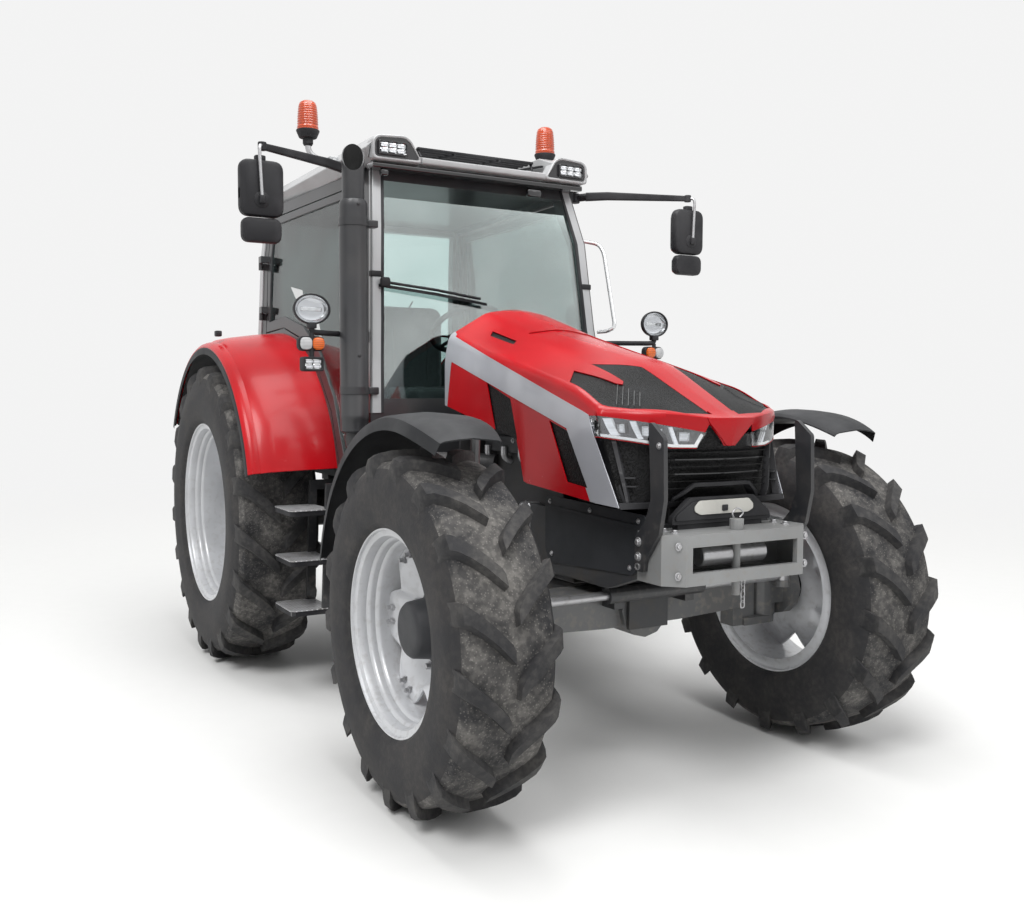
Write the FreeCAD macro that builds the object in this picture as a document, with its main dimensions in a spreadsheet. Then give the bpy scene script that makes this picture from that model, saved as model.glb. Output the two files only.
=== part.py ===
"""Farm tractor with a closed cab, as a parametric document.

Lengths are in millimetres and angles in degrees. X points forward, Y to the driver's left and Z up.
The origin lies on the ground under the middle of the tractor.
"""
import FreeCAD, Part
import math
import os

import Sketcher

Vector = FreeCAD.Vector
ALONG_X = Vector(1, 0, 0)
ALONG_Y = Vector(0, 1, 0)
ALONG_Z = Vector(0, 0, 1)

doc = FreeCAD.newDocument("FarmTractor")
sheet = doc.addObject("Spreadsheet::Sheet", "Sizes")
PIECES = []


class Cell(float):
    """A number of the sheet, or one worked out from it, that remembers its expression."""

    def __new__(cls, value, text):
        cell = float.__new__(cls, value)
        cell.text = text
        return cell

    def __add__(self, other):
        return Cell(float(self) + float(other), "(%s + %s)" % (self.text, text_of(other)))

    def __radd__(self, other):
        return Cell(float(other) + float(self), "(%s + %s)" % (text_of(other), self.text))

    def __sub__(self, other):
        return Cell(float(self) - float(other), "(%s - %s)" % (self.text, text_of(other)))

    def __rsub__(self, other):
        return Cell(float(other) - float(self), "(%s - %s)" % (text_of(other), self.text))

    def __mul__(self, other):
        return Cell(float(self) * float(other), "(%s * %s)" % (self.text, text_of(other)))

    __rmul__ = __mul__

    def __truediv__(self, other):
        return Cell(float(self) / float(other), "(%s / %s)" % (self.text, text_of(other)))

    def __neg__(self):
        return Cell(-float(self), "(-1 * %s)" % self.text)


def text_of(number):
    """The expression of a cell, or the plain number in brackets."""
    if isinstance(number, Cell):
        return number.text
    return "(%r)" % float(number)


def cosine(angle):
    """Cosine of an angle in degrees."""
    return Cell(math.cos(math.radians(angle)), "cos(%s * 1 deg)" % text_of(angle))


def sine(angle):
    """Sine of an angle in degrees."""
    return Cell(math.sin(math.radians(angle)), "sin(%s * 1 deg)" % text_of(angle))


class Sizes:
    """The driving dimensions, one row of the sheet each."""

    def __init__(self):
        self.row = 0

    def add(self, group, **values):
        """Write a group of sizes to the sheet and keep them as cells named group_name."""
        for name, value in values.items():
            self.row += 1
            alias = "%s_%s" % (group, name)
            sheet.set("A%d" % self.row, alias.replace("_", " "))
            sheet.set("B%d" % self.row, repr(float(value)))
            sheet.setAlias("B%d" % self.row, alias)
            setattr(self, alias, Cell(value, "Sizes.%s" % alias))

    def add_from(self, origin, group, **values):
        """Write a group of places that are counted from an origin, and keep them as places in the frame."""
        self.add(group, **values)
        for name in values:
            alias = "%s_%s" % (group, name)
            setattr(self, alias, origin + getattr(self, alias))

    def table(self, group, columns, rows, origin=0.0, counted=1):
        """Write a short table of sizes, whose first columns are counted from an origin."""
        for name, *values in rows:
            sizes = list(zip(columns, values))
            self.add_from(origin, "%s_%s" % (group, name), **dict(sizes[:counted]))
            self.add("%s_%s" % (group, name), **dict(sizes[counted:]))


S = Sizes()


def bind(thing, prop, value):
    """Tie one property to a cell, or set it where the value is a plain number."""
    if isinstance(value, Cell):
        thing.setExpression(prop, value.text)
    elif prop.isidentifier():
        setattr(thing, prop, value)


def place(thing, at=(0, 0, 0), axis=ALONG_Z, turn=0):
    """Put an object at a point, turned about an axis."""
    spot = Vector(*[float(value) for value in at])
    thing.Placement = FreeCAD.Placement(spot, FreeCAD.Rotation(axis, float(turn)))
    for letter, value in zip("xyz", at):
        bind(thing, "Placement.Base." + letter, value)
    bind(thing, "Placement.Rotation.Angle", turn)
    return thing


def piece(label, thing):
    """Name an object as a sub-part that is written to a file of its own."""
    thing.Label = label
    PIECES.append(thing)
    return thing


def block(name, low, high):
    """A box between two corners."""
    box = doc.addObject("Part::Box", name)
    for prop, start, end in zip(("Length", "Width", "Height"), low, high):
        bind(box, prop, end - start)
    return place(box, low)


def stand_along(thing, start, axis):
    """Put a bar that was made upright at a point, along an axis."""
    if axis == "X":
        return place(thing, start, ALONG_Y, 90)
    if axis == "Y":
        return place(thing, start, ALONG_X, -90)
    return place(thing, start)


def pin(name, start, length, radius, axis="Z"):
    """A true round pin, or the bore for one, that starts at a point and runs along an axis."""
    bar = doc.addObject("Part::Cylinder", name)
    bind(bar, "Radius", radius)
    bind(bar, "Height", length)
    return stand_along(bar, start, axis)


def rod(name, start, length, radius, axis="Z", sides=12):
    """A many-sided bar that starts at a point and runs along an axis."""
    bar = doc.addObject("Part::Prism", name)
    bar.Polygon = sides
    bind(bar, "Circumradius", radius)
    bind(bar, "Height", length)
    return stand_along(bar, start, axis)


def fuse(name, *things):
    """Join solids that touch or overlap."""
    joined = doc.addObject("Part::MultiFuse", name)
    joined.Shapes = list(things)
    joined.Refine = True
    return joined


def cut(name, base, *tools):
    """Take solids away from a base."""
    taken = tools[0] if len(tools) == 1 else fuse(name + "_tools", *tools)
    left = doc.addObject("Part::Cut", name)
    left.Base = base
    left.Tool = taken
    left.Refine = True
    return left


def common(name, *things):
    """What several solids share."""
    shared = things[0]
    for number, thing in enumerate(things[1:]):
        both = doc.addObject("Part::Common", "%s_%d" % (name, number))
        both.Base = shared
        both.Tool = thing
        both.Refine = True
        shared = both
    return shared


def mirror(name, thing):
    """The same solid on the other side of the tractor."""
    twin = doc.addObject("Part::Mirroring", name)
    twin.Source = thing
    twin.Normal = ALONG_Y
    return twin


def both_sides(name, thing):
    """A solid and its mirror image, kept together."""
    pair = doc.addObject("Part::Compound", name)
    pair.Links = [thing, mirror(name + "_twin", thing)]
    return pair


def outline(body, name, plane, offset, points):
    """A closed outline of straight lines on a plane of the body's origin, each corner tied to its cells."""
    sketch = body.newObject("Sketcher::SketchObject", name)
    support = [item for item in body.Origin.OriginFeatures if item.Role == plane + "_Plane"][0]
    sketch.AttachmentSupport = [(support, "")]
    sketch.MapMode = "FlatFace"
    sketch.AttachmentOffset = FreeCAD.Placement(Vector(0, 0, float(offset)), FreeCAD.Rotation())
    bind(sketch, "AttachmentOffset.Base.z", offset)
    count = len(points)
    for number, point in enumerate(points):
        after = points[(number + 1) % count]
        line = Part.LineSegment(Vector(point[0], point[1], 0), Vector(after[0], after[1], 0))
        sketch.addGeometry(line, False)
    for number, point in enumerate(points):
        sketch.addConstraint(Sketcher.Constraint("Coincident", number, 2, (number + 1) % count, 1))
        for kind, value in zip(("DistanceX", "DistanceY"), point):
            held = sketch.addConstraint(Sketcher.Constraint(kind, -1, 1, number, 1, float(value)))
            bind(sketch, "Constraints[%d]" % held, value)
    return sketch


def slab(name, plane, start, end, points):
    """A flat outline thickened from one coordinate to another along the plane's axis."""
    body = doc.addObject("PartDesign::Body", name)
    backwards = plane == "XZ"
    sketch = outline(body, name + "_outline", plane, -start if backwards else start, points)
    pad = body.newObject("PartDesign::Pad", name + "_pad")
    pad.Profile = sketch
    pad.Reversed = backwards
    bind(pad, "Length", end - start)
    return body


def folded(name, plane, sections):
    """A body of flat facets through outlines with as many corners each: sections hold (offset, points).

    The second half of the corners is folded the other way, so that a symmetric outline gives a symmetric body.
    """
    rings = []
    for offset, points in sections:
        if plane == "YZ":
            rings.append([Vector(float(offset), float(u), float(v)) for u, v in points])
        else:
            rings.append([Vector(float(u), float(v), float(offset)) for u, v in points])
    faces = [Part.Face(Part.makePolygon(end + end[:1])) for end in (rings[0], rings[-1])]
    for here, after in zip(rings, rings[1:]):
        for corner in range(len(here)):
            nearby = (corner + 1) % len(here)
            halves = ((here[corner], here[nearby], after[nearby]), (here[corner], after[nearby], after[corner]))
            if 2 * corner >= len(here):
                halves = (
                    (here[corner], here[nearby], after[corner]), (here[nearby], after[nearby], after[corner]),
                )
            for loop in halves:
                faces.append(Part.Face(Part.makePolygon(list(loop) + [loop[0]])))
    solid = Part.Solid(Part.Shell(faces))
    thing = doc.addObject("Part::Feature", name)
    thing.Shape = solid if solid.Volume > 0 else solid.reversed()
    return thing


def tube(name, points, radius, sides=8):
    """A many-sided bar along straight runs with mitred corners."""
    path = Part.makePolygon([Vector(*[float(value) for value in point]) for point in points])
    first = path.Edges[0]
    along = first.tangentAt(first.FirstParameter)
    turn = FreeCAD.Rotation(ALONG_Z, along)
    start = path.Vertexes[0].Point
    corners = []
    for number in range(sides):
        angle = 2 * math.pi * (number + 0.5) / sides
        spoke = Vector(math.cos(angle), math.sin(angle), 0) * float(radius)
        corners.append(start + turn.multVec(spoke))
    thing = doc.addObject("Part::Feature", name)
    thing.Shape = path.makePipeShell([Part.makePolygon(corners + corners[:1])], True, False, 1)
    return thing


def around(centre, radius, angle):
    """A point (x, z) on a circle, with the angle measured up from the forward direction."""
    return (centre[0] + radius * cosine(angle), centre[1] + radius * sine(angle))


# Main sizes: the axles, what stands out ahead, behind and beside them, and how high the cab and its lamps are.
WHEELBASE = 2550
FRONT_OVERHANG = 680
LINK_LENGTH = 1000
FRONT_TRACK_HALF = 918
REAR_TRACK_HALF = 930
MIRROR_REACH = 1200
CAB_HEIGHT = 1560
ROOF_RISE = 150
BEACON_HEIGHT = 150

S.add("layout", wheelbase=WHEELBASE, rear_axle_back=1050, cab_height=CAB_HEIGHT, fit=0.3)
REAR_AXLE = -S.layout_rear_axle_back
FRONT_AXLE = REAR_AXLE + S.layout_wheelbase

# Tyres and rims. Across is measured from the wheel's middle plane, outwards.
S.add("front_tyre", radius=664, half_width=192, lug_count=18, lug_height=44, lug_width=44)
S.add("rear_tyre", radius=842, half_width=232, lug_count=20, lug_height=50, lug_width=50)
S.add("front_rim", flange=381, seat=356, half_width=165, lip=15, wall=12, disc_out=20, disc_in=-40)
S.add("rear_rim", flange=508, seat=483, half_width=203, lip=18, wall=14, disc_out=-30, disc_in=-60)
S.add("wheel", front_track_half=FRONT_TRACK_HALF, rear_track_half=REAR_TRACK_HALF, disc_wall=16, hub_bore=60)
S.add("front_hub", radius=150, cap_radius=95, cap_out=95, seat_in=-80)
S.add("rear_hub", radius=140, cap_radius=80, cap_out=10, seat_in=-198)


def ring_solid(section, count, start=0.0, sweep=360.0):
    """A many-sided ring, or a sector of one, about the Y axis through (across, radius) corners."""
    closed = sweep == 360.0
    rings = []
    for number in range(count if closed else count + 1):
        angle = math.radians(start + number * sweep / count)
        rings.append([Vector(r * math.cos(angle), a, r * math.sin(angle)) for a, r in section])
    faces = []
    for number in range(count):
        here, after = rings[number], rings[(number + 1) % len(rings)]
        for corner in range(len(section)):
            nearby = (corner + 1) % len(section)
            loop = [here[corner], here[nearby], after[nearby], after[corner], here[corner]]
            faces.append(Part.Face(Part.makePolygon(loop)))
    if not closed:
        for end in (rings[0], rings[-1]):
            faces.append(Part.Face(Part.makePolygon(end + end[:1])))
    solid = Part.Solid(Part.Shell(faces))
    return solid if solid.Volume > 0 else solid.reversed()


def ring(name, centre, section, count, start=0.0, sweep=360.0):
    """A ring of flat faces as an object, centred on a point."""
    thing = doc.addObject("Part::Feature", name)
    thing.Shape = ring_solid([(float(a), float(r)) for r, a in section], count, float(start), float(sweep))
    return place(thing, centre)


LUG_SLANT = 42
SHOULDER_DROP = 0.3


def lug_bar(radius, half_width, depth, width, side, turn):
    """One tread lug: a slanted bar from the tread's middle over the shoulder."""
    slant = math.radians(LUG_SLANT)
    inner = width / 2
    outer = half_width - width / 2 * math.sin(slant)
    reach = outer - inner
    lead = reach * math.tan(slant) / 2
    crest = math.sqrt(radius ** 2 - (lead + width / 2) ** 2)
    rows = ((inner, lead, crest), (outer, -lead, crest - SHOULDER_DROP * depth))
    top = [Vector(t, side * a, -drop) for a, t, drop in rows]
    under = [
        Vector(-lead, side * outer, -(radius - 1.9 * depth)),
        Vector(lead, side * inner, -(radius - 1.3 * depth)),
    ]
    loop = top + under
    along = (top[-1] - top[0]).cross(under[0] - top[-1]).normalize()
    start = along * (-width / 2)
    face = Part.Face(Part.makePolygon([start + point for point in loop + loop[:1]]))
    bar = face.extrude(along * width)
    bar.rotate(Vector(0, 0, 0), ALONG_Y, turn)
    return bar


def tyre_shape(kind):
    """A lugged tyre about the Y axis, its lowest lug straight below the middle."""
    radius, half_width, lugs, depth, width = [
        float(getattr(S, "%s_tyre_%s" % (kind, name)))
        for name in ("radius", "half_width", "lug_count", "lug_height", "lug_width")
    ]
    lugs = int(round(lugs))
    sides = lugs
    rim = "%s_rim_" % kind
    seat = float(getattr(S, rim + "seat")) + float(S.layout_fit)
    bead = float(getattr(S, rim + "half_width")) - float(getattr(S, rim + "lip")) - float(S.layout_fit)
    flange = float(getattr(S, rim + "flange")) + float(S.layout_fit)
    grow = 1 / math.cos(math.pi / sides)
    base = radius - depth
    half = (
        (bead, seat * grow),
        (bead, flange * grow),
        (half_width, seat + 0.6 * (base - seat)),
        (0.84 * half_width, base),
    )
    section = list(half) + [(-a, r) for a, r in reversed(half)]
    solids = [ring_solid(section, sides)]
    pitch = 360.0 / lugs
    for number in range(lugs):
        solids.append(lug_bar(radius, half_width, depth, width, 1, number * pitch))
        solids.append(lug_bar(radius, half_width, depth, width, -1, (number + 0.5) * pitch))
    return solids[0].multiFuse(solids[1:])


def rim_profile(kind):
    """The (radius, across) section of a rim with its dished disc."""
    flange, seat, half, lip, wall, disc_out, disc_in = [
        getattr(S, "%s_rim_%s" % (kind, name))
        for name in ("flange", "seat", "half_width", "lip", "wall", "disc_out", "disc_in")
    ]
    barrel = seat - wall
    disc = S.wheel_disc_wall
    hub = getattr(S, kind + "_hub_radius")
    return [
        (flange, half),
        (flange, half - lip),
        (seat, half - lip),
        (seat, lip - half),
        (flange, lip - half),
        (flange, -half),
        (barrel, -half + lip),
        (barrel, disc_out - disc),
        (hub, disc_in - disc),
        (S.wheel_hub_bore, disc_in - disc),
        (S.wheel_hub_bore, disc_in),
        (hub, disc_in),
        (barrel, disc_out),
        (barrel, half - lip),
    ]


def hub_profile(kind):
    """The (radius, across) section of a wheel hub with its cap."""
    radius, cap, out, seat_in = [
        getattr(S, "%s_hub_%s" % (kind, name)) for name in ("radius", "cap_radius", "cap_out", "seat_in")
    ]
    disc_in = getattr(S, kind + "_rim_disc_in")
    disc = S.wheel_disc_wall
    bore = S.wheel_hub_bore - S.layout_fit
    axis = S.layout_fit
    return [
        (axis, seat_in),
        (radius * 0.9, seat_in),
        (radius * 0.9, disc_in - disc),
        (bore, disc_in - disc),
        (bore, disc_in),
        (radius * 0.8, disc_in),
        (cap, out),
        (axis, out),
    ]


for kind, centre_x in (("front", FRONT_AXLE), ("rear", REAR_AXLE)):
    axle_height = getattr(S, kind + "_tyre_radius")
    track = getattr(S, "wheel_%s_track_half" % kind)
    tyre = doc.addObject("Part::Feature", kind + "_tyre_left")
    tyre.Shape = tyre_shape(kind)
    place(tyre, (centre_x, track, axle_height))
    piece(kind + "_tyre_left", tyre)
    piece(kind + "_tyre_right", mirror(kind + "_tyre_right", tyre))
    sides = int(getattr(S, kind + "_tyre_lug_count"))
    disc = ring(kind + "_rim_disc", (centre_x, track, axle_height), rim_profile(kind), sides)
    hub = ring(kind + "_hub", (centre_x, track, axle_height), hub_profile(kind), sides // 2)
    rim = fuse(kind + "_rim_left", disc, hub)
    piece(kind + "_rim_left", rim)
    piece(kind + "_rim_right", mirror(kind + "_rim_right", rim))

# Levels of the cab, from the floor up: where its front and rear stand and how wide they are.
CAB_COLUMNS = ("height", "front", "rear", "front_half", "rear_half")
S.table("cab", CAB_COLUMNS, (
    ("sill", 1080, 352, -1400, 690, 705), ("waist", 1430, 350, -1400, 680, 712),
    ("chest", 1880, 271, -1400, 646, 708),
))
CAB_TOP = S.cab_sill_height + S.layout_cab_height
S.table("cab", CAB_COLUMNS, (("brow", -310, 215, -1390, 620, 690), ("crown", 0, 111, -1370, 577, 655)), CAB_TOP)
CAB_LEVELS = ("sill", "waist", "chest", "brow", "crown")

# Driveline: engine, gearbox with the rear axle housing, and the front support.
S.add_from(FRONT_AXLE, "engine", front=-170)
S.add("engine", rear=640, half_width=225, low=800, top=1400, pan_low=730, pan_half=170)
S.add_from(FRONT_AXLE, "radiator", rear=0, front=140)
S.add("radiator", half_width=270, top=1540)
engine_upper = block(
    "engine_upper",
    (S.engine_rear, -S.engine_half_width, S.engine_low),
    (S.engine_front, S.engine_half_width, S.engine_top),
)
engine_pan = block(
    "engine_pan",
    (S.engine_rear, -S.engine_pan_half, S.engine_pan_low),
    (S.engine_front, S.engine_pan_half, S.engine_low),
)
piece("engine_block", fuse("engine_block", engine_upper, engine_pan))

S.add_from(REAR_AXLE, "gearbox", rear=-250)
S.add("gearbox", half_width=210, low=600, top=1010, nose=0)
S.add_from(REAR_AXLE, "axle_case", rear=-280, front=270)
S.add("axle_case", half_width=260, low=580, top=1060)
S.add("trumpet", radius=118, gap=0.5)
S.add("pto", reach=76, radius=17.45, height=650)
S.add("belly_shaft", radius=38, height=660)
S.add_from(REAR_AXLE, "cab_foot", rear=50)
S.add("cab_foot", half=55, out=430, front=-150)
S.add_from(REAR_AXLE, "lift_room", front=205)
S.add("lift_room", top=1290)
gearbox_body = slab(
    "gearbox_body", "XZ", -S.gearbox_half_width, S.gearbox_half_width,
    [
        (S.gearbox_rear, S.gearbox_low),
        (S.gearbox_nose, S.gearbox_low),
        (S.gearbox_nose, S.belly_shaft_height + 1.2 * S.belly_shaft_radius),
        (S.engine_rear, S.engine_low),
        (S.engine_rear, S.gearbox_top),
        (S.gearbox_rear, S.gearbox_top),
    ],
)
axle_case = block(
    "axle_case",
    (S.axle_case_rear, -S.axle_case_half_width, S.axle_case_low),
    (S.axle_case_front, S.axle_case_half_width, S.axle_case_top),
)
trumpet_end = S.wheel_rear_track_half + S.rear_hub_seat_in - S.trumpet_gap
trumpet = rod(
    "trumpet", (REAR_AXLE, S.axle_case_half_width, S.rear_tyre_radius), trumpet_end - S.axle_case_half_width,
    S.trumpet_radius, "Y",
)
pto_shaft = pin(
    "pto_shaft",
    (S.axle_case_rear - S.pto_reach, 0.0, S.pto_height),
    S.pto_reach + S.pto_radius,
    S.pto_radius,
    "X",
)
cab_feet = []
for name, along, low, high in (
    ("front", S.cab_foot_front, S.gearbox_top, S.cab_sill_height),
    ("rear", S.cab_foot_rear, S.axle_case_top, S.lift_room_top),
):
    arm = block(
        "cab_arm_" + name,
        (along - S.cab_foot_half, 0.0, low - S.cab_foot_half),
        (along + S.cab_foot_half, S.cab_foot_out, low),
    )
    foot = block(
        "cab_foot_" + name,
        (along - S.cab_foot_half, S.cab_foot_out - 2 * S.cab_foot_half, low),
        (along + S.cab_foot_half, S.cab_foot_out, high - S.layout_fit),
    )
    cab_feet += [arm, mirror("cab_arm_right_" + name, arm), foot, mirror("cab_foot_right_" + name, foot)]
S.add("hood_hinge", x=600, height=1650, radius=12, half_length=369)
S.add_from(S.hood_hinge_height, "bulkhead", top=-10)
S.add("bulkhead", half_width=330, wall=20, low=1180, foot_half=150)
bulkhead = slab(
    "bulkhead", "YZ", S.hood_hinge_x - S.bulkhead_wall, S.hood_hinge_x,
    [
        (-S.bulkhead_foot_half, S.gearbox_top), (S.bulkhead_foot_half, S.gearbox_top),
        (S.bulkhead_half_width, S.bulkhead_low), (S.bulkhead_half_width, S.bulkhead_top),
        (-S.bulkhead_half_width, S.bulkhead_top), (-S.bulkhead_half_width, S.bulkhead_low),
    ],
)
hinge_barrel = rod(
    "hinge_barrel", (S.hood_hinge_x, -S.hood_hinge_half_length, S.hood_hinge_height),
    2 * S.hood_hinge_half_length, S.hood_hinge_radius, "Y",
)
piece(
    "transmission",
    fuse(
        "transmission", gearbox_body, axle_case, trumpet, mirror("trumpet_right", trumpet), pto_shaft, bulkhead,
        hinge_barrel, *cab_feet,
    ),
)

# Lower edge of the bonnet, from its nose back, which also sets how high its rests stand.
SIDE_VIEW = ("along", "height")
PLAN_VIEW = ("along", "out")
FRONT_VIEW = ("out", "height")
S.table("hood_chin", SIDE_VIEW, (
    ("tip", 588, 1353), ("grille", 546, 1172), ("lip", 460, 1118), ("sill", -210, 1165), ("notch", -270, 1335),
), FRONT_AXLE)
S.table("hood_chin", SIDE_VIEW, (("tail", 545, 1470),))

# Front support: two cast side plates under the bonnet, tied by cross plates, with bearings for the beam.
S.add_from(S.wheel_front_track_half, "kingpin", out=-198)
S.add_from(S.kingpin_out, "beam", end=-165)
S.add("beam", half_depth=75, low=590, top=745, end_low=605, case_radius=118, case_half=100)
S.add_from(FRONT_AXLE, "support", rear=-400, front=485)
S.add("support", half_width=285, wall=45, top=1060, bearing=20, bearing_low=585)
S.add_from(FRONT_AXLE, "hood_rest", front=465)
S.add("hood_rest", depth=25, inner=110, outer=180)
S.table("support_edge", ("from_middle", "height"), (("pocket", 230, 790), ("toe", 430, 860)))
support_outline = [
    (S.support_rear, S.engine_low),
    (FRONT_AXLE - S.support_edge_pocket_from_middle, S.support_edge_pocket_height),
    (FRONT_AXLE + S.support_edge_pocket_from_middle, S.support_edge_pocket_height),
    (FRONT_AXLE + S.support_edge_toe_from_middle, S.support_edge_toe_height),
    (S.support_front, S.support_edge_toe_height),
    (S.support_front, S.support_top),
    (S.support_rear, S.support_top),
]
support_left = slab(
    "support_left", "XZ", S.support_half_width - S.support_wall, S.support_half_width, support_outline
)
support_cross = block(
    "support_cross",
    (S.engine_front, S.support_wall - S.support_half_width, S.support_top - 3 * S.support_wall),
    (S.support_front, S.support_half_width - S.support_wall, S.support_top),
)
bearings = []
for name, near, far in (
    ("rear", -S.beam_case_half - S.layout_fit, -S.beam_case_half - S.support_bearing),
    ("front", S.beam_case_half + S.support_bearing, S.beam_case_half + S.layout_fit),
):
    bearings.append(block(
        "bearing_" + name,
        (FRONT_AXLE + far, S.support_wall - S.support_half_width / 2, S.support_bearing_low),
        (FRONT_AXLE + near, S.support_half_width / 2 - S.support_wall, S.support_top),
    ))
shaft_room = rod(
    "shaft_room", (S.engine_front, 0.0, S.belly_shaft_height), FRONT_AXLE - S.engine_front,
    S.belly_shaft_radius * 1.2, "X",
)
hood_rest = block(
    "hood_rest",
    (S.hood_rest_front - S.hood_rest_depth, S.hood_rest_inner, S.support_top - S.support_wall),
    (S.hood_rest_front, S.hood_rest_outer, S.hood_chin_lip_height - S.layout_fit),
)
piece(
    "front_frame",
    cut(
        "front_frame",
        fuse(
            "front_frame_solid", support_left, mirror("support_right", support_left), support_cross, hood_rest,
            mirror("hood_rest_right", hood_rest), *bearings,
        ),
        shaft_room,
    ),
)

# Front axle: a beam with forked ends, hung under the support.
S.add("kingpin", radius=26, fork_radius=58, fork_wall=34, fork_gap=230)
S.add_from(S.kingpin_out, "fork_back", inner=-200, outer=-80)
S.add("fork_back", half=42)
beam = slab(
    "beam", "YZ", FRONT_AXLE - S.beam_half_depth, FRONT_AXLE + S.beam_half_depth,
    [
        (-S.beam_end, S.beam_end_low),
        (-S.beam_end / 3, S.beam_low),
        (S.beam_end / 3, S.beam_low),
        (S.beam_end, S.beam_end_low),
        (S.beam_end, S.beam_top),
        (-S.beam_end, S.beam_top),
    ],
)
beam_case = rod(
    "beam_case",
    (FRONT_AXLE - S.beam_case_half, 0.0, S.belly_shaft_height),
    2 * S.beam_case_half,
    S.beam_case_radius,
    "X",
)
AXLE_FRONT_Z = S.front_tyre_radius
fork_low = AXLE_FRONT_Z - S.kingpin_fork_gap / 2
fork_top = AXLE_FRONT_Z + S.kingpin_fork_gap / 2
fork_plates = []
for name, low in (("lower", fork_low - S.kingpin_fork_wall), ("upper", fork_top)):
    plate = block(
        "fork_" + name,
        (FRONT_AXLE - S.kingpin_fork_radius, S.fork_back_outer - 2 * S.kingpin_fork_wall, low),
        (FRONT_AXLE + S.kingpin_fork_radius, S.kingpin_out, low + S.kingpin_fork_wall),
    )
    eye = rod("fork_eye_" + name, (FRONT_AXLE, S.kingpin_out, low), S.kingpin_fork_wall, S.kingpin_fork_radius)
    fork_plates += [plate, eye]
fork_back = block(
    "fork_back",
    (FRONT_AXLE - S.fork_back_half, S.fork_back_inner, fork_low - S.kingpin_fork_wall),
    (FRONT_AXLE + S.fork_back_half, S.fork_back_outer, fork_top + S.kingpin_fork_wall),
)
fork_bore = pin(
    "fork_bore",
    (FRONT_AXLE, S.kingpin_out, fork_low - 2 * S.kingpin_fork_wall),
    S.kingpin_fork_gap + 4 * S.kingpin_fork_wall,
    S.kingpin_radius + S.layout_fit,
)
fork = cut("fork", fuse("fork_solid", fork_back, *fork_plates), fork_bore)
piece("front_axle", fuse("front_axle", beam, beam_case, fork, mirror("fork_right", fork)))

# Steered knuckles: a pin in the fork, a drum towards the wheel and an arm behind the pin.
S.add("knuckle", body_radius=62, drum_radius=125, drum_start=72, gap=0.5)
S.add("steer_arm", ahead=160, inset=30, wall=28, half_width=30, rise=62, eye_radius=34)
S.add("steer_arm_root", ahead=20, out=15)
knuckle_low = fork_low + S.knuckle_gap
knuckle_high = fork_top - S.knuckle_gap
knuckle_body = rod(
    "knuckle_body", (FRONT_AXLE, S.kingpin_out, knuckle_low), knuckle_high - knuckle_low, S.knuckle_body_radius
)
knuckle_pin = pin(
    "knuckle_pin",
    (FRONT_AXLE, S.kingpin_out, fork_low - S.kingpin_fork_wall),
    S.kingpin_fork_gap + 2 * S.kingpin_fork_wall,
    S.kingpin_radius,
)
hub_seat = S.wheel_front_track_half + S.front_hub_seat_in - S.knuckle_gap
knuckle_drum = rod(
    "knuckle_drum",
    (FRONT_AXLE, S.kingpin_out + S.knuckle_drum_start, AXLE_FRONT_Z),
    hub_seat - S.kingpin_out - S.knuckle_drum_start,
    S.knuckle_drum_radius,
    "Y",
)
knuckle_neck = block(
    "knuckle_neck",
    (FRONT_AXLE - S.knuckle_body_radius, S.kingpin_out, AXLE_FRONT_Z - S.knuckle_body_radius),
    (
        FRONT_AXLE + S.knuckle_body_radius, S.kingpin_out + 1.5 * S.knuckle_drum_start,
        AXLE_FRONT_Z + S.knuckle_body_radius,
    ),
)
arm_top = AXLE_FRONT_Z + S.steer_arm_rise
arm_bar = slab(
    "arm_bar", "XY", arm_top - S.steer_arm_wall, arm_top,
    [
        (FRONT_AXLE + S.steer_arm_ahead, S.kingpin_out - S.steer_arm_inset - S.steer_arm_half_width),
        (FRONT_AXLE + S.steer_arm_root_ahead, S.kingpin_out + S.steer_arm_root_out),
        (FRONT_AXLE + S.steer_arm_root_ahead, S.kingpin_out + S.steer_arm_root_out + 2 * S.steer_arm_half_width),
        (FRONT_AXLE + S.steer_arm_ahead, S.kingpin_out - S.steer_arm_inset + S.steer_arm_half_width),
    ],
)
arm_eye = rod(
    "arm_eye",
    (FRONT_AXLE + S.steer_arm_ahead, S.kingpin_out - S.steer_arm_inset, arm_top - S.steer_arm_wall),
    S.steer_arm_wall,
    S.steer_arm_eye_radius,
)

# Front mudguards ride on the knuckles.
S.add_from(S.wheel_front_track_half, "front_guard", inner=-153, outer=167)
S.add_from(AXLE_FRONT_Z, "front_guard", radius=111)
S.add("front_guard", wall=8, lip=45, start=64, sweep=104, crown=14)
GUARD_STEPS = 8
guard_sheet = ring(
    "guard_sheet", (FRONT_AXLE, 0.0, AXLE_FRONT_Z),
    [
        (S.front_guard_radius, S.front_guard_inner),
        (S.front_guard_radius + S.front_guard_wall, S.front_guard_inner),
        (S.front_guard_radius + S.front_guard_wall + S.front_guard_crown, S.wheel_front_track_half),
        (S.front_guard_radius + S.front_guard_wall, S.front_guard_outer),
        (S.front_guard_radius - S.front_guard_lip, S.front_guard_outer),
        (S.front_guard_radius - S.front_guard_lip, S.front_guard_outer - S.front_guard_wall),
        (S.front_guard_radius, S.front_guard_outer - S.front_guard_wall),
        (S.front_guard_radius + S.front_guard_crown, S.wheel_front_track_half),
    ],
    GUARD_STEPS, S.front_guard_start, S.front_guard_sweep,
)
piece("front_fender_left", guard_sheet)
piece("front_fender_right", mirror("front_fender_right", guard_sheet))

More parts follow.
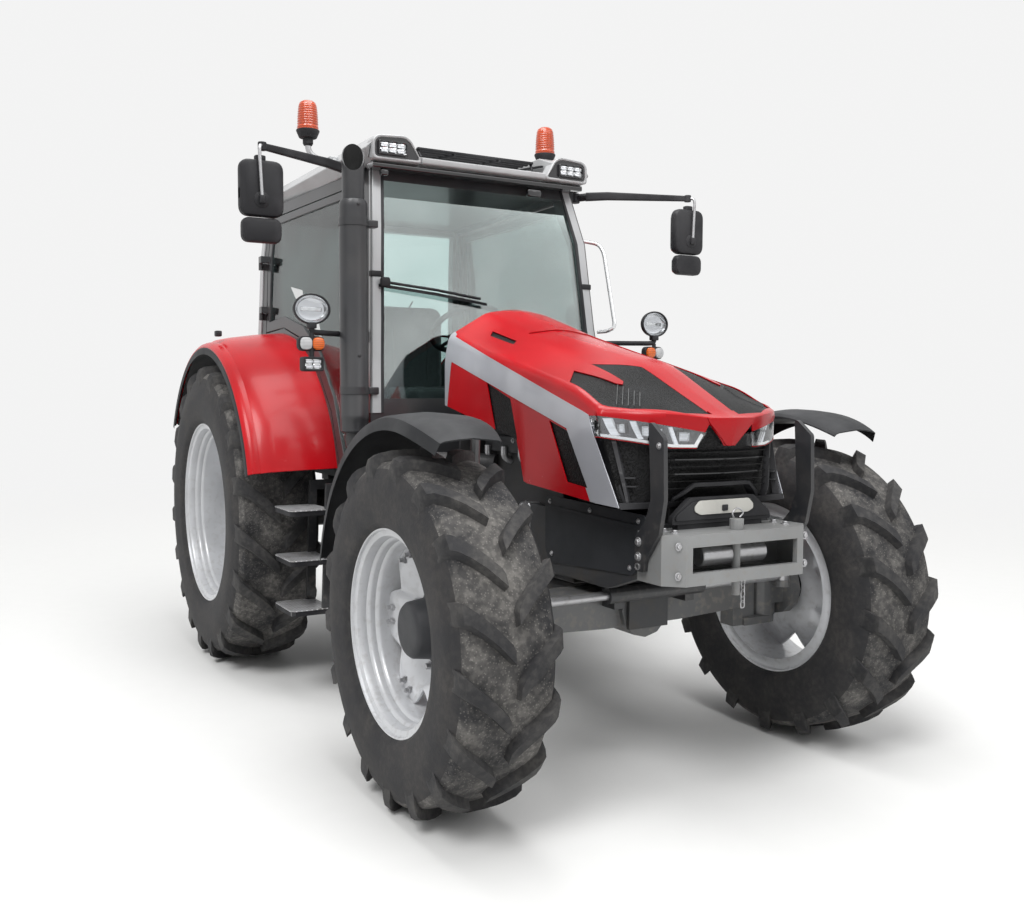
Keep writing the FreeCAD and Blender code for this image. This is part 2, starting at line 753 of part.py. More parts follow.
# Mudguard bracket: a bar from the drum out of the wheel, up beside the tyre and across under the sheet.
S.add("guard_bar", radius=19, stand_in=38, back=112, drum_out=85, clear_low=190, clear_top=275)
guard_facet = S.front_guard_sweep / GUARD_STEPS
guard_mid_angle = S.front_guard_start + 2.5 * guard_facet
guard_apothem = S.front_guard_radius * cosine(guard_facet / 2) - S.guard_bar_radius - S.layout_fit
guard_spot = around((FRONT_AXLE, AXLE_FRONT_Z), guard_apothem, guard_mid_angle)
bar_x = FRONT_AXLE - S.guard_bar_back
bar_in = S.kingpin_out - S.guard_bar_stand_in
guard_bar = tube(
    "guard_bar",
    [
        (bar_x + S.guard_bar_back / 2, S.kingpin_out + S.guard_bar_drum_out, AXLE_FRONT_Z),
        (bar_x, S.kingpin_out + S.guard_bar_drum_out, AXLE_FRONT_Z),
        (bar_x, S.kingpin_out + S.guard_bar_drum_out, AXLE_FRONT_Z + S.guard_bar_clear_low),
        (bar_x, bar_in, AXLE_FRONT_Z + S.guard_bar_clear_top),
        (guard_spot[0], bar_in, guard_spot[1]),
        (guard_spot[0], S.front_guard_outer - 3 * S.guard_bar_radius, guard_spot[1]),
    ],
    S.guard_bar_radius,
)
knuckle = fuse(
    "knuckle_left", knuckle_body, knuckle_pin, knuckle_drum, knuckle_neck, arm_bar, arm_eye, guard_bar
)
piece("knuckle_left", knuckle)
piece("knuckle_right", mirror("knuckle_right", knuckle))

# Steering ram: a barrel fixed ahead of the beam and a rod that slides through it.
S.add("ram", radius=33, half_length=235, rod_radius=17, bore_gap=0.4, eye_radius=30, eye_wall=36, gap=0.6)
RAM_X = FRONT_AXLE + S.steer_arm_ahead
RAM_Z = arm_top + S.ram_gap + S.ram_eye_wall / 2
ram_solid = rod("ram_solid", (RAM_X, -S.ram_half_length, RAM_Z), 2 * S.ram_half_length, S.ram_radius, "Y")
ram_bore = pin(
    "ram_bore", (RAM_X, -2 * S.ram_half_length, RAM_Z), 4 * S.ram_half_length,
    S.ram_rod_radius + S.ram_bore_gap, "Y",
)
ram_foot = block(
    "ram_foot",
    (FRONT_AXLE + S.beam_half_depth + S.layout_fit, S.ram_half_length * 0.65, S.beam_top - S.ram_radius * 1.8),
    (RAM_X, S.ram_half_length * 0.85, RAM_Z + S.ram_radius * 0.4),
)
ram_with_feet = fuse("ram_with_feet", ram_solid, ram_foot, mirror("ram_foot_right", ram_foot))
ram_barrel = cut("ram_barrel", ram_with_feet, ram_bore)
piece("steering_cylinder", ram_barrel)
rod_end = S.kingpin_out - S.steer_arm_inset
ram_rod = pin("ram_rod", (RAM_X, -rod_end, RAM_Z), 2 * rod_end, S.ram_rod_radius, "Y")
rod_eye = rod("rod_eye", (RAM_X, rod_end, arm_top + S.ram_gap), S.ram_eye_wall, S.ram_eye_radius)
piece("steering_rod", fuse("steering_rod", ram_rod, rod_eye, mirror("rod_eye_right", rod_eye)))

# Shaft from the gearbox to the front axle, along the belly.
piece(
    "front_drive_shaft",
    rod(
        "front_drive_shaft",
        (S.gearbox_nose, 0.0, S.belly_shaft_height),
        FRONT_AXLE - S.beam_case_half - S.gearbox_nose,
        S.belly_shaft_radius,
        "X",
    ),
)

# Front weight frame: a welded box open at the sides of its middle pin, with a window in its face.
S.add_from(FRONT_AXLE, "weight_frame", front=FRONT_OVERHANG)
S.add("weight_frame", half_width=335, low=868, top=1045, wall=22, corner=60)
S.add("weight_window", half_width=245, low=912, top=1002)
S.add("tow_pin", back=55, radius=15, bore_gap=0.5, over=38, under=60, head_radius=26)
WEIGHT_REAR = S.support_front + S.layout_fit
frame_plan = [
    (WEIGHT_REAR, -S.weight_frame_half_width),
    (S.weight_frame_front - S.weight_frame_corner, -S.weight_frame_half_width),
    (S.weight_frame_front, S.weight_frame_corner - S.weight_frame_half_width),
    (S.weight_frame_front, S.weight_frame_half_width - S.weight_frame_corner),
    (S.weight_frame_front - S.weight_frame_corner, S.weight_frame_half_width),
    (WEIGHT_REAR, S.weight_frame_half_width),
]
frame_wall = S.weight_frame_wall
frame_hollow_plan = [
    (WEIGHT_REAR + frame_wall, frame_wall - S.weight_frame_half_width),
    (S.weight_frame_front - S.weight_frame_corner, frame_wall - S.weight_frame_half_width),
    (S.weight_frame_front - frame_wall, S.weight_frame_corner - S.weight_frame_half_width),
    (S.weight_frame_front - frame_wall, S.weight_frame_half_width - S.weight_frame_corner),
    (S.weight_frame_front - S.weight_frame_corner, S.weight_frame_half_width - frame_wall),
    (WEIGHT_REAR + frame_wall, S.weight_frame_half_width - frame_wall),
]
frame_solid = slab("frame_solid", "XY", S.weight_frame_low, S.weight_frame_top, frame_plan)
frame_hollow = slab(
    "frame_hollow", "XY", S.weight_frame_low + frame_wall, S.weight_frame_top - frame_wall, frame_hollow_plan
)
frame_window = block(
    "frame_window",
    (S.weight_frame_front - 2 * frame_wall, -S.weight_window_half_width, S.weight_window_low),
    (S.weight_frame_front + frame_wall, S.weight_window_half_width, S.weight_window_top),
)
TOW_X = S.weight_frame_front - S.tow_pin_back
tow_bore = pin(
    "tow_bore", (TOW_X, 0.0, S.weight_frame_low - frame_wall),
    S.weight_frame_top - S.weight_frame_low + 2 * frame_wall, S.tow_pin_radius + S.tow_pin_bore_gap,
)
tow_shaft = pin(
    "tow_shaft", (TOW_X, 0.0, S.weight_frame_low - S.tow_pin_under),
    S.weight_frame_top - S.weight_frame_low + S.tow_pin_under + S.tow_pin_over, S.tow_pin_radius,
)
tow_head = rod(
    "tow_head", (TOW_X, 0.0, S.weight_frame_top + S.layout_fit), S.tow_pin_over, S.tow_pin_head_radius,
)
weight_frame = doc.addObject("Part::Compound", "weight_frame")
weight_frame.Links = [
    cut("welded_frame", frame_solid, frame_hollow, frame_window, tow_bore), fuse("tow_pin", tow_shaft, tow_head),
]
piece("weight_frame", weight_frame)

# Guard horns: two cranked plates beside the grille, tied by a cross bar.
S.add_from(FRONT_AXLE, "horn", foot_rear=492)
S.add("horn", width=18, depth=62, crank_height=1165, top=1425, foot_low=905)
S.add("horn_foot", rise=1030, cross_height=1112, cross_wall=28)
S.table("horn_line", ("front",), (("tip", 618), ("crank", 624), ("knee", 540)), FRONT_AXLE)
horn_outline = [
    (S.horn_foot_rear, S.horn_foot_low),
    (S.horn_line_knee_front, S.horn_foot_low),
    (S.horn_line_knee_front + S.horn_depth, S.horn_foot_rise),
    (S.horn_line_crank_front, S.horn_crank_height),
    (S.horn_line_tip_front, S.horn_top),
    (S.horn_line_tip_front - S.horn_depth, S.horn_top),
    (S.horn_line_crank_front - S.horn_depth, S.horn_crank_height),
    (S.horn_line_knee_front, S.horn_foot_rise + S.horn_depth),
    (S.horn_foot_rear, S.horn_foot_rise),
]
horn_in = S.weight_frame_half_width + S.layout_fit
horn_bar = slab("horn_bar", "XZ", horn_in, horn_in + S.horn_width, horn_outline)
horn_cross = block(
    "horn_cross",
    (S.horn_line_crank_front - S.horn_depth / 2, -horn_in, S.horn_foot_cross_height - S.horn_foot_cross_wall),
    (S.horn_line_crank_front, horn_in, S.horn_foot_cross_height),
)
piece("guard_horns", fuse("guard_horns", horn_bar, mirror("horn_bar_right", horn_bar), horn_cross))

# Bonnet: one hollow form, the overlap of a side profile, a plan and a tapering section, split into panels.
S.add("hood", rear=545, half_width=385, wall=14)
S.table("hood_roofline", SIDE_VIEW, (("heel", 545, 1938), ("seam", 941, 1815)))
S.table("hood_roofline", SIDE_VIEW, (("fall", 140, 1668), ("brow", 360, 1545), ("nose", 607, 1432)), FRONT_AXLE)
S.table("hood_bow", PLAN_VIEW, (
    ("nose", 608, 45), ("inner", 558, 200), ("outer", 485, 320), ("corner", 350, 424),
), FRONT_AXLE)
S.table("hood_rear_section", FRONT_VIEW, (
    ("crown", 60, 1940), ("edge", 262, 1915), ("shoulder", 362, 1800), ("waist", 385, 1690), ("foot", 385, 1100),
))
S.table("hood_front_section", FRONT_VIEW, (
    ("crown", 60, 1470), ("edge", 200, 1462), ("shoulder", 424, 1452), ("waist", 432, 1380), ("foot", 378, 1100),
))


def hood_solid(name, inset):
    """The bonnet's outer form, or its inner one when drawn in by a wall."""
    side = [
        (S.hood_roofline_heel_along - 2 * inset, S.hood_roofline_heel_height - inset),
        (S.hood_roofline_seam_along, S.hood_roofline_seam_height - inset),
        (S.hood_roofline_fall_along, S.hood_roofline_fall_height - inset),
        (S.hood_roofline_brow_along - inset / 2, S.hood_roofline_brow_height - inset),
        (S.hood_roofline_nose_along - 2 * inset, S.hood_roofline_nose_height - inset),
        (S.hood_chin_tip_along - inset, S.hood_chin_tip_height),
        (S.hood_chin_grille_along - inset, S.hood_chin_grille_height - 2 * inset),
        (S.hood_chin_lip_along - inset, S.hood_chin_lip_height - 2 * inset),
        (S.hood_chin_sill_along - 2 * inset, S.hood_chin_lip_height - 2 * inset),
        (S.hood_chin_sill_along - 2 * inset, S.hood_chin_sill_height - inset),
        (S.hood_chin_notch_along - 2 * inset, S.hood_chin_notch_height - 2 * inset),
        (S.hood_chin_tail_along - 2 * inset, S.hood_chin_tail_height - 2 * inset),
    ]
    profile = slab(name + "_profile", "XZ", -2 * S.hood_half_width, 2 * S.hood_half_width, side)
    bow = [
        (S.hood_bow_nose_along - inset, S.hood_bow_nose_out),
        (S.hood_bow_inner_along - inset, S.hood_bow_inner_out),
        (S.hood_bow_outer_along - inset, S.hood_bow_outer_out),
        (S.hood_bow_corner_along - inset, S.hood_bow_corner_out - inset),
        (S.hood_bow_corner_along - S.hood_bow_corner_out, S.hood_bow_corner_out + S.hood_bow_nose_out),
        (S.hood_rear - 2 * inset, S.hood_bow_corner_out + S.hood_bow_nose_out),
    ]
    plan = slab(
        name + "_plan", "XY", S.engine_low, 2 * S.hood_roofline_heel_height,
        bow + [(along, -out) for along, out in reversed(bow)],
    )
    sections = []
    for offset, group in ((S.hood_rear - 2 * inset, "rear"), (S.hood_bow_nose_along + inset, "front")):
        half = []
        for corner in ("crown", "edge", "shoulder", "waist", "foot"):
            out = getattr(S, "hood_%s_section_%s_out" % (group, corner))
            height = getattr(S, "hood_%s_section_%s_height" % (group, corner))
            drop = inset if corner in ("crown", "edge", "shoulder") else 0.0
            half.append((out - inset, height - drop))
        sections.append((offset, half + [(-out, height) for out, height in reversed(half)]))
    section = folded(name + "_section", "YZ", sections)
    return common(name, profile, plan, section)


hood_shell_form = cut("hood_shell_form", hood_solid("hood_outer", 0.0), hood_solid("hood_inner", S.hood_wall))


def across_prism(name, points, low, high):
    """A side-view outline carried across both flanks between two distances from the middle."""
    flank = slab(name + "_flank", "XZ", low, high, points)
    return fuse(name, flank, mirror(name + "_flank_right", flank))


S.table("band", SIDE_VIEW, (("top_rear", 530, 1808), ("low_rear", 530, 1696)))
S.table("band", SIDE_VIEW, (
    ("top_front", 245, 1466), ("front_top", 290, 1452), ("front_low", 472, 1100), ("low_front", 300, 1100),
    ("inner", 140, 1398),
), FRONT_AXLE)
FLANK_INNER = 0.75 * S.hood_half_width
FLANK_OUTER = 1.3 * S.hood_half_width
band_prism = across_prism(
    "band_prism",
    [(getattr(S, "band_%s_along" % corner), getattr(S, "band_%s_height" % corner)) for corner in (
        "top_rear", "top_front", "front_top", "front_low", "low_front", "inner", "low_rear")],
    FLANK_INNER, FLANK_OUTER,
)
VENT_COLUMNS = ("top_rear", "top_front", "low_front", "low_rear", "top", "low")
S.table("vent", VENT_COLUMNS, (("first", 915, 1025, 1195, 1120, 1570, 1350),))
S.table("vent", VENT_COLUMNS, (("second", -60, 60, 225, 110, 1405, 1180),), FRONT_AXLE, 4)
vents = []
for name in ("first", "second"):
    corner = {key: getattr(S, "vent_%s_%s" % (name, key)) for key in (
        "top_rear", "top_front", "low_front", "low_rear", "top", "low")}
    vents.append(across_prism(
        "vent_" + name,
        [
            (corner["top_rear"], corner["top"]), (corner["top_front"], corner["top"]),
            (corner["low_front"], corner["low"]), (corner["low_rear"], corner["low"]),
        ],
        FLANK_INNER, FLANK_OUTER,
    ))
S.table("top_mesh", PLAN_VIEW, (
    ("rear_in", -170, 70), ("front_in", 460, 60), ("front_out", 400, 170), ("mid_out", 140, 300),
    ("rear_out", -100, 250),
), FRONT_AXLE)
mesh_points = [(getattr(S, "top_mesh_%s_along" % c), getattr(S, "top_mesh_%s_out" % c)) for c in (
    "rear_in", "front_in", "front_out", "mid_out", "rear_out")]
mesh_left = slab("mesh_left", "XY", S.hood_front_section_waist_height, S.hood_roofline_heel_height, mesh_points)
top_mesh = fuse("top_mesh", mesh_left, mirror("mesh_right", mesh_left))
S.table("lamp", FRONT_VIEW, (
    ("tip", 92, 1392), ("arch", 300, 1436), ("brow", 445, 1452), ("drop", 445, 1375), ("belly", 300, 1333),
    ("heel", 112, 1318),
))
lamp_corners = ("tip", "arch", "brow", "drop", "belly", "heel")
lamp_points = [(getattr(S, "lamp_%s_out" % c), getattr(S, "lamp_%s_height" % c)) for c in lamp_corners]
lamp_left = slab("lamp_left", "YZ", S.hood_bow_corner_along - 4 * S.hood_wall, S.weight_frame_front, lamp_points)
lamp_prism = fuse("lamp_prism", lamp_left, mirror("lamp_right", lamp_left))
S.add("grille", half_width=445, chin=1100)
grille_half = [
    (S.lamp_tip_out, S.lamp_tip_height), (S.lamp_heel_out, S.lamp_heel_height),
    (S.lamp_belly_out, S.lamp_belly_height), (S.grille_half_width, S.lamp_belly_height),
    (S.grille_half_width, S.grille_chin),
]
grille_prism = slab(
    "grille_prism", "YZ", S.hood_bow_corner_along - 4 * S.hood_wall, S.weight_frame_front,
    [(0.0, S.hood_chin_tip_height)] + grille_half + [(-out, height) for out, height in reversed(grille_half)],
)
bands = common("hood_bands", hood_shell_form, band_prism)
piece("hood_bands", bands)
lamps = cut("headlights", common("lamp_shell", hood_shell_form, lamp_prism), band_prism)
piece("headlights", lamps)
grille = cut("front_grille", common("grille_shell", hood_shell_form, grille_prism), band_prism, lamp_prism)
piece("front_grille", grille)
meshes = common("hood_meshes", hood_shell_form, fuse("mesh_prisms", top_mesh, *vents))
piece("hood_meshes", cut("hood_meshes_clear", meshes, band_prism))
piece("hood_shell", cut("hood_shell", hood_shell_form, band_prism, top_mesh, lamp_prism, grille_prism, *vents))
piece(
    "radiator",
    block(
        "radiator",
        (S.radiator_rear, -S.radiator_half_width, S.support_top),
        (S.radiator_front, S.radiator_half_width, S.radiator_top),
    ),
)

# Rear mudguards: red sheets turned about the rear axle, with black lips outside.
S.add_from(S.wheel_rear_track_half, "rear_guard", inner=-315, edge=145, lip=205)
S.add("rear_guard", wall=10, start=17, sweep=133)
S.table("rear_guard_rise", ("radius",), (
    ("cab", 1030), ("mid", 1018), ("edge", 972), ("lip", 950), ("turn", 905),
))
GUARD_FACETS = 10
guard_pitch = S.rear_guard_sweep / GUARD_FACETS
guard_wall = S.rear_guard_wall
guard_mid = (S.rear_guard_inner + S.rear_guard_edge) / 2
AXLE_REAR_Z = S.rear_tyre_radius
rear_sheet = ring(
    "rear_sheet", (REAR_AXLE, 0.0, AXLE_REAR_Z),
    [
        (S.rear_guard_rise_cab_radius, S.rear_guard_inner),
        (S.rear_guard_rise_mid_radius, guard_mid),
        (S.rear_guard_rise_edge_radius, S.rear_guard_edge),
        (S.rear_guard_rise_edge_radius - guard_wall, S.rear_guard_edge),
        (S.rear_guard_rise_mid_radius - guard_wall, guard_mid),
        (S.rear_guard_rise_cab_radius - guard_wall, S.rear_guard_inner),
    ],
    GUARD_FACETS, S.rear_guard_start, S.rear_guard_sweep,
)
rear_lip = ring(
    "rear_lip", (REAR_AXLE, 0.0, AXLE_REAR_Z),
    [
        (S.rear_guard_rise_edge_radius, S.rear_guard_edge),
        (S.rear_guard_rise_lip_radius, S.rear_guard_lip),
        (S.rear_guard_rise_turn_radius, S.rear_guard_lip),
        (S.rear_guard_rise_turn_radius, S.rear_guard_lip - guard_wall),
        (S.rear_guard_rise_lip_radius - guard_wall, S.rear_guard_lip - guard_wall),
        (S.rear_guard_rise_edge_radius - guard_wall, S.rear_guard_edge),
    ],
    GUARD_FACETS, S.rear_guard_start, S.rear_guard_sweep,
)
piece("rear_fenders", both_sides("rear_fenders", rear_sheet))
piece("fender_lips", both_sides("fender_lips", rear_lip))

# Cab: a tapering form with bent front pillars, hollow, its doors and panes cut from the same form.
S.add("cab_wall", pillar=62, door=34, pane=6, floor=45, roof=40, pane_inset=10, gap=6)


def cab_solid(name, inset, floor=0.0, roof=0.0):
    """The cab's outer form, or the same form drawn in by a wall."""
    sections = []
    for level in CAB_LEVELS:
        height, front, rear, front_half, rear_half = [
            getattr(S, "cab_%s_%s" % (level, key)) for key in CAB_COLUMNS
        ]
        if level == CAB_LEVELS[0]:
            height = height + floor
        if level == CAB_LEVELS[-1]:
            height = height - roof
        corners = [
            (front - inset, -(front_half - inset)), (front - inset, front_half - inset),
            (rear + inset, rear_half - inset), (rear + inset, -(rear_half - inset)),
        ]
        sections.append((height, corners))
    return folded(name, "XY", sections)


def cab_skin(name, outer_inset, wall):
    """A thin layer of the cab's form, such as a pane or a door's depth."""
    outer = cab_solid(name + "_outer", outer_inset)
    inner = cab_solid(name + "_inner", outer_inset + wall, -S.cab_wall_floor, -S.cab_wall_roof)
    return cut(name, outer, inner)


DOOR_COLUMNS = ("height", "along")
S.table("door", DOOR_COLUMNS, (("front_chest", 1880, 196), ("front_low", 1560, 225), ("front_foot", 1135, 225)))
S.table("door", DOOR_COLUMNS, (
    ("front_top", -68, 38), ("front_brow", -310, 140), ("rear_top", -68, -1262),
), CAB_TOP)
S.add("door_arc", radius=1058, first=16.5, last=101.5, steps=5)
S.add("door_frame", front=48, rear=55, top=50, foot=70)
AXLE_REAR = (REAR_AXLE, AXLE_REAR_Z)


def door_outline(shrink, edge):
    """The door's side view: bent front edge, an arc over the mudguard and a plain rear edge."""
    front, rear, top, foot = edge
    points = [
        (S.door_rear_top_along + rear + shrink, S.door_rear_top_height - top - shrink),
        (S.door_front_top_along - front - shrink, S.door_front_top_height - top - shrink),
        (S.door_front_brow_along - front - shrink, S.door_front_brow_height),
        (S.door_front_chest_along - front - shrink, S.door_front_chest_height),
        (S.door_front_low_along - front - shrink, S.door_front_low_height),
        (S.door_front_foot_along - front - shrink, S.door_front_foot_height + foot + shrink),
    ]
    steps = int(S.door_arc_steps)
    radius = S.door_arc_radius + foot + shrink
    first = S.door_arc_first + 3.0 * (foot > 0)
    for number in range(steps + 1):
        angle = first + (S.door_arc_last - first) * (number / steps)
        points.append(around(AXLE_REAR, radius, angle))
    points[-1] = (S.door_rear_top_along + rear + shrink, points[-1][1])
    return points


NO_EDGE = (0.0, 0.0, 0.0, 0.0)
PANE_EDGE = (S.door_frame_front, S.door_frame_rear, S.door_frame_top, S.door_frame_foot)
door_hole = across_prism("door_hole", door_outline(0.0, NO_EDGE), S.rear_guard_inner / 2, S.rear_guard_lip)
pane_hole = across_prism("pane_hole", door_outline(0.0, PANE_EDGE), S.rear_guard_inner / 2, S.rear_guard_lip)
door_plug = slab(
    "door_plug", "XZ", S.rear_guard_inner / 2, S.rear_guard_lip, door_outline(S.cab_wall_gap, NO_EDGE)
)
pane_plug = slab("pane_plug", "XZ", S.rear_guard_inner / 2, S.rear_guard_lip, door_outline(0.0, PANE_EDGE))

S.table("screen", ("height", "half_width"), (("low", 1500, 612), ("chest", 1880, 578)))
S.table("screen", ("height", "half_width"), (("brow", -310, 556), ("top", -70, 520)), CAB_TOP)
screen_half = [
    (getattr(S, "screen_%s_half_width" % level), getattr(S, "screen_%s_height" % level))
    for level in ("low", "chest", "brow", "top")
]
screen_points = screen_half + [(-out, height) for out, height in reversed(screen_half)]
screen_hole = slab("screen_hole", "YZ", S.door_front_top_along / 4, S.hood_rear, screen_points)
S.add_from(CAB_TOP, "rear_pane", top=-80)
S.add("rear_pane", half_width=590, low=1560)
rear_hole = block(
    "rear_hole",
    (2 * S.cab_crown_rear, -S.rear_pane_half_width, S.rear_pane_low),
    (S.door_rear_top_along, S.rear_pane_half_width, S.rear_pane_top),
)
room_start = S.rear_guard_start - 2 * guard_pitch
room_sweep = S.rear_guard_sweep + 4 * guard_pitch
room_radius = S.rear_guard_rise_cab_radius + 1.5 * S.layout_fit
wheel_room = ring(
    "wheel_room", (REAR_AXLE, 0.0, AXLE_REAR_Z),
    [
        (room_radius, S.rear_guard_inner), (room_radius, 2 * S.rear_guard_lip),
        (S.wheel_hub_bore, 2 * S.rear_guard_lip), (S.wheel_hub_bore, S.rear_guard_inner),
    ],
    GUARD_FACETS + 4, room_start, room_sweep,
)
wheel_rooms = fuse("wheel_rooms", wheel_room, mirror("wheel_room_right", wheel_room))
cab_room = cab_solid("cab_room", S.cab_wall_pillar, S.cab_wall_floor, S.cab_wall_roof)
cab_full = cab_solid("cab_full", 0.0)
arch_room = ring(
    "arch_room", (REAR_AXLE, 0.0, AXLE_REAR_Z),
    [
        (room_radius + guard_wall, S.rear_guard_inner - 2 * guard_wall),
        (room_radius + guard_wall, 2 * S.rear_guard_lip),
        (S.wheel_hub_bore, 2 * S.rear_guard_lip),
        (S.wheel_hub_bore, S.rear_guard_inner - 2 * guard_wall),
    ],
    GUARD_FACETS + 4, room_start, room_sweep,
)
lift_room = block(
    "lift_room", (2 * S.cab_sill_rear, -S.rear_guard_lip, S.gearbox_low),
    (S.lift_room_front, S.rear_guard_lip, S.lift_room_top),
)
raised_floor = block(
    "raised_floor", (2 * S.cab_sill_rear, -S.rear_guard_lip, S.gearbox_low),
    (S.lift_room_front + S.cab_wall_floor, S.rear_guard_lip, S.lift_room_top + S.cab_wall_floor),
)
cab_inside = cut("cab_inside", cab_room, arch_room, mirror("arch_room_right", arch_room), raised_floor)
cab_body = cut("cab_body", cab_full, cab_inside, wheel_rooms, door_hole, screen_hole, rear_hole, lift_room)

# Door hinges behind the doors: a barrel on the rear pillar under each barrel of the door. Each strap on the
# pillar starts inside the pillar's wall, at the cab's narrowest level.
S.add_from(AXLE_REAR_Z + S.rear_guard_rise_cab_radius, "hinge", low=88)
S.add("hinge", x=-1275, out=725, radius=14, length=40, high_share=0.49, strap=50, strap_inner=684)
hinge_high = S.hinge_low + S.hinge_high_share * (S.door_rear_top_height - S.hinge_low)
cab_hinges, door_hinges = [], []
for name, height in (("low", S.hinge_low), ("high", hinge_high)):
    cab_hinges += [
        rod("cab_barrel_" + name, (S.hinge_x, S.hinge_out, height), S.hinge_length, S.hinge_radius),
        block(
            "cab_strap_" + name, (S.hinge_x - S.hinge_radius, S.cab_crown_rear_half, height),
            (S.hinge_x, S.hinge_out, height + S.hinge_length),
        ),
    ]
    base = height + S.hinge_length + S.layout_fit
    door_hinges += [
        rod("door_barrel_" + name, (S.hinge_x, S.hinge_out, base), S.hinge_length, S.hinge_radius),
        block(
            "door_strap_" + name, (S.hinge_x, S.hinge_out - S.hinge_radius, base),
            (S.hinge_x + S.hinge_strap, S.hinge_out + S.hinge_radius, base + S.hinge_length),
        ),
        block(
            "door_seat_" + name, (S.hinge_x + S.hinge_strap / 2, S.hinge_strap_inner - S.hinge_radius, base),
            (S.hinge_x + S.hinge_strap, S.hinge_out, base + S.hinge_length),
        ),
    ]
cab_barrels = fuse("cab_barrels", *cab_hinges)
piece("cab_frame", fuse("cab_frame", cab_body, cab_barrels, mirror("cab_barrels_right", cab_barrels)))

pane_skin = cab_skin("pane_skin", S.cab_wall_pane_inset, S.cab_wall_pane)
front_pane = common("front_pane", pane_skin, screen_hole)
back_pane = common("back_pane", pane_skin, rear_hole)
cab_glass = doc.addObject("Part::Compound", "cab_glass")
cab_glass.Links = [front_pane, back_pane]
piece("cab_glass", cab_glass)
door_depth = cab_skin("door_depth", 0.0, S.cab_wall_door)
door_leaf = cut("door_leaf", common("door_slab", door_depth, door_plug), pane_hole)
door_left = fuse("door_left", door_leaf, *door_hinges)
piece("door_left", door_left)
piece("door_right", mirror("door_right", door_left))
door_glass = common("door_glass_left", pane_skin, pane_plug)
piece("door_glass_left", door_glass)
piece("door_glass_right", mirror("door_glass_right", door_glass))

# Roof: a hollow-fronted cap with raised side rails, bars across its front and lamp pods.
S.add_from(CAB_TOP, "roof", low=0, eave=60, top=ROOF_RISE)
S.add("roof", rear=-1500, front=225, half_width=650, tuck=45)
S.add_from(CAB_TOP, "roof_recess", low=50)
S.add("roof_recess", rear=-260, half_width=400)
roof_side = [
    (S.roof_rear + S.roof_tuck, S.roof_low),
    (S.roof_rear, S.roof_eave),
    (S.roof_rear + 2 * S.roof_tuck, S.roof_top),
    (S.roof_front - 3 * S.roof_tuck, S.roof_top),
    (S.roof_front, S.roof_eave + S.roof_tuck),
    (S.roof_front - S.roof_tuck, S.roof_low),
]
roof_profile = slab("roof_profile", "XZ", -S.roof_half_width, S.roof_half_width, roof_side)
roof_front_view = slab(
    "roof_front_view", "YZ", 2 * S.roof_rear, 2 * S.roof_front,
    [
        (-S.roof_half_width + S.roof_tuck, S.roof_low), (-S.roof_half_width, S.roof_eave),
        (-S.roof_half_width + 2 * S.roof_tuck, S.roof_top), (S.roof_half_width - 2 * S.roof_tuck, S.roof_top),
        (S.roof_half_width, S.roof_eave), (S.roof_half_width - S.roof_tuck, S.roof_low),
    ],
)
roof_recess = block(
    "roof_recess",
    (S.roof_recess_rear, -S.roof_recess_half_width, S.roof_recess_low),
    (2 * S.roof_front, S.roof_recess_half_width, 2 * S.roof_top),
)
S.add_from(CAB_TOP, "lamp_pod", low=28, rear_low=32)
S.add("lamp_pod", half_width=92, height=88, depth=70, inner=430)
pod_hole = block(
    "pod_hole",
    (S.roof_front - S.lamp_pod_depth, S.lamp_pod_inner, S.lamp_pod_low),
    (2 * S.roof_front, S.lamp_pod_inner + 2 * S.lamp_pod_half_width, S.lamp_pod_low + S.lamp_pod_height),
)
piece(
    "cab_roof",
    cut(
        "cab_roof", common("roof_form", roof_profile, roof_front_view), roof_recess, pod_hole,
        mirror("pod_hole_right", pod_hole),
    ),
)
S.add("roof_bar", count=4, width=22, height=20, first=-190, step=105, rise=12, post=24)
bar_parts = []
for number in range(int(S.roof_bar_count)):
    start = S.roof_bar_first + number * S.roof_bar_step
    base = S.roof_top - number * S.roof_bar_rise
    bar_parts.append(block(
        "roof_bar_%d" % number,
        (start, -S.roof_recess_half_width, base - S.roof_bar_height),
        (start + S.roof_bar_width, S.roof_recess_half_width, base),
    ))
last_bar = S.roof_bar_first + (int(S.roof_bar_count) - 1) * S.roof_bar_step
bar_rail = slab(
    "bar_rail", "XZ", S.roof_recess_half_width - S.roof_bar_post, S.roof_recess_half_width,
    [
        (S.roof_bar_first, S.roof_top - S.roof_bar_height / 2),
        (S.roof_bar_first, S.roof_recess_low),
        (last_bar, S.roof_recess_low),
        (last_bar + S.roof_bar_width, S.roof_top - 3 * S.roof_bar_rise - S.roof_bar_height / 2),
    ],
)
piece("roof_bars", fuse("roof_bars", bar_rail, mirror("bar_rail_right", bar_rail), *bar_parts))
front_pod = block(
    "front_pod",
    (S.roof_front - S.lamp_pod_depth, S.lamp_pod_inner, S.lamp_pod_low),
    (
        S.roof_front - S.lamp_pod_depth / 4, S.lamp_pod_inner + 2 * S.lamp_pod_half_width,
        S.lamp_pod_low + S.lamp_pod_height,
    ),
)
rear_pod = block(
    "rear_pod",
    (S.roof_rear - S.lamp_pod_depth, S.lamp_pod_inner, S.lamp_pod_rear_low),
    (
        S.roof_rear - S.layout_fit, S.lamp_pod_inner + 2 * S.lamp_pod_half_width,
        S.lamp_pod_rear_low + S.lamp_pod_height / 2,
    ),
)
S.add("beacon", radius=52, height=BEACON_HEIGHT, base_height=40, base_radius=62, left_x=24, left_out=480)
S.add_from(S.roof_top, "beacon_arm", top_z=10, rise=-55)
S.add("beacon_arm", stem_radius=16, root_x=-170, out=800)


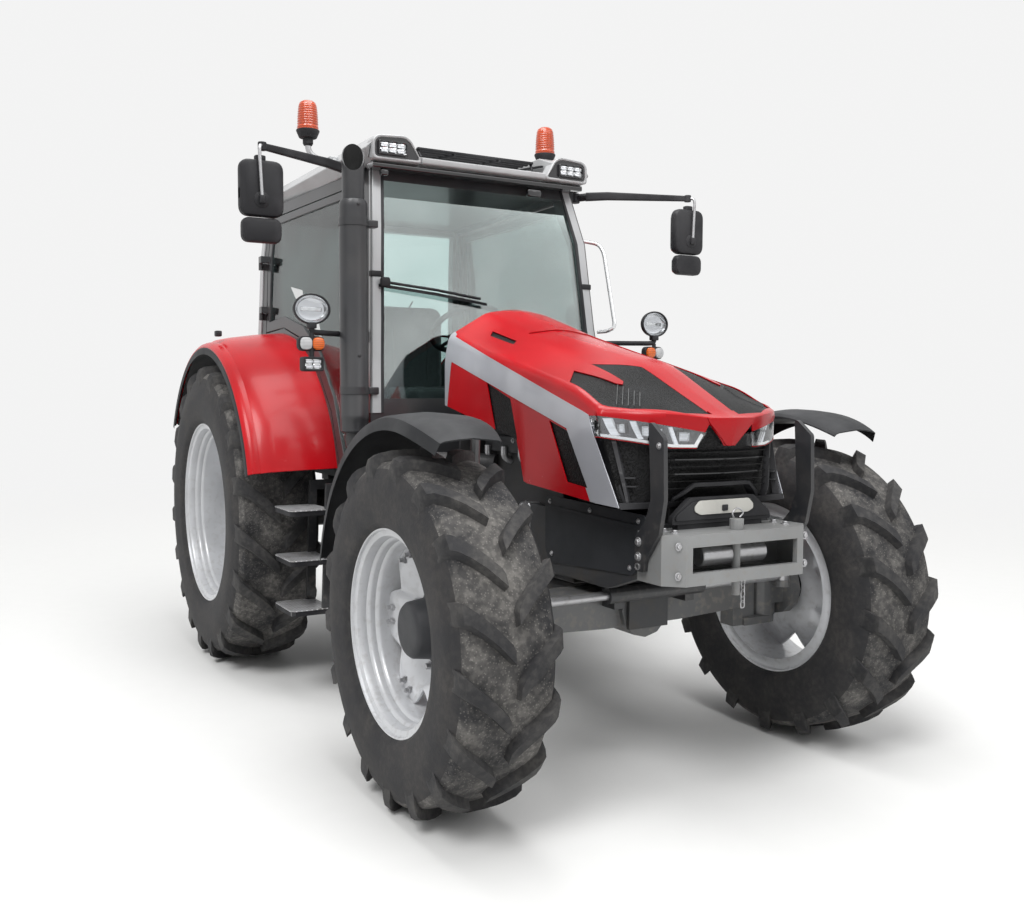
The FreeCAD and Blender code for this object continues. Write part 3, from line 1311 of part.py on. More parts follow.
def beacon(name, spot):
    """A rotating lamp on a short base."""
    base = rod(name + "_base", spot, S.beacon_base_height, S.beacon_base_radius)
    dome_foot = (spot[0], spot[1], spot[2] + S.beacon_base_height)
    dome = rod(name + "_dome", dome_foot, S.beacon_height, S.beacon_radius)
    return fuse(name, base, dome)


left_beacon = beacon("left_beacon", (S.beacon_left_x, S.beacon_left_out, S.roof_top))
right_beacon = beacon("right_beacon", (S.beacon_arm_root_x, -S.beacon_arm_out, S.beacon_arm_top_z))
beacon_stem = tube(
    "beacon_stem",
    [
        (S.beacon_arm_root_x, -S.roof_half_width - S.layout_fit, S.roof_eave),
        (S.beacon_arm_root_x, -S.beacon_arm_out, S.beacon_arm_rise),
        (S.beacon_arm_root_x, -S.beacon_arm_out, S.beacon_arm_top_z + S.beacon_arm_stem_radius / 2),
    ],
    S.beacon_arm_stem_radius,
)
roof_lamps = doc.addObject("Part::Compound", "roof_lamps")
roof_lamps.Links = [
    front_pod, mirror("front_pod_right", front_pod), rear_pod, mirror("rear_pod_right", rear_pod),
    left_beacon, fuse("right_beacon_on_stem", right_beacon, beacon_stem),
]
piece("roof_lamps", roof_lamps)

# Lamp brackets on the front pillars, and tail lamps on the mudguards.
S.add("side_lamp", x=370, out=975, work_z=1906, work_radius=88, work_depth=80, lamp_half=60)
S.add("side_lamp_low", turn_z=1750, drive_z=1655, turn_height=80, drive_height=70, depth=90)
S.add("side_lamp_arm", radius=17, z=1800, root_x=225, stand=10.5)
side_arm = tube(
    "side_arm",
    [
        (S.side_lamp_arm_root_x, S.cab_chest_front_half + S.side_lamp_arm_stand, S.side_lamp_arm_z),
        (S.side_lamp_arm_root_x, S.side_lamp_out - 2 * S.side_lamp_lamp_half, S.side_lamp_arm_z),
        (S.side_lamp_x, S.side_lamp_out, S.side_lamp_arm_z),
    ],
    S.side_lamp_arm_radius,
)
side_post = rod(
    "side_post", (S.side_lamp_x, S.side_lamp_out, S.side_lamp_low_drive_z),
    S.side_lamp_work_z - S.side_lamp_low_drive_z, S.side_lamp_arm_radius,
)
work_lamp = rod(
    "work_lamp", (S.side_lamp_x, S.side_lamp_out, S.side_lamp_work_z), S.side_lamp_work_depth / 2,
    S.side_lamp_work_radius, "X",
)
turn_lamp = block(
    "turn_lamp",
    (
        S.side_lamp_x, S.side_lamp_out - S.side_lamp_lamp_half,
        S.side_lamp_low_turn_z - S.side_lamp_low_turn_height / 2,
    ),
    (
        S.side_lamp_x + S.side_lamp_low_depth / 2, S.side_lamp_out + S.side_lamp_lamp_half,
        S.side_lamp_low_turn_z + S.side_lamp_low_turn_height / 2,
    ),
)
drive_lamp = block(
    "drive_lamp",
    (
        S.side_lamp_x, S.side_lamp_out - S.side_lamp_lamp_half,
        S.side_lamp_low_drive_z - S.side_lamp_low_drive_height / 2,
    ),
    (
        S.side_lamp_x + S.side_lamp_low_depth / 2, S.side_lamp_out + S.side_lamp_lamp_half,
        S.side_lamp_low_drive_z + S.side_lamp_low_drive_height / 2,
    ),
)
side_lamp = fuse("side_lamp", side_arm, side_post, work_lamp, turn_lamp, drive_lamp)
S.add_from(S.wheel_rear_track_half, "tail_lamp", out=50)
S.add("tail_lamp", half_width=70, height=90, depth=60, angle=126)
tail_spot = around(AXLE_REAR, S.rear_guard_rise_cab_radius, S.tail_lamp_angle)
tail_half = S.tail_lamp_height / 2
tail_block = block(
    "tail_block",
    (tail_spot[0] - S.tail_lamp_depth, S.tail_lamp_out - S.tail_lamp_half_width, tail_spot[1] - tail_half),
    (tail_spot[0] + S.tail_lamp_depth, S.tail_lamp_out + S.tail_lamp_half_width, tail_spot[1] + tail_half),
)
guard_form = ring(
    "guard_form", (REAR_AXLE, 0.0, AXLE_REAR_Z),
    [
        (S.rear_guard_rise_cab_radius + S.layout_fit, S.rear_guard_inner),
        (S.rear_guard_rise_mid_radius + S.layout_fit, guard_mid),
        (S.rear_guard_rise_edge_radius + S.layout_fit, S.rear_guard_edge),
        (S.rear_guard_rise_turn_radius, S.rear_guard_edge),
        (S.rear_guard_rise_turn_radius, S.rear_guard_inner),
    ],
    GUARD_FACETS, S.rear_guard_start, S.rear_guard_sweep,
)
tail_lamp = cut("tail_lamp", tail_block, guard_form)
body_lamps = doc.addObject("Part::Compound", "body_lamps")
body_lamps.Links = [
    side_lamp, mirror("side_lamp_right", side_lamp), tail_lamp, mirror("tail_lamp_right", tail_lamp),
]
piece("body_lamps", body_lamps)

# Mirrors on bent arms from the top corners of the cab.
S.add_from(CAB_TOP, "mirror", head_low=-455, head_top=-95)
S.add("mirror", head_x=330, head_depth=70, reach=MIRROR_REACH, head_half=98, arm_radius=17)
S.add_from(CAB_TOP, "mirror_arm", root_z=-40, knee_z=-15)
S.add("mirror_arm", root_x=20, stand=20.5, knee_x=130, knee_out=760)
mirror_head = block(
    "mirror_head",
    (S.mirror_head_x, S.mirror_reach - S.mirror_head_half, S.mirror_head_low),
    (S.mirror_head_x + S.mirror_head_depth, S.mirror_reach + S.mirror_head_half, S.mirror_head_top),
)
mirror_mid = S.mirror_head_x + S.mirror_head_depth / 2
mirror_arm = tube(
    "mirror_arm",
    [
        (S.mirror_arm_root_x, S.cab_crown_front_half + S.mirror_arm_stand, S.mirror_arm_root_z),
        (S.mirror_arm_knee_x, S.mirror_arm_knee_out, S.mirror_arm_knee_z),
        (mirror_mid, S.mirror_reach, S.mirror_arm_knee_z),
        (mirror_mid, S.mirror_reach, S.mirror_head_top - S.mirror_arm_radius),
    ],
    S.mirror_arm_radius,
)
piece("mirrors", both_sides("mirrors", fuse("mirror_left", mirror_head, mirror_arm)))

# Exhaust stack beside the right front pillar, fed through the bonnet's flank.
S.add_from(CAB_TOP, "exhaust", shield_top=-220, top=50)
S.add("exhaust", x=332, out=755, low=1340, shield_radius=67, pipe_radius=50, bore=44)
exhaust_shield = rod(
    "exhaust_shield", (S.exhaust_x, -S.exhaust_out, S.exhaust_low), S.exhaust_shield_top - S.exhaust_low,
    S.exhaust_shield_radius,
)
exhaust_pipe = rod(
    "exhaust_pipe", (S.exhaust_x, -S.exhaust_out, S.exhaust_low), S.exhaust_top - S.exhaust_low,
    S.exhaust_pipe_radius,
)
exhaust_bore = rod(
    "exhaust_bore", (S.exhaust_x, -S.exhaust_out, S.exhaust_shield_top), S.exhaust_top - S.exhaust_low,
    S.exhaust_bore,
)
feed_x = S.engine_rear + 2 * S.exhaust_shield_radius
feed_z = S.exhaust_low - 2 * S.exhaust_shield_radius
exhaust_feed = tube(
    "exhaust_feed",
    [
        (S.exhaust_x, -S.exhaust_out, S.exhaust_low + S.exhaust_pipe_radius),
        (S.exhaust_x, -S.exhaust_out, S.exhaust_low - S.exhaust_pipe_radius),
        (
            S.exhaust_x + 2 * S.exhaust_bore, -S.exhaust_out + S.exhaust_bore / 2,
            S.exhaust_low - 2 * S.exhaust_bore,
        ),
        (feed_x, -S.exhaust_out / 2, feed_z),
        (feed_x, -S.engine_half_width, feed_z),
    ],
    S.exhaust_bore,
)
piece(
    "exhaust_stack",
    cut("exhaust_stack", fuse("exhaust_whole", exhaust_shield, exhaust_pipe, exhaust_feed), exhaust_bore),
)

# Fuel tank, tool box and steps under the cab doors.
S.add_from(FRONT_AXLE, "tank", front=-900)
S.add("tank", rear=-60, inner=300, outer=760, low=470, top=1000, skirt=90)
tank_view = [
    (S.tank_inner, S.tank_low + S.tank_skirt), (S.tank_inner + S.tank_skirt, S.tank_low),
    (S.tank_outer - S.tank_skirt / 2, S.tank_low), (S.tank_outer, S.tank_low + S.tank_skirt),
    (S.tank_outer, S.tank_top), (S.tank_inner, S.tank_top),
]
tank_body = slab("tank_body", "YZ", S.tank_rear, S.tank_front, tank_view)
tank_feet = []
for name, along in (("rear", S.tank_rear + S.tank_skirt), ("front", S.tank_front - 2 * S.tank_skirt)):
    tank_feet.append(block(
        "tank_foot_" + name,
        (along, S.gearbox_half_width + S.layout_fit, S.gearbox_top - S.tank_skirt),
        (along + S.tank_skirt, S.tank_inner, S.gearbox_top - S.tank_skirt / 2),
    ))
fuel_tank = fuse("fuel_tank", tank_body, *tank_feet)
piece("fuel_tank", fuel_tank)
piece("tool_box", mirror("tool_box", fuel_tank))
S.add("step", rear=-180, front=90, inner=785, outer=990, wall=22, low=440, gap=245, count=3, hanger=24)
step_parts = []
for number in range(int(S.step_count)):
    height = S.step_low + number * S.step_gap
    step_parts.append(block(
        "step_%d" % number,
        (S.step_rear, S.step_inner, height),
        (S.step_front, S.step_outer - (S.step_hanger * number), height + S.step_wall),
    ))
for name, along in (("rear", S.step_rear), ("front", S.step_front - S.step_hanger)):
    step_parts.append(slab(
        "step_hanger_" + name, "YZ", along, along + S.step_hanger,
        [
            (S.step_inner, S.step_low), (S.step_inner + 2 * S.step_hanger, S.step_low),
            (S.step_inner + S.step_hanger, S.cab_sill_height - S.layout_fit),
            (S.step_inner - 5 * S.step_hanger, S.cab_sill_height - S.layout_fit),
            (S.step_inner - 5 * S.step_hanger, S.cab_sill_height - 2 * S.step_hanger),
            (S.step_inner - S.step_hanger / 2, S.cab_sill_height - 2 * S.step_hanger),
        ],
    ))
piece("cab_steps", both_sides("cab_steps", fuse("steps_left", *step_parts)))

# Rear hitch: drawbar below, top-link bracket above, and the lift's shaft across the axle housing.
S.add_from(REAR_AXLE, "drawbar", rear=-670, front=150)
S.add("drawbar", half_width=40, wall=32, height=430, hole_back=45, hole=16.5, hanger=30)
S.add("top_bracket", half_gap=36, wall=20, reach=115, low=830, bore=12.85, pin_back=75, pin_z=925)
S.add_from(REAR_AXLE, "lift_shaft", x=-240)
S.add("lift_shaft", z=1120, radius=38)
S.add_from(REAR_AXLE, "link_seat", x=-100)
S.add("link_seat", z=500, inner=225, wall=26)
S.add("low_link", length=LINK_LENGTH, wall=22, half_height=34)
S.add("low_link_ball", rise=50, out=412, half=22, radius=34)
S.add("low_link_ball", bore=14.35)
S.add("lift_rod", along=490, link_rise=20, radius=12, eye_radius=26, gap=9)
S.add("lift_arm", back=320, rise=30, half_height=32, wall=30)
link_in = S.link_seat_inner + S.link_seat_wall + S.layout_fit
rod_out = link_in + 3 * S.low_link_wall + S.lift_rod_gap + S.lift_rod_eye_radius / 2
arm_out = rod_out + S.lift_rod_eye_radius / 2 + S.layout_fit
shaft_end = arm_out - S.layout_fit
drawbar = block(
    "drawbar_bar",
    (S.drawbar_rear, -S.drawbar_half_width, S.drawbar_height),
    (S.drawbar_front, S.drawbar_half_width, S.drawbar_height + S.drawbar_wall),
)
hangers = []
for name, along in (("rear", S.axle_case_rear), ("front", S.axle_case_front - 2 * S.drawbar_hanger)):
    hangers.append(block(
        "drawbar_hanger_" + name,
        (along, -1.5 * S.drawbar_half_width, S.drawbar_height + S.drawbar_wall),
        (along + 2 * S.drawbar_hanger, 1.5 * S.drawbar_half_width, S.axle_case_low - S.layout_fit),
    ))
drawbar_hole = pin(
    "drawbar_hole",
    (S.drawbar_rear + S.drawbar_hole_back, 0.0, S.drawbar_height - S.drawbar_wall),
    3 * S.drawbar_wall, S.drawbar_hole,
)
bracket_plate = slab(
    "bracket_plate", "XZ", S.top_bracket_half_gap, S.top_bracket_half_gap + S.top_bracket_wall,
    [
        (S.axle_case_rear - S.layout_fit, S.top_bracket_low),
        (S.axle_case_rear - S.top_bracket_reach, S.top_bracket_pin_z - 2 * S.top_bracket_wall),
        (S.axle_case_rear - S.top_bracket_reach, S.top_bracket_pin_z + 2 * S.top_bracket_wall),
        (S.axle_case_rear - S.layout_fit, S.axle_case_top),
    ],
)
bracket_bore = pin(
    "bracket_bore",
    (S.axle_case_rear - S.top_bracket_pin_back, -4 * S.top_bracket_half_gap, S.top_bracket_pin_z),
    8 * S.top_bracket_half_gap, S.top_bracket_bore, "Y",
)
cradle_out = S.axle_case_half_width - 2 * S.lift_shaft_radius
shaft_cradle = block(
    "shaft_cradle",
    (S.lift_shaft_x - S.lift_shaft_radius, cradle_out - 2 * S.lift_shaft_radius, S.axle_case_top + S.layout_fit),
    (S.lift_shaft_x + S.lift_shaft_radius, cradle_out, S.lift_shaft_z),
)
lift_shaft = rod(
    "lift_shaft", (S.lift_shaft_x, -shaft_end, S.lift_shaft_z), 2 * shaft_end, S.lift_shaft_radius, "Y"
)
link_lug = block(
    "link_lug",
    (S.link_seat_x - S.drawbar_half_width, S.link_seat_inner, S.link_seat_z - S.drawbar_half_width),
    (S.link_seat_x + S.drawbar_half_width, S.link_seat_inner + S.link_seat_wall, S.axle_case_low - S.layout_fit),
)
hitch_frame = doc.addObject("Part::Compound", "hitch_frame")
hitch_frame.Links = [
    cut("drawbar", fuse("drawbar_solid", drawbar, *hangers), drawbar_hole),
    both_sides("top_bracket", cut("bracket_side", bracket_plate, bracket_bore)),
    fuse("lift_shaft_in_cradles", lift_shaft, shaft_cradle, mirror("shaft_cradle_right", shaft_cradle)),
    both_sides("link_lugs", link_lug),
]
piece("hitch_frame", hitch_frame)

# Three-point lift: lower links with ball ends, arms on the lift shaft and rods between them.
rod_foot_x = S.link_seat_x - S.lift_rod_along
rod_foot_z = S.link_seat_z + S.lift_rod_link_rise
ball_x = S.link_seat_x - S.low_link_length
ball_z = S.link_seat_z + S.low_link_ball_rise
link_bar = folded(
    "link_bar", "YZ",
    [
        (offset, [
            (out, height - S.low_link_half_height), (out + S.low_link_wall, height - S.low_link_half_height),
            (out + S.low_link_wall, height + S.low_link_half_height), (out, height + S.low_link_half_height),
        ])
        for offset, out, height in (
            (S.link_seat_x + S.low_link_half_height, link_in, S.link_seat_z),
            (rod_foot_x, link_in + S.low_link_wall * 2, rod_foot_z),
            (ball_x, S.low_link_ball_out - S.low_link_wall / 2, ball_z),
        )
    ],
)
ball_ring = rod(
    "ball_ring", (ball_x, S.low_link_ball_out - S.low_link_ball_half, ball_z), 2 * S.low_link_ball_half,
    S.low_link_ball_radius, "Y", 16,
)
ball_bore = pin(
    "ball_bore", (ball_x, S.low_link_ball_out - 2 * S.low_link_ball_half, ball_z), 4 * S.low_link_ball_half,
    S.low_link_ball_bore, "Y",
)
rod_boss = rod(
    "rod_boss", (rod_foot_x, link_in + 2 * S.low_link_wall, rod_foot_z),
    S.low_link_wall + S.lift_rod_gap - S.layout_fit, S.lift_rod_eye_radius * 0.8, "Y",
)
lower_link = cut("lower_link", fuse("lower_link_solid", link_bar, ball_ring, rod_boss), ball_bore)
piece("lower_links", both_sides("lower_links", lower_link))
arm_tip_x = S.lift_shaft_x - S.lift_arm_back
arm_tip_z = S.lift_shaft_z + S.lift_arm_rise
lift_arm = slab(
    "lift_arm_bar", "XZ", arm_out, arm_out + S.lift_arm_wall,
    [
        (S.lift_shaft_x + S.lift_arm_half_height, S.lift_shaft_z - S.lift_arm_half_height),
        (S.lift_shaft_x + S.lift_arm_half_height, S.lift_shaft_z + S.lift_arm_half_height),
        (arm_tip_x - S.lift_arm_half_height, arm_tip_z + S.lift_arm_half_height),
        (arm_tip_x - S.lift_arm_half_height, arm_tip_z - S.lift_arm_half_height),
    ],
)
piece("lift_arms", both_sides("lift_arms", lift_arm))
lift_rod = tube(
    "lift_rod", [(arm_tip_x, rod_out, arm_tip_z), (rod_foot_x, rod_out, rod_foot_z)], S.lift_rod_radius
)
rod_eyes = [
    rod("rod_eye_" + name, (along, rod_out - S.lift_rod_eye_radius / 2, height), S.lift_rod_eye_radius,
        S.lift_rod_eye_radius, "Y")
    for name, along, height in (("high", arm_tip_x, arm_tip_z), ("low", rod_foot_x, rod_foot_z))
]
piece("lift_rods", both_sides("lift_rods", fuse("lift_rod_left", lift_rod, *rod_eyes)))

# Seat and controls inside the cab.
S.add("seat", x=-450, base_half=190, base_top=1440, pan_half=255, pan_depth=500, pad=120)
S.add("seat_back", height=620, pad=110)
cab_floor_z = S.cab_sill_height + S.cab_wall_floor
seat_box = block(
    "seat_box",
    (S.seat_x - S.seat_base_half, -S.seat_base_half, cab_floor_z + S.layout_fit),
    (S.seat_x + S.seat_base_half, S.seat_base_half, S.seat_base_top),
)
seat_pan = block(
    "seat_pan",
    (S.seat_x - S.seat_pan_depth / 2, -S.seat_pan_half, S.seat_base_top - S.low_link_wall),
    (S.seat_x + S.seat_pan_depth / 2, S.seat_pan_half, S.seat_base_top),
)
piece("seat_base", fuse("seat_base", seat_box, seat_pan))
seat_cushion = block(
    "seat_cushion",
    (S.seat_x - S.seat_pan_depth / 2, -S.seat_pan_half, S.seat_base_top + S.layout_fit),
    (S.seat_x + S.seat_pan_depth / 2, S.seat_pan_half, S.seat_base_top + S.seat_pad),
)
seat_back = block(
    "seat_back",
    (S.seat_x - S.seat_pan_depth / 2 - S.seat_back_pad, -S.seat_pan_half, S.seat_base_top),
    (S.seat_x - S.seat_pan_depth / 2 - S.layout_fit, S.seat_pan_half, S.seat_base_top + S.seat_back_height),
)
seat_pads = doc.addObject("Part::Compound", "seat_pads")
seat_pads.Links = [seat_cushion, seat_back]
piece("seat_pads", seat_pads)
S.add("column", x=190, half_width=130, depth=110, top=1800)
S.add("steer_wheel", x=20, z=1865, radius=205, rim=15, tilt=-35, hub=45)
S.add_from(S.rear_guard_inner, "console", out=-185)
S.add("console", x=-430, half_width=95, half_length=240, top=1700, low=1560, foot=70)
column = block(
    "column",
    (S.column_x - S.column_depth, -S.column_half_width, cab_floor_z + S.layout_fit),
    (S.column_x, S.column_half_width, S.column_top),
)
wheel_ring = ring(
    "wheel_ring", (0.0, 0.0, 0.0),
    [
        (S.steer_wheel_radius, -S.steer_wheel_rim), (S.steer_wheel_radius + S.steer_wheel_rim, 0.0),
        (S.steer_wheel_radius, S.steer_wheel_rim), (S.steer_wheel_radius - S.steer_wheel_rim, 0.0),
    ],
    16,
)
wheel_bar = block(
    "wheel_bar",
    (-S.steer_wheel_radius, -S.steer_wheel_rim, -S.steer_wheel_rim),
    (S.steer_wheel_radius, S.steer_wheel_rim, S.steer_wheel_rim),
)
wheel_stem = pin(
    "wheel_stem", (0.0, 0.0, 0.0), S.steer_wheel_radius, S.steer_wheel_hub, "Y"
)
steering_wheel = fuse("steering_wheel", wheel_ring, wheel_bar, wheel_stem)
steering_wheel.Placement = FreeCAD.Placement(
    Vector(float(S.steer_wheel_x), 0, float(S.steer_wheel_z)),
    FreeCAD.Rotation(ALONG_Y, float(S.steer_wheel_tilt)).multiply(FreeCAD.Rotation(ALONG_X, -90)),
)
for letter, value in zip("xz", (S.steer_wheel_x, S.steer_wheel_z)):
    bind(steering_wheel, "Placement.Base." + letter, value)
console_top = block(
    "console_top",
    (S.console_x - S.console_half_length, -S.console_out - S.console_half_width, S.console_low),
    (S.console_x + S.console_half_length, S.console_half_width - S.console_out, S.console_top),
)
console_foot = block(
    "console_foot",
    (S.console_x - S.console_foot, -S.console_out - S.console_foot, cab_floor_z + S.layout_fit),
    (S.console_x + S.console_foot, S.console_foot - S.console_out, S.console_low),
)
cab_controls = doc.addObject("Part::Compound", "cab_controls")
cab_controls.Links = [
    fuse("column_and_wheel", column, steering_wheel), fuse("console", console_top, console_foot),
]
piece("cab_controls", cab_controls)


doc.recompute()
failed = [thing.Name for thing in doc.Objects if "Invalid" in thing.State or "Error" in thing.State]
for thing in PIECES:
    if thing.Shape.isNull() or not thing.Shape.isValid():
        failed.append(thing.Label)
if failed:
    raise RuntimeError("failed: " + ", ".join(failed))
os.makedirs("parts", exist_ok=True)
for thing in PIECES:
    thing.Shape.exportStep("parts/%s.step" % thing.Label)
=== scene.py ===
"""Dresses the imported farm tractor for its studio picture.

Sizes are in millimetres and angles in degrees. X points forward, Y to the driver's left and Z up, and the
origin lies on the ground under the middle of the tractor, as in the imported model.
"""

import logging
import math
from dataclasses import dataclass
from enum import Enum
from typing import Callable, Sequence

import bmesh
import bpy
from mathutils import Matrix, Vector

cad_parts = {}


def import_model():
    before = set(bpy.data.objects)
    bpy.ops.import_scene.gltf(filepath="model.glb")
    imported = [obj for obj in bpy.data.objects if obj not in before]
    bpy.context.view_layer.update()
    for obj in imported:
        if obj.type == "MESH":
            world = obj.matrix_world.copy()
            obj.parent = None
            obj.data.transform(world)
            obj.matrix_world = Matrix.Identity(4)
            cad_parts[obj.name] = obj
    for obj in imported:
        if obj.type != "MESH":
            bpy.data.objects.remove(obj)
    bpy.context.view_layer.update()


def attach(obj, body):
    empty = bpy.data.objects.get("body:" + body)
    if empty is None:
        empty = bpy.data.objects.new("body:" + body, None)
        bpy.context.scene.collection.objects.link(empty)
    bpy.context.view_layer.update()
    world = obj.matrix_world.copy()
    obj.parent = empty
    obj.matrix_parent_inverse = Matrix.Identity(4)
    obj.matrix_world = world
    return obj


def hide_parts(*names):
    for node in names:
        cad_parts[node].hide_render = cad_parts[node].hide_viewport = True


LOG = logging.getLogger("tractor")
MM = 0.001
SMOOTH_BELOW = math.radians(38)
BEVEL_ABOVE = math.radians(28)
SHEET_BEVEL_ABOVE = math.radians(50)
SHEET_RIM = 1.2
MIX_SHARE, MIX_BASE, MIX_TOP, MIX_COLOUR = 0, 6, 7, 2
BACKDROP = (0.9, 0.9, 0.9)
Colour = tuple[float, float, float]
Point = Sequence[float]
Ring = list[Vector]


class Axis(Enum):
    """A direction of the tractor's frame."""

    X = Vector((1, 0, 0))
    Y = Vector((0, 1, 0))
    Z = Vector((0, 0, 1))


class Seen(Enum):
    """The side from which an outline is drawn on a surface."""

    SIDE = Axis.Y
    TOP = Axis.Z
    FRONT = Axis.X


def blend(low: float, high: float, part: float) -> float:
    """A value part of the way from low to high."""
    return low + (high - low) * part


def along_table(table: Sequence[tuple[float, float]], spot: float) -> float:
    """Read a table of (place, value) rows at a place between its rows.

    Args:
        table: Rows in rising order of place.
        spot: The place to read.

    Returns:
        The value on the straight line between the two nearest rows.
    """
    if spot <= table[0][0]:
        return table[0][1]
    for (near, low), (far, high) in zip(table, table[1:]):
        if spot <= far:
            return blend(low, high, (spot - near) / (far - near))
    return table[-1][1]


def soft_table(table: Sequence[tuple[float, float]], spot: float, reach: float) -> float:
    """Read a table with its corners eased over a distance on each side.

    Args:
        table: Rows of (place, value) in rising order of place.
        spot: The place to read.
        reach: How far the easing reaches to each side.

    Returns:
        The mean of readings spread over that distance.
    """
    spread = (-1.0, -0.6, -0.3, 0.0, 0.3, 0.6, 1.0)
    return sum(along_table(table, spot + reach * step) for step in spread) / len(spread)


class Shade:
    """One node material, built a step at a time round its main shader."""

    def __init__(self, name: str) -> None:
        """Start a material.

        Args:
            name: The finish's name.
        """
        self.material = bpy.data.materials.new(name)
        self.material.use_nodes = True
        self.tree = self.material.node_tree
        self.shader = self.tree.nodes["Principled BSDF"]
        self.place = self.node("ShaderNodeTexCoord").outputs["Object"]

    def node(self, kind: str, **settings: object) -> bpy.types.Node:
        """Add a node.

        Args:
            kind: The node's type.
            **settings: Properties to set on it.

        Returns:
            The new node.
        """
        made = self.tree.nodes.new(kind)
        for key, value in settings.items():
            setattr(made, key, value)
        return made

    def feed(self, socket: bpy.types.NodeSocket, value: object) -> None:
        """Link a socket, or set it where the value is a number or a colour.

        Args:
            socket: The input to fill.
            value: Another node's output, a number or a colour.
        """
        if isinstance(value, bpy.types.NodeSocket):
            self.tree.links.new(value, socket)
        elif isinstance(value, tuple):
            socket.default_value = (*value, 1.0) if len(value) == 3 else value
        else:
            socket.default_value = value

    def noise(self, scale: float, detail: float = 4.0, stretch: Point = (1, 1, 1)) -> bpy.types.NodeSocket:
        """Cloudy noise from 0 to 1.

        Args:
            scale: Clouds to the metre.
            detail: Octaves of finer noise.
            stretch: How much denser the noise is along each axis.

        Returns:
            The noise's value.
        """
        spread = self.node("ShaderNodeMapping")
        self.feed(spread.inputs["Vector"], self.place)
        spread.inputs["Scale"].default_value = stretch
        made = self.node("ShaderNodeTexNoise")
        self.feed(made.inputs["Vector"], spread.outputs["Vector"])
        made.inputs["Scale"].default_value = scale
        made.inputs["Detail"].default_value = detail
        return made.outputs["Fac"]

    def cells(self, scale: float) -> bpy.types.NodeSocket:
        """Pebble-like cells, as the distance from each one's middle.

        Args:
            scale: Cells to the metre.

        Returns:
            The distance.
        """
        made = self.node("ShaderNodeTexVoronoi", feature="F1")
        self.feed(made.inputs["Vector"], self.place)
        made.inputs["Scale"].default_value = scale
        return made.outputs["Distance"]

    def waves(self, scale: float, along: str = "X", slant: Point = (0, 0, 0)) -> bpy.types.NodeSocket:
        """Even bands along an axis.

        Args:
            scale: Bands to the metre, roughly.
            along: The axis they follow each other on.
            slant: Turn of the bands about each axis, in degrees.

        Returns:
            A value from 0 to 1.
        """
        spread = self.node("ShaderNodeMapping")
        self.feed(spread.inputs["Vector"], self.place)
        spread.inputs["Rotation"].default_value = [math.radians(turn) for turn in slant]
        made = self.node("ShaderNodeTexWave", bands_direction=along)
        self.feed(made.inputs["Vector"], spread.outputs["Vector"])
        made.inputs["Scale"].default_value = scale
        return made.outputs["Fac"]

    def sharpen(self, value: object, low: float, high: float) -> bpy.types.NodeSocket:
        """Stretch a span of values to 0 to 1.

        Args:
            value: What to stretch.
            low: What becomes 0.
            high: What becomes 1.

        Returns:
            The stretched value.
        """
        made = self.node("ShaderNodeMapRange")
        self.feed(made.inputs["Value"], value)
        made.inputs["From Min"].default_value = low
        made.inputs["From Max"].default_value = high
        return made.outputs["Result"]

    def sums(self, how: str, first: object, second: object) -> bpy.types.NodeSocket:
        """One step of arithmetic.

        Args:
            how: The operation's name.
            first: Its first value.
            second: Its second value.

        Returns:
            The result.
        """
        made = self.node("ShaderNodeMath", operation=how, use_clamp=True)
        self.feed(made.inputs[0], first)
        self.feed(made.inputs[1], second)
        return made.outputs[0]

    def mix(self, share: object, base: object, top: object) -> bpy.types.NodeSocket:
        """Lay one colour over another.

        Args:
            share: How much of the top colour shows.
            base: The colour underneath.
            top: The colour laid over it.

        Returns:
            The mixed colour.
        """
        made = self.node("ShaderNodeMix", data_type="RGBA")
        self.feed(made.inputs[MIX_SHARE], share)
        self.feed(made.inputs[MIX_BASE], base)
        self.feed(made.inputs[MIX_TOP], top)
        return made.outputs[MIX_COLOUR]

    def height(self) -> bpy.types.NodeSocket:
        """Height above the ground in metres.

        Returns:
            The height.
        """
        made = self.node("ShaderNodeSeparateXYZ")
        self.feed(made.inputs[0], self.place)
        return made.outputs[2]

    def low_down(self, top: float, fade: float) -> bpy.types.NodeSocket:
        """A share that is 1 near the ground and fades out with height.

        Args:
            top: Height in metres at which it has gone.
            fade: Metres over which it fades.

        Returns:
            The share.
        """
        return self.sharpen(self.height(), top, top - fade)

    def bump(self, height: object, strength: float, distance: float) -> None:
        """Raise the surface by a height.

        Args:
            height: The pattern.
            strength: How strongly it shows.
            distance: Its depth in metres.
        """
        made = self.node("ShaderNodeBump")
        self.feed(made.inputs["Height"], height)
        made.inputs["Strength"].default_value = strength
        made.inputs["Distance"].default_value = distance
        self.feed(self.shader.inputs["Normal"], made.outputs["Normal"])

    def finish(self, colour: object, roughness: object, **others: object) -> bpy.types.Material:
        """Give the shader its colour, roughness and plain values.

        Args:
            colour: Base colour.
            roughness: Roughness.
            **others: More inputs, named with _ for a space.

        Returns:
            The material.
        """
        self.feed(self.shader.inputs["Base Color"], colour)
        self.feed(self.shader.inputs["Roughness"], roughness)
        for key, value in others.items():
            self.feed(self.shader.inputs[key.replace("_", " ")], value)
        return self.material


class Finish:
    """A surface finish, made once and shared by the pieces that have it."""

    name: str

    def material(self) -> bpy.types.Material:
        """The finish's material, made at its first use."""
        return bpy.data.materials.get(self.name) or self.mixed()

    def mixed(self) -> bpy.types.Material:
        """Mix the material. Each finish has its own."""
        raise NotImplementedError(self.name)


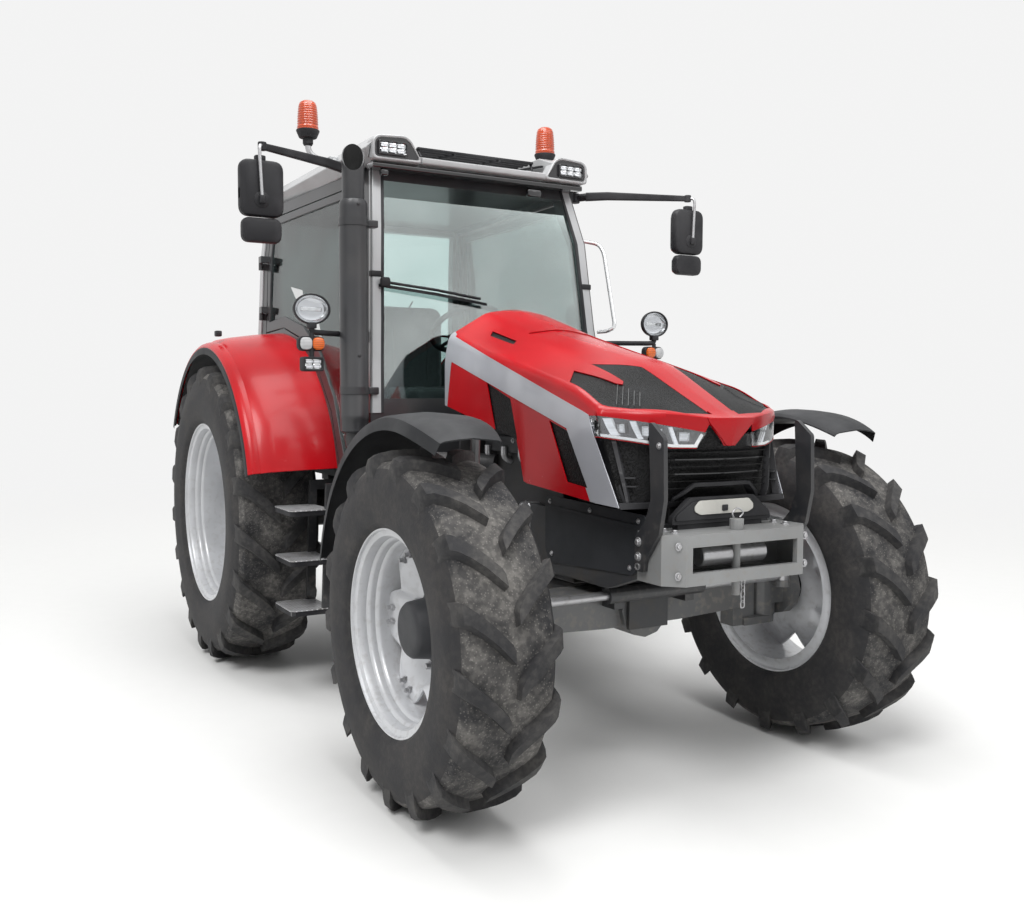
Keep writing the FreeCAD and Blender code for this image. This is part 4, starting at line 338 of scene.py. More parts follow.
@dataclass(frozen=True)
class Paint(Finish):
    """Sprayed paint with a clear coat, faint unevenness, dust in films and splashes low down."""

    name: str
    colour: Colour
    gloss: float = 0.28
    coat: float = 0.6
    dust: Colour = (0.23, 0.205, 0.18)
    dusty: float = 0.3
    metal: float = 0.0
    shine: float = 0.5

    def mixed(self) -> bpy.types.Material:
        """Mix the paint.

        Returns:
            The material.
        """
        shade = Shade(self.name)
        shadow = tuple(0.72 * part for part in self.colour)
        body = shade.mix(shade.sharpen(shade.noise(2.3, 3.0), 0.35, 0.7), self.colour, shadow)
        film = shade.sharpen(shade.noise(5.5, 9.0), 0.42, 0.8)
        splash = shade.sharpen(shade.noise(34.0, 6.0), 0.52, 0.66)
        low = shade.sums("MULTIPLY", splash, shade.low_down(1.35, 0.9))
        dirt = shade.sums("MULTIPLY", shade.sums("ADD", shade.sums("MULTIPLY", film, 0.35), low), self.dusty)
        rough = shade.sums("ADD", shade.sums("MULTIPLY", dirt, 0.6), self.gloss)
        shade.bump(shade.noise(210.0, 2.0), 0.05, 0.0006)
        return shade.finish(
            shade.mix(dirt, body, self.dust), rough, Metallic=self.metal, Coat_Weight=self.coat,
            Coat_Roughness=0.08, Specular_IOR_Level=self.shine,
        )


@dataclass(frozen=True)
class Moulded(Finish):
    """Moulded plastic with a fine grain that has greyed a little."""

    name: str
    colour: Colour
    roughness: float = 0.55
    grain: float = 900.0
    greyed: Colour = (0.12, 0.12, 0.125)

    def mixed(self) -> bpy.types.Material:
        """Mix the plastic.

        Returns:
            The material.
        """
        shade = Shade(self.name)
        worn = shade.sums("MULTIPLY", shade.sharpen(shade.noise(4.0, 8.0), 0.45, 0.8), 0.35)
        rough = shade.sums("ADD", shade.sums("MULTIPLY", shade.noise(18.0, 5.0), 0.25), self.roughness - 0.12)
        shade.bump(shade.cells(self.grain), 0.18, 0.0004)
        return shade.finish(shade.mix(worn, self.colour, self.greyed), rough, Specular_IOR_Level=0.28)


@dataclass(frozen=True)
class Rubber(Finish):
    """Tyre rubber, brown-grey with trodden dust where it meets the ground."""

    name: str
    colour: Colour = (0.020, 0.020, 0.022)
    dust: Colour = (0.125, 0.112, 0.098)
    dusty: float = 0.5
    grit: float = 0.0

    def mixed(self) -> bpy.types.Material:
        """Mix the rubber.

        Returns:
            The material.
        """
        shade = Shade(self.name)
        patches = shade.sums("MULTIPLY", shade.sharpen(shade.noise(7.0, 10.0), 0.38, 0.72), 0.65)
        crumbs = shade.sums("MULTIPLY", shade.sharpen(shade.noise(44.0, 9.0), 0.44, 0.60), 0.55)
        film = shade.sums("ADD", patches, shade.sums("MULTIPLY", crumbs, shade.sums("ADD", patches, 0.35)))
        specks = shade.sharpen(shade.cells(95.0), 0.33, 0.12)
        grit = shade.sums("MULTIPLY", specks, self.grit)
        dirt = shade.sums("ADD", shade.sums("MULTIPLY", film, self.dusty), grit)
        pale = shade.mix(shade.noise(60.0, 6.0), self.dust, tuple(2.2 * part for part in self.dust))
        shade.bump(
            shade.sums("ADD", shade.noise(160.0, 8.0), shade.sums("MULTIPLY", specks, self.grit)), 0.45,
            0.0025
        )
        return shade.finish(
            shade.mix(dirt, self.colour, pale), shade.sharpen(dirt, -1.6, 0.6), Specular_IOR_Level=0.35,
        )


@dataclass(frozen=True)
class Cast(Finish):
    """Painted castings: a pebbled skin with patches of grime that gather towards the ground."""

    name: str
    colour: Colour = (0.035, 0.036, 0.039)
    grime: Colour = (0.085, 0.075, 0.062)
    roughness: float = 0.52

    def mixed(self) -> bpy.types.Material:
        """Mix the casting's skin.

        Returns:
            The material.
        """
        shade = Shade(self.name)
        film = shade.sharpen(shade.noise(9.0, 9.0), 0.45, 0.75)
        low = shade.sums("MULTIPLY", film, shade.low_down(1.5, 1.2))
        rough = shade.sums("ADD", shade.sums("MULTIPLY", film, 0.25), self.roughness)
        shade.bump(shade.noise(260.0, 6.0), 0.35, 0.0016)
        return shade.finish(
            shade.mix(low, self.colour, self.grime), rough, Coat_Weight=0.12, Coat_Roughness=0.3
        )


@dataclass(frozen=True)
class Steel(Finish):
    """Bare or plated steel with fine drawn lines and spots of rust or dullness."""

    name: str
    colour: Colour = (0.46, 0.46, 0.47)
    spots: Colour = (0.17, 0.14, 0.12)
    roughness: float = 0.3
    worn: float = 0.4

    def mixed(self) -> bpy.types.Material:
        """Mix the steel.

        Returns:
            The material.
        """
        shade = Shade(self.name)
        spot = shade.sums("MULTIPLY", shade.sharpen(shade.noise(42.0, 8.0), 0.55, 0.75), self.worn)
        lines = shade.noise(420.0, 3.0, (1.0, 0.05, 1.0))
        rough = shade.sums("ADD", shade.sums("MULTIPLY", lines, 0.2), self.roughness)
        shade.bump(lines, 0.12, 0.0003)
        return shade.finish(shade.mix(spot, self.colour, self.spots), rough, Metallic=0.9)


@dataclass(frozen=True)
class CheckerPlate(Finish):
    """Aluminium tread plate with raised slanted bars and worn tops."""

    name: str
    colour: Colour = (0.70, 0.70, 0.71)

    def mixed(self) -> bpy.types.Material:
        """Mix the tread plate.

        Returns:
            The material.
        """
        shade = Shade(self.name)
        bars = [shade.waves(17.0, "X", (0, 0, turn)) for turn in (45, -45)]
        raised = shade.sharpen(shade.sums("MULTIPLY", bars[0], bars[1]), 0.42, 0.62)
        grime = shade.sums("MULTIPLY", shade.sharpen(shade.noise(22.0, 8.0), 0.45, 0.7), 0.75)
        hollow = shade.mix(grime, (0.40, 0.40, 0.41), (0.12, 0.11, 0.10))
        shade.bump(raised, 0.9, 0.004)
        return shade.finish(shade.mix(raised, hollow, self.colour), 0.34, Metallic=0.3)


@dataclass(frozen=True)
class Perforated(Finish):
    """Black pressed mesh with rows of small holes, each painted near-black as painted shade for the dark
    behind it.
    """

    name: str
    colour: Colour = (0.030, 0.030, 0.032)
    holes: float = 105.0

    def mixed(self) -> bpy.types.Material:
        """Mix the mesh.

        Returns:
            The material.
        """
        shade = Shade(self.name)
        pattern = shade.sharpen(shade.cells(self.holes), 0.30, 0.52)
        shade.bump(pattern, 0.8, 0.003)
        # The mix runs to near-black at each hole: painted shade for the dark behind the holes. Across the land
        # it follows the noise.
        dusty = shade.sums("MULTIPLY", pattern, shade.sharpen(shade.noise(6.0, 6.0), 0.3, 0.9))
        return shade.finish(
            shade.mix(dusty, (0.003, 0.003, 0.003), self.colour), 0.48, Specular_IOR_Level=0.22
        )


@dataclass(frozen=True)
class Glass(Finish):
    """Tinted cab glass with a faint film of dust."""

    name: str
    tint: Colour = (0.80, 0.88, 0.87)
    film: float = 0.05

    def mixed(self) -> bpy.types.Material:
        """Mix the glass from a see-through share and a glossy share.

        Returns:
            The material.
        """
        shade = Shade(self.name)
        dust = shade.sums("MULTIPLY", shade.sharpen(shade.noise(3.0, 8.0), 0.4, 0.85), self.film)
        made = shade.finish(
            self.tint, shade.sums("ADD", dust, 0.02), Transmission_Weight=1.0, IOR=1.45,
            Specular_IOR_Level=0.5,
        )
        clear = shade.node("ShaderNodeBsdfTransparent")
        clear.inputs["Color"].default_value = (*self.tint, 1.0)
        gloss = shade.node("ShaderNodeBsdfGlossy")
        gloss.inputs["Roughness"].default_value = 0.03
        rim = shade.node("ShaderNodeFresnel")
        rim.inputs["IOR"].default_value = 1.5
        share = shade.sums("ADD", shade.sums("MULTIPLY", rim.outputs[0], 0.9), shade.sums("ADD", dust, 0.05))
        both = shade.node("ShaderNodeMixShader")
        shade.feed(both.inputs[0], share)
        shade.feed(both.inputs[1], clear.outputs[0])
        shade.feed(both.inputs[2], gloss.outputs[0])
        light = shade.node("ShaderNodeLightPath")
        split = shade.node("ShaderNodeMixShader")
        shade.feed(split.inputs[0], light.outputs["Is Shadow Ray"])
        shade.feed(split.inputs[1], both.outputs[0])
        shade.feed(split.inputs[2], clear.outputs[0])
        shade.feed(shade.tree.nodes["Material Output"].inputs["Surface"], split.outputs[0])
        return made


@dataclass(frozen=True)
class Lens(Finish):
    """Clear or coloured lamp plastic with moulded ribs, faintly lit from within."""

    name: str
    colour: Colour
    glow: float = 0.0
    ribs: float = 60.0
    through: float = 0.35

    def mixed(self) -> bpy.types.Material:
        """Mix the lens.

        Returns:
            The material.
        """
        shade = Shade(self.name)
        ribs = shade.waves(self.ribs, "Z")
        shade.bump(ribs, 0.35, 0.002)
        deep = tuple(0.55 * part for part in self.colour)
        return shade.finish(
            shade.mix(ribs, deep, self.colour), 0.12, Transmission_Weight=self.through, IOR=1.45,
            Emission_Color=self.colour, Emission_Strength=self.glow, Coat_Weight=0.5, Coat_Roughness=0.05,
        )


@dataclass(frozen=True)
class Reflector(Finish):
    """Bright facets behind a lamp's glass, or a mirror's face."""

    name: str
    colour: Colour = (0.82, 0.83, 0.84)
    facets: float = 45.0
    depth: float = 0.6

    def mixed(self) -> bpy.types.Material:
        """Mix the bright metal.

        Returns:
            The material.
        """
        shade = Shade(self.name)
        cells = shade.cells(self.facets)
        shade.bump(cells, self.depth, 0.004)
        return shade.finish(
            shade.mix(cells, self.colour, tuple(0.8 * part for part in self.colour)), 0.1, Metallic=1.0
        )


@dataclass(frozen=True)
class Woven(Finish):
    """Seat cloth: a fine diagonal weave with a mottled yarn."""

    name: str
    colour: Colour = (0.045, 0.046, 0.05)
    yarn: Colour = (0.11, 0.112, 0.12)

    def mixed(self) -> bpy.types.Material:
        """Mix the cloth.

        Returns:
            The material.
        """
        shade = Shade(self.name)
        threads = [shade.waves(330.0, along, (0, 0, 45)) for along in ("X", "Y")]
        weave = shade.sums("MULTIPLY", threads[0], threads[1])
        mottle = shade.sums("MULTIPLY", weave, shade.sharpen(shade.noise(70.0, 5.0), 0.3, 0.8))
        shade.bump(weave, 0.5, 0.0012)
        return shade.finish(
            shade.mix(mottle, self.colour, self.yarn), 0.85, Sheen_Weight=0.35, Sheen_Roughness=0.5
        )


@dataclass(frozen=True)
class StudioFloor(Finish):
    """A pale floor that keeps the shadow near the tractor and runs into the backdrop far away."""

    name: str = "studio_floor"
    colour: Colour = (0.78, 0.78, 0.77)
    near: float = 5.5
    far: float = 13.0

    def mixed(self) -> bpy.types.Material:
        """Mix the floor.

        Returns:
            The material.
        """
        shade = Shade(self.name)
        speckle = shade.mix(shade.noise(9.0, 8.0), self.colour, tuple(0.97 * part for part in self.colour))
        made = shade.finish(speckle, 0.75, Specular_IOR_Level=0.2)
        reach = shade.node("ShaderNodeVectorMath", operation="LENGTH")
        shade.feed(reach.inputs[0], shade.place)
        fade = shade.sharpen(reach.outputs["Value"], self.near, self.far)
        backdrop = shade.node("ShaderNodeEmission")
        backdrop.inputs["Color"].default_value = (*BACKDROP, 1.0)
        both = shade.node("ShaderNodeMixShader")
        shade.feed(both.inputs[0], fade)
        shade.feed(both.inputs[1], shade.shader.outputs[0])
        shade.feed(both.inputs[2], backdrop.outputs[0])
        shade.feed(shade.tree.nodes["Material Output"].inputs["Surface"], both.outputs[0])
        return made


RED = Paint("red_gloss_paint", (0.47, 0.001, 0.006), gloss=0.27, coat=0.10, dusty=0.02, shine=0.26)
SILVER_BAND = Paint("band_silver_paint", (0.47, 0.48, 0.52), gloss=0.32, metal=0.2, dusty=0.10)
RIM_SILVER = Paint("rim_silver_paint", (0.62, 0.63, 0.65), gloss=0.32, coat=0.3, metal=0.25, dusty=0.22)
ROOF_GREY = Paint("roof_grey_paint", (0.36, 0.365, 0.37), gloss=0.4, coat=0.25, dusty=0.25)
AXLE_GREY = Paint("axle_grey_paint", (0.115, 0.118, 0.120), gloss=0.42, coat=0.2, dusty=0.5)
WELD_GREY = Paint("frame_grey_paint", (0.27, 0.275, 0.275), gloss=0.4, coat=0.15, dusty=0.45)
CAB_DARK = Paint("cab_dark_paint", (0.032, 0.033, 0.036), gloss=0.38, coat=0.3, dusty=0.25)
TRIM_PALE = Paint("trim_pale_paint", (0.42, 0.43, 0.44), gloss=0.3, coat=0.4, dusty=0.15)
HORN_BLACK = Paint("horn_black_paint", (0.020, 0.021, 0.024), gloss=0.42, coat=0.2, dusty=0.3)
SHIELD_GREY = Paint("shield_dark_paint", (0.036, 0.037, 0.040), gloss=0.4, coat=0.15, dusty=0.2, shine=0.35)
POD_GLOSS = Paint("pod_gloss_black", (0.010, 0.010, 0.012), gloss=0.12, coat=0.9, dusty=0.06)
PLATE_WHITE = Paint("bare_plate_white", (0.66, 0.65, 0.60), gloss=0.35, coat=0.3, dusty=0.25)
COVER_PLASTIC = Moulded(
    "lower_cover_moulding", (0.026, 0.028, 0.032), roughness=0.45, greyed=(0.07, 0.072, 0.078)
)
BLACK_PLASTIC = Moulded("black_moulding", (0.014, 0.014, 0.016))
GUARD_PLASTIC = Moulded("mudguard_moulding", (0.018, 0.019, 0.021), roughness=0.6, grain=600.0)
CABIN_GREY = Moulded("cabin_moulding", (0.085, 0.086, 0.09), roughness=0.6, greyed=(0.16, 0.16, 0.165))
HUB_COVER = Moulded("hub_cover_moulding", (0.030, 0.031, 0.034), roughness=0.5)
SIDEWALL = Rubber("tyre_side_rubber", dusty=0.16)
TREAD = Rubber("tyre_tread_rubber", dust=(0.125, 0.119, 0.110), dusty=0.32)
GROOVE = Rubber("tyre_groove_rubber", dust=(0.125, 0.119, 0.111), dusty=0.78, grit=0.5)
CASTING = Cast("casting_skin")
IRON = Cast("engine_skin", (0.028, 0.028, 0.030), roughness=0.6)
CHROME = Steel("bright_chrome", (0.80, 0.81, 0.82), roughness=0.07, worn=0.05)
STEEL = Steel("worn_steel")
CHECKER = CheckerPlate("step_tread_plate")
MESH = Perforated("bonnet_mesh", (0.012, 0.012, 0.013))
TOP_MESH = Perforated("bonnet_top_mesh", (0.017, 0.018, 0.020), 190.0)
GRILLE_MESH = Perforated("grille_mesh", (0.022, 0.022, 0.024), 160.0)
CAB_GLASS = Glass("cab_window_glass")
LAMP_GLASS = Glass("lamp_glass", (0.95, 0.96, 0.97), 0.02)
LAMP_WHITE = Lens("lamp_white_lens", (0.85, 0.87, 0.90), glow=0.35)
CLEAR_LENS = Lens("clear_lamp_lens", (0.80, 0.81, 0.82), glow=0.08, ribs=50.0)
AMBER = Lens("amber_lens", (0.85, 0.16, 0.015), glow=0.12, ribs=34.0, through=0.2)
BEACON_AMBER = Lens("beacon_lens", (0.62, 0.075, 0.014), glow=0.05, ribs=26.0, through=0.25)
TAIL_RED = Lens("tail_red_lens", (0.60, 0.01, 0.01), glow=0.05, ribs=70.0, through=0.1)
SOOT = Cast("stack_soot", (0.002, 0.002, 0.002), (0.004, 0.004, 0.004), 0.9)
BRIGHT = Reflector("lamp_reflector", depth=0.3)
DARK_BOWL = Reflector("headlight_bowl", (0.10, 0.10, 0.11), 60.0, 0.25)
MIRROR_FACE = Reflector("mirror_glass", (0.80, 0.82, 0.83), 0.5, 0.0)
SEAT_CLOTH = Woven("seat_cloth")


class Draft:
    """The points and faces of one piece, gathered before they become a mesh."""

    def __init__(self) -> None:
        """Start with nothing."""
        self.points: list[Vector] = []
        self.faces: list[tuple[int, ...]] = []
        self.marks: list[int] = []

    def add(self, points: Sequence[Point], faces: Sequence[Sequence[int]], mark: int = 0) -> "Draft":
        """Add faces over new points.

        Args:
            points: The new points.
            faces: Faces as places in that list.
            mark: Which of the piece's finishes they have.

        Returns:
            The draft.
        """
        start = len(self.points)
        self.points.extend(Vector(point) for point in points)
        self.faces.extend(tuple(start + corner for corner in face) for face in faces)
        self.marks.extend([mark] * len(faces))
        return self

    def loft(
        self, rings: Sequence[Sequence[Point]], mark: int = 0, round_up: bool = True, ends: bool = True,
        loop: bool = False,
    ) -> "Draft":
        """Skin a row of outlines that have as many points each.

        Args:
            rings: The outlines.
            mark: Which of the piece's finishes the skin has.
            round_up: Whether each outline is closed.
            ends: Whether the first and last outline are filled.
            loop: Whether the last outline joins the first.

        Returns:
            The draft.
        """
        count = len(rings[0])
        total = len(rings)
        faces = []
        for row in range(total if loop else total - 1):
            after = (row + 1) % total
            for corner in range(count if round_up else count - 1):
                nearby = (corner + 1) % count
                faces.append((
                    row * count + corner, row * count + nearby, after * count + nearby, after * count + corner,
                ))
        if ends and round_up and not loop:
            faces.append(tuple(reversed(range(count))))
            faces.append(tuple(range((total - 1) * count, total * count)))
        return self.add([point for ring in rings for point in ring], faces, mark)

    def block(self, low: Point, high: Point, mark: int = 0) -> "Draft":
        """A box between two corners.

        Args:
            low: Its lowest corner.
            high: Its highest corner.
            mark: Which of the piece's finishes it has.

        Returns:
            The draft.
        """
        rings = [[(low[0], low[1], z), (high[0], low[1], z), (high[0], high[1], z), (low[0], high[1], z)]
                 for z in (low[2], high[2])]
        return self.loft(rings, mark)

    def slab(self, axis: Axis, start: float, end: float, outline: Sequence[Point], mark: int = 0) -> "Draft":
        """A flat outline thickened along an axis.

        Args:
            axis: The direction of its thickness.
            start: Where it starts on that axis.
            end: Where it ends.
            outline: Its corners on the other two axes, in their order.
            mark: Which of the piece's finishes it has.

        Returns:
            The draft.
        """
        def spot(level: float, pair: Point) -> Vector:
            """A corner at a level."""
            parts = {Axis.X: (level, *pair), Axis.Y: (pair[0], level, pair[1]), Axis.Z: (*pair, level)}
            return Vector(parts[axis])

        return self.loft([[spot(level, pair) for pair in outline] for level in (start, end)], mark)

    def housing(
        self, axis: Axis, low: Point, high: Point, bend: float, ease: float = 0.0, mark: int = 0,
    ) -> "Draft":
        """A moulded box with round corners whose two ends are eased in.

        Args:
            axis: The direction from one end to the other.
            low: Its lowest corner.
            high: Its highest corner.
            bend: Radius of the corners that run along the axis.
            ease: How far the ends are drawn in.
            mark: Which of the piece's finishes it has.

        Returns:
            The draft.
        """
        place = {Axis.X: 0, Axis.Y: 1, Axis.Z: 2}[axis]
        one, two = (spot for spot in range(3) if spot != place)
        levels = [
            (low[place] + ease * part, ease * inset) for part, inset in ((0.0, 1.0), (0.3, 0.3), (1.0, 0.0))
        ]
        levels += [
            (high[place] - ease * part, ease * inset) for part, inset in ((1.0, 0.0), (0.3, 0.3), (0.0, 1.0))
        ]
        rings = []
        for level, inset in levels if ease else ((low[place], 0.0), (high[place], 0.0)):
            corners = (
                (low[one] + inset, low[two] + inset), (high[one] - inset, low[two] + inset),
                (high[one] - inset, high[two] - inset), (low[one] + inset, high[two] - inset),
            )
            ring = []
            for first, second in round_corners(corners, bend):
                spot = Vector((level, level, level))
                spot[one], spot[two] = first, second
                ring.append(spot)
            rings.append(ring)
        return self.loft(rings, mark)

    def bolt(self, axis: Axis, spot: Point, radius: float, mark: int = 0, way: int = 1) -> "Draft":
        """A hexagon head on its washer.

        Args:
            axis: The direction that it stands along.
            spot: The middle of its foot.
            radius: Radius of the head.
            mark: Which of the piece's finishes it has.
            way: 1 to stand up along the axis and -1 to stand against it.

        Returns:
            The draft.
        """
        washer = ((0.0, 1.5), (0.22, 1.5), (0.3, 1.35), (0.3, 0.05))
        head = ((0.3, 1.0), (0.85, 1.0), (1.0, 0.85), (1.0, 0.05))
        for profile, sides in ((washer, 20), (head, 6)):
            self.turned(
                axis, spot, [(way * along * radius, out * radius) for along, out in profile], sides, mark
            )
        return self

    def placed(self, matrix: Matrix, since: int = 0) -> "Draft":
        """Move the points from a place in the list on by a matrix."""
        self.points[since:] = [matrix @ point for point in self.points[since:]]
        return self

    def turned(
        self, axis: Axis, centre: Point, profile: Sequence[tuple[float, float]], sides: int = 48,
        mark: int = 0,
        start: float = 0.0, sweep: float = 360.0, round_up: bool = False,
    ) -> "Draft":
        """A profile turned about an axis.

        Args:
            axis: The direction of the axis.
            centre: A point on it.
            profile: (along, radius) points.
            sides: Steps of the turn.
            mark: Which of the piece's finishes it has.
            start: Angle of the first step.
            sweep: Angle turned through.
            round_up: Whether the profile is closed.

        Returns:
            The draft.
        """
        whole = sweep == 360.0
        main = axis.value
        first = {Axis.X: Axis.Y.value, Axis.Y: Axis.X.value, Axis.Z: Axis.X.value}[axis]
        second = {Axis.X: Axis.Z.value, Axis.Y: Axis.Z.value, Axis.Z: Axis.Y.value}[axis]
        rings = []
        for step in range(sides if whole else sides + 1):
            angle = math.radians(start + sweep * step / sides)
            spoke = first * math.cos(angle) + second * math.sin(angle)
            rings.append([Vector(centre) + main * across + spoke * radius for across, radius in profile])
        return self.loft(rings, mark, round_up, False, whole)

    def rod(
        self, path: Sequence[Point], radius: float, sides: int = 14, bend: float = 0.0, mark: int = 0
    ) -> "Draft":
        """A round bar along a path whose corners are bent.

        Args:
            path: Its corners.
            radius: The bar's radius.
            sides: Sides of its section.
            bend: Radius of the bends.
            mark: Which of the piece's finishes it has.

        Returns:
            The draft.
        """
        spots = eased(path, bend) if bend else [Vector(point) for point in path]
        rings = []
        up = Vector((0.31, 0.17, 0.93))
        for number, spot in enumerate(spots):
            before = spots[max(number - 1, 0)]
            after = spots[min(number + 1, len(spots) - 1)]
            along = (after - before).normalized()
            side = along.cross(up).normalized()
            up = side.cross(along).normalized()
            turn = [2 * math.pi * step / sides for step in range(sides)]
            rings.append([spot + (side * math.cos(angle) + up * math.sin(angle)) * radius for angle in turn])
        return self.loft(rings, mark)

    def both(self) -> "Draft":
        """Add the mirror image on the tractor's other side.

        Returns:
            The draft.
        """
        return self.add(
            [(x, -y, z) for x, y, z in self.points], [tuple(reversed(face)) for face in self.faces],
        ).remark(len(self.marks) // 2)

    def remark(self, half: int) -> "Draft":
        """Give the second half of the faces the marks of the first."""
        self.marks[half:] = self.marks[:half]
        return self

    def made(
        self, name: str, body: str, *finishes: Finish, stands_for: Sequence[str] = (), edge: float = 0.0,
        slot: str = "", rounds: int = 2,
    ) -> bpy.types.Object:
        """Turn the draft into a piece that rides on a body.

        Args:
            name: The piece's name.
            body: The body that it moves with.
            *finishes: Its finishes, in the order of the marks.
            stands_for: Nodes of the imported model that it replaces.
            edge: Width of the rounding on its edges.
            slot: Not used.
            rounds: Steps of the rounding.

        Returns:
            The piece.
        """
        mesh = bpy.data.meshes.new(name)
        mesh.from_pydata([point * MM for point in self.points], [], self.faces)
        mesh.polygons.foreach_set("material_index", self.marks)
        return dressed(name, mesh, body, finishes, stands_for, edge, rounds)


def dressed(
    name: str, mesh: bpy.types.Mesh, body: str, finishes: Sequence[Finish], stands_for: Sequence[str] = (),
    edge: float = 0.0, rounds: int = 2, weld: float = 0.05,
) -> bpy.types.Object:
    """Clean a mesh, smooth it between its creases and make a piece of it.

    Args:
        name: The piece's name.
        mesh: Its mesh, in metres.
        body: The body that it moves with.
        finishes: Its finishes, in the order of the mesh's material places.
        stands_for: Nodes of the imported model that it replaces.
        edge: Width of the rounding on its edges.
        rounds: Steps of the rounding.
        weld: Points closer than this become one.

    Returns:
        The piece.
    """
    draft = bmesh.new()
    draft.from_mesh(mesh)
    bmesh.ops.remove_doubles(draft, verts=draft.verts, dist=weld * MM)
    bmesh.ops.recalc_face_normals(draft, faces=draft.faces)
    for face in draft.faces:
        face.smooth = True
    for line in draft.edges:
        if len(line.link_faces) == 2:
            line.smooth = line.calc_face_angle(0.0) < SMOOTH_BELOW
    draft.to_mesh(mesh)
    draft.free()
    for finish in finishes:
        mesh.materials.append(finish.material())
    piece = bpy.data.objects.new(name, mesh)
    bpy.context.scene.collection.objects.link(piece)
    if edge:
        bevel = piece.modifiers.new("rounded_edges", "BEVEL")
        bevel.width = edge * MM
        bevel.segments = rounds
        bevel.limit_method = "ANGLE"
        bevel.angle_limit = BEVEL_ABOVE
        bevel.harden_normals = True
    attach(piece, body)
    if stands_for:
        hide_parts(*stands_for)
    LOG.info("made %s on %s with %d faces", name, body, len(mesh.polygons))
    return piece


def eased(path: Sequence[Point], bend: float, steps: int = 6) -> Ring:
    """Round the corners of a path.

    Args:
        path: Its corners.
        bend: How far from each corner the rounding starts, at most.
        steps: Points of each rounding.

    Returns:
        The points of the rounded path.
    """
    spots = [Vector(point) for point in path]
    out = [spots[0]]
    for before, corner, after in zip(spots, spots[1:], spots[2:]):
        near = min(bend, 0.48 * (before - corner).length)
        far = min(bend, 0.48 * (after - corner).length)
        start = corner + (before - corner).normalized() * near
        end = corner + (after - corner).normalized() * far
        for step in range(steps + 1):
            part = step / steps
            out.append(start.lerp(corner, part).lerp(corner.lerp(end, part), part))
    return out + [spots[-1]]


def round_corners(outline: Sequence[Point], bend: float, steps: int = 5) -> list[tuple[float, float]]:
    """Round the corners of a closed flat outline.

    Args:
        outline: Its corners.
        bend: How far from each corner the rounding starts, at most.
        steps: Points of each rounding.

    Returns:
        The points of the rounded outline.
    """
    spots = [Vector((corner[0], corner[1])) for corner in outline]
    out = []
    for before, corner, after in zip(spots[-1:] + spots[:-1], spots, spots[1:] + spots[:1]):
        near = min(bend, 0.49 * (before - corner).length)
        far = min(bend, 0.49 * (after - corner).length)
        start = corner + (before - corner).normalized() * near
        end = corner + (after - corner).normalized() * far
        for step in range(steps + 1):
            part = step / steps
            spot = start.lerp(corner, part).lerp(corner.lerp(end, part), part)
            out.append((spot.x, spot.y))
    return out


def shrunk(outline: Sequence[Point], inset: float) -> list[tuple[float, float]]:
    """Draw a closed outline in towards its middle by about a distance on each side.

    Args:
        outline: Its corners.
        inset: The distance.

    Returns:
        The corners of the smaller outline.
    """
    wide = [pair[0] for pair in outline]
    tall = [pair[1] for pair in outline]
    middle = ((min(wide) + max(wide)) / 2, (min(tall) + max(tall)) / 2)
    share = (1 - 2 * inset / (max(wide) - min(wide)), 1 - 2 * inset / (max(tall) - min(tall)))
    return [
        tuple(middle[axis] + (pair[axis] - middle[axis]) * share[axis] for axis in (0, 1)) for pair in outline
    ]


def led_lamp(made: Draft, low: Point, high: Point, columns: int = 3, way: int = 1) -> Draft:
    """Add a rectangular lamp that looks along the tractor.

    Args:
        made: The draft; the lamp's frame is marked 0, its bright bowls 1 and its light sources 2.
        low: The lamp's lowest corner.
        high: Its highest corner.
        columns: Bowls in each of its two rows.
        way: 1 to look forward and -1 to look back.

    Returns:
        The draft.
    """
    back, front = (low[0], high[0]) if way > 0 else (high[0], low[0])
    rings = []
    for part, inset in ((0.0, 0.0), (0.85, 0.0), (1.0, 3.0), (1.0, 8.0), (0.6, 11.0)):
        corners = (
            (low[1] + inset, low[2] + inset), (high[1] - inset, low[2] + inset),
            (high[1] - inset, high[2] - inset), (low[1] + inset, high[2] - inset),
        )
        rings.append([(blend(back, front, part), y, z) for y, z in round_corners(corners, 12, 4)])
    made.loft(rings, 0, True, False)
    made.add(rings[-1], [tuple(range(len(rings[-1])))], 1)
    middle = (low[2] + high[2]) / 2
    wide = (high[1] - low[1] - 26) / columns
    for number in range(columns):
        start = low[1] + 13 + wide * number
        for bottom, top in ((low[2] + 12, middle - 1.5), (middle + 1.5, high[2] - 12)):
            bowl = []
            for part, inset in ((0.88, 1.5), (0.66, 6.0)):
                corners = ((start + inset, bottom + inset), (start + wide - inset, bottom + inset),
                           (start + wide - inset, top - inset), (start + inset, top - inset))
                bowl.append([(blend(back, front, part), y, z) for y, z in round_corners(corners, 4, 2)])
            made.loft(bowl, 1, True, False)
            made.add(bowl[-1], [tuple(range(len(bowl[-1])))], 2)
    return made


def even(path: Sequence[Vector], count: int) -> Ring:
    """Points at even distances along a path.

    Args:
        path: Its corners.
        count: How many points to give.

    Returns:
        The points.
    """
    lengths = [0.0]
    for before, after in zip(path, path[1:]):
        lengths.append(lengths[-1] + (after - before).length)
    out = []
    leg = 0
    for number in range(count):
        spot = lengths[-1] * number / (count - 1)
        while leg < len(path) - 2 and lengths[leg + 1] < spot:
            leg += 1
        span = lengths[leg + 1] - lengths[leg]
        out.append(path[leg].lerp(path[leg + 1], (spot - lengths[leg]) / span if span else 0.0))
    return out


class Assembly:
    """A group of pieces that is built in one go."""

    def build(self) -> None:
        """Build the group's pieces."""
        raise NotImplementedError


@dataclass(frozen=True)
class SoftForm:
    """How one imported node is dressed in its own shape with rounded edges."""

    node: str
    body: str
    finish: Finish
    edge: float = 6.0


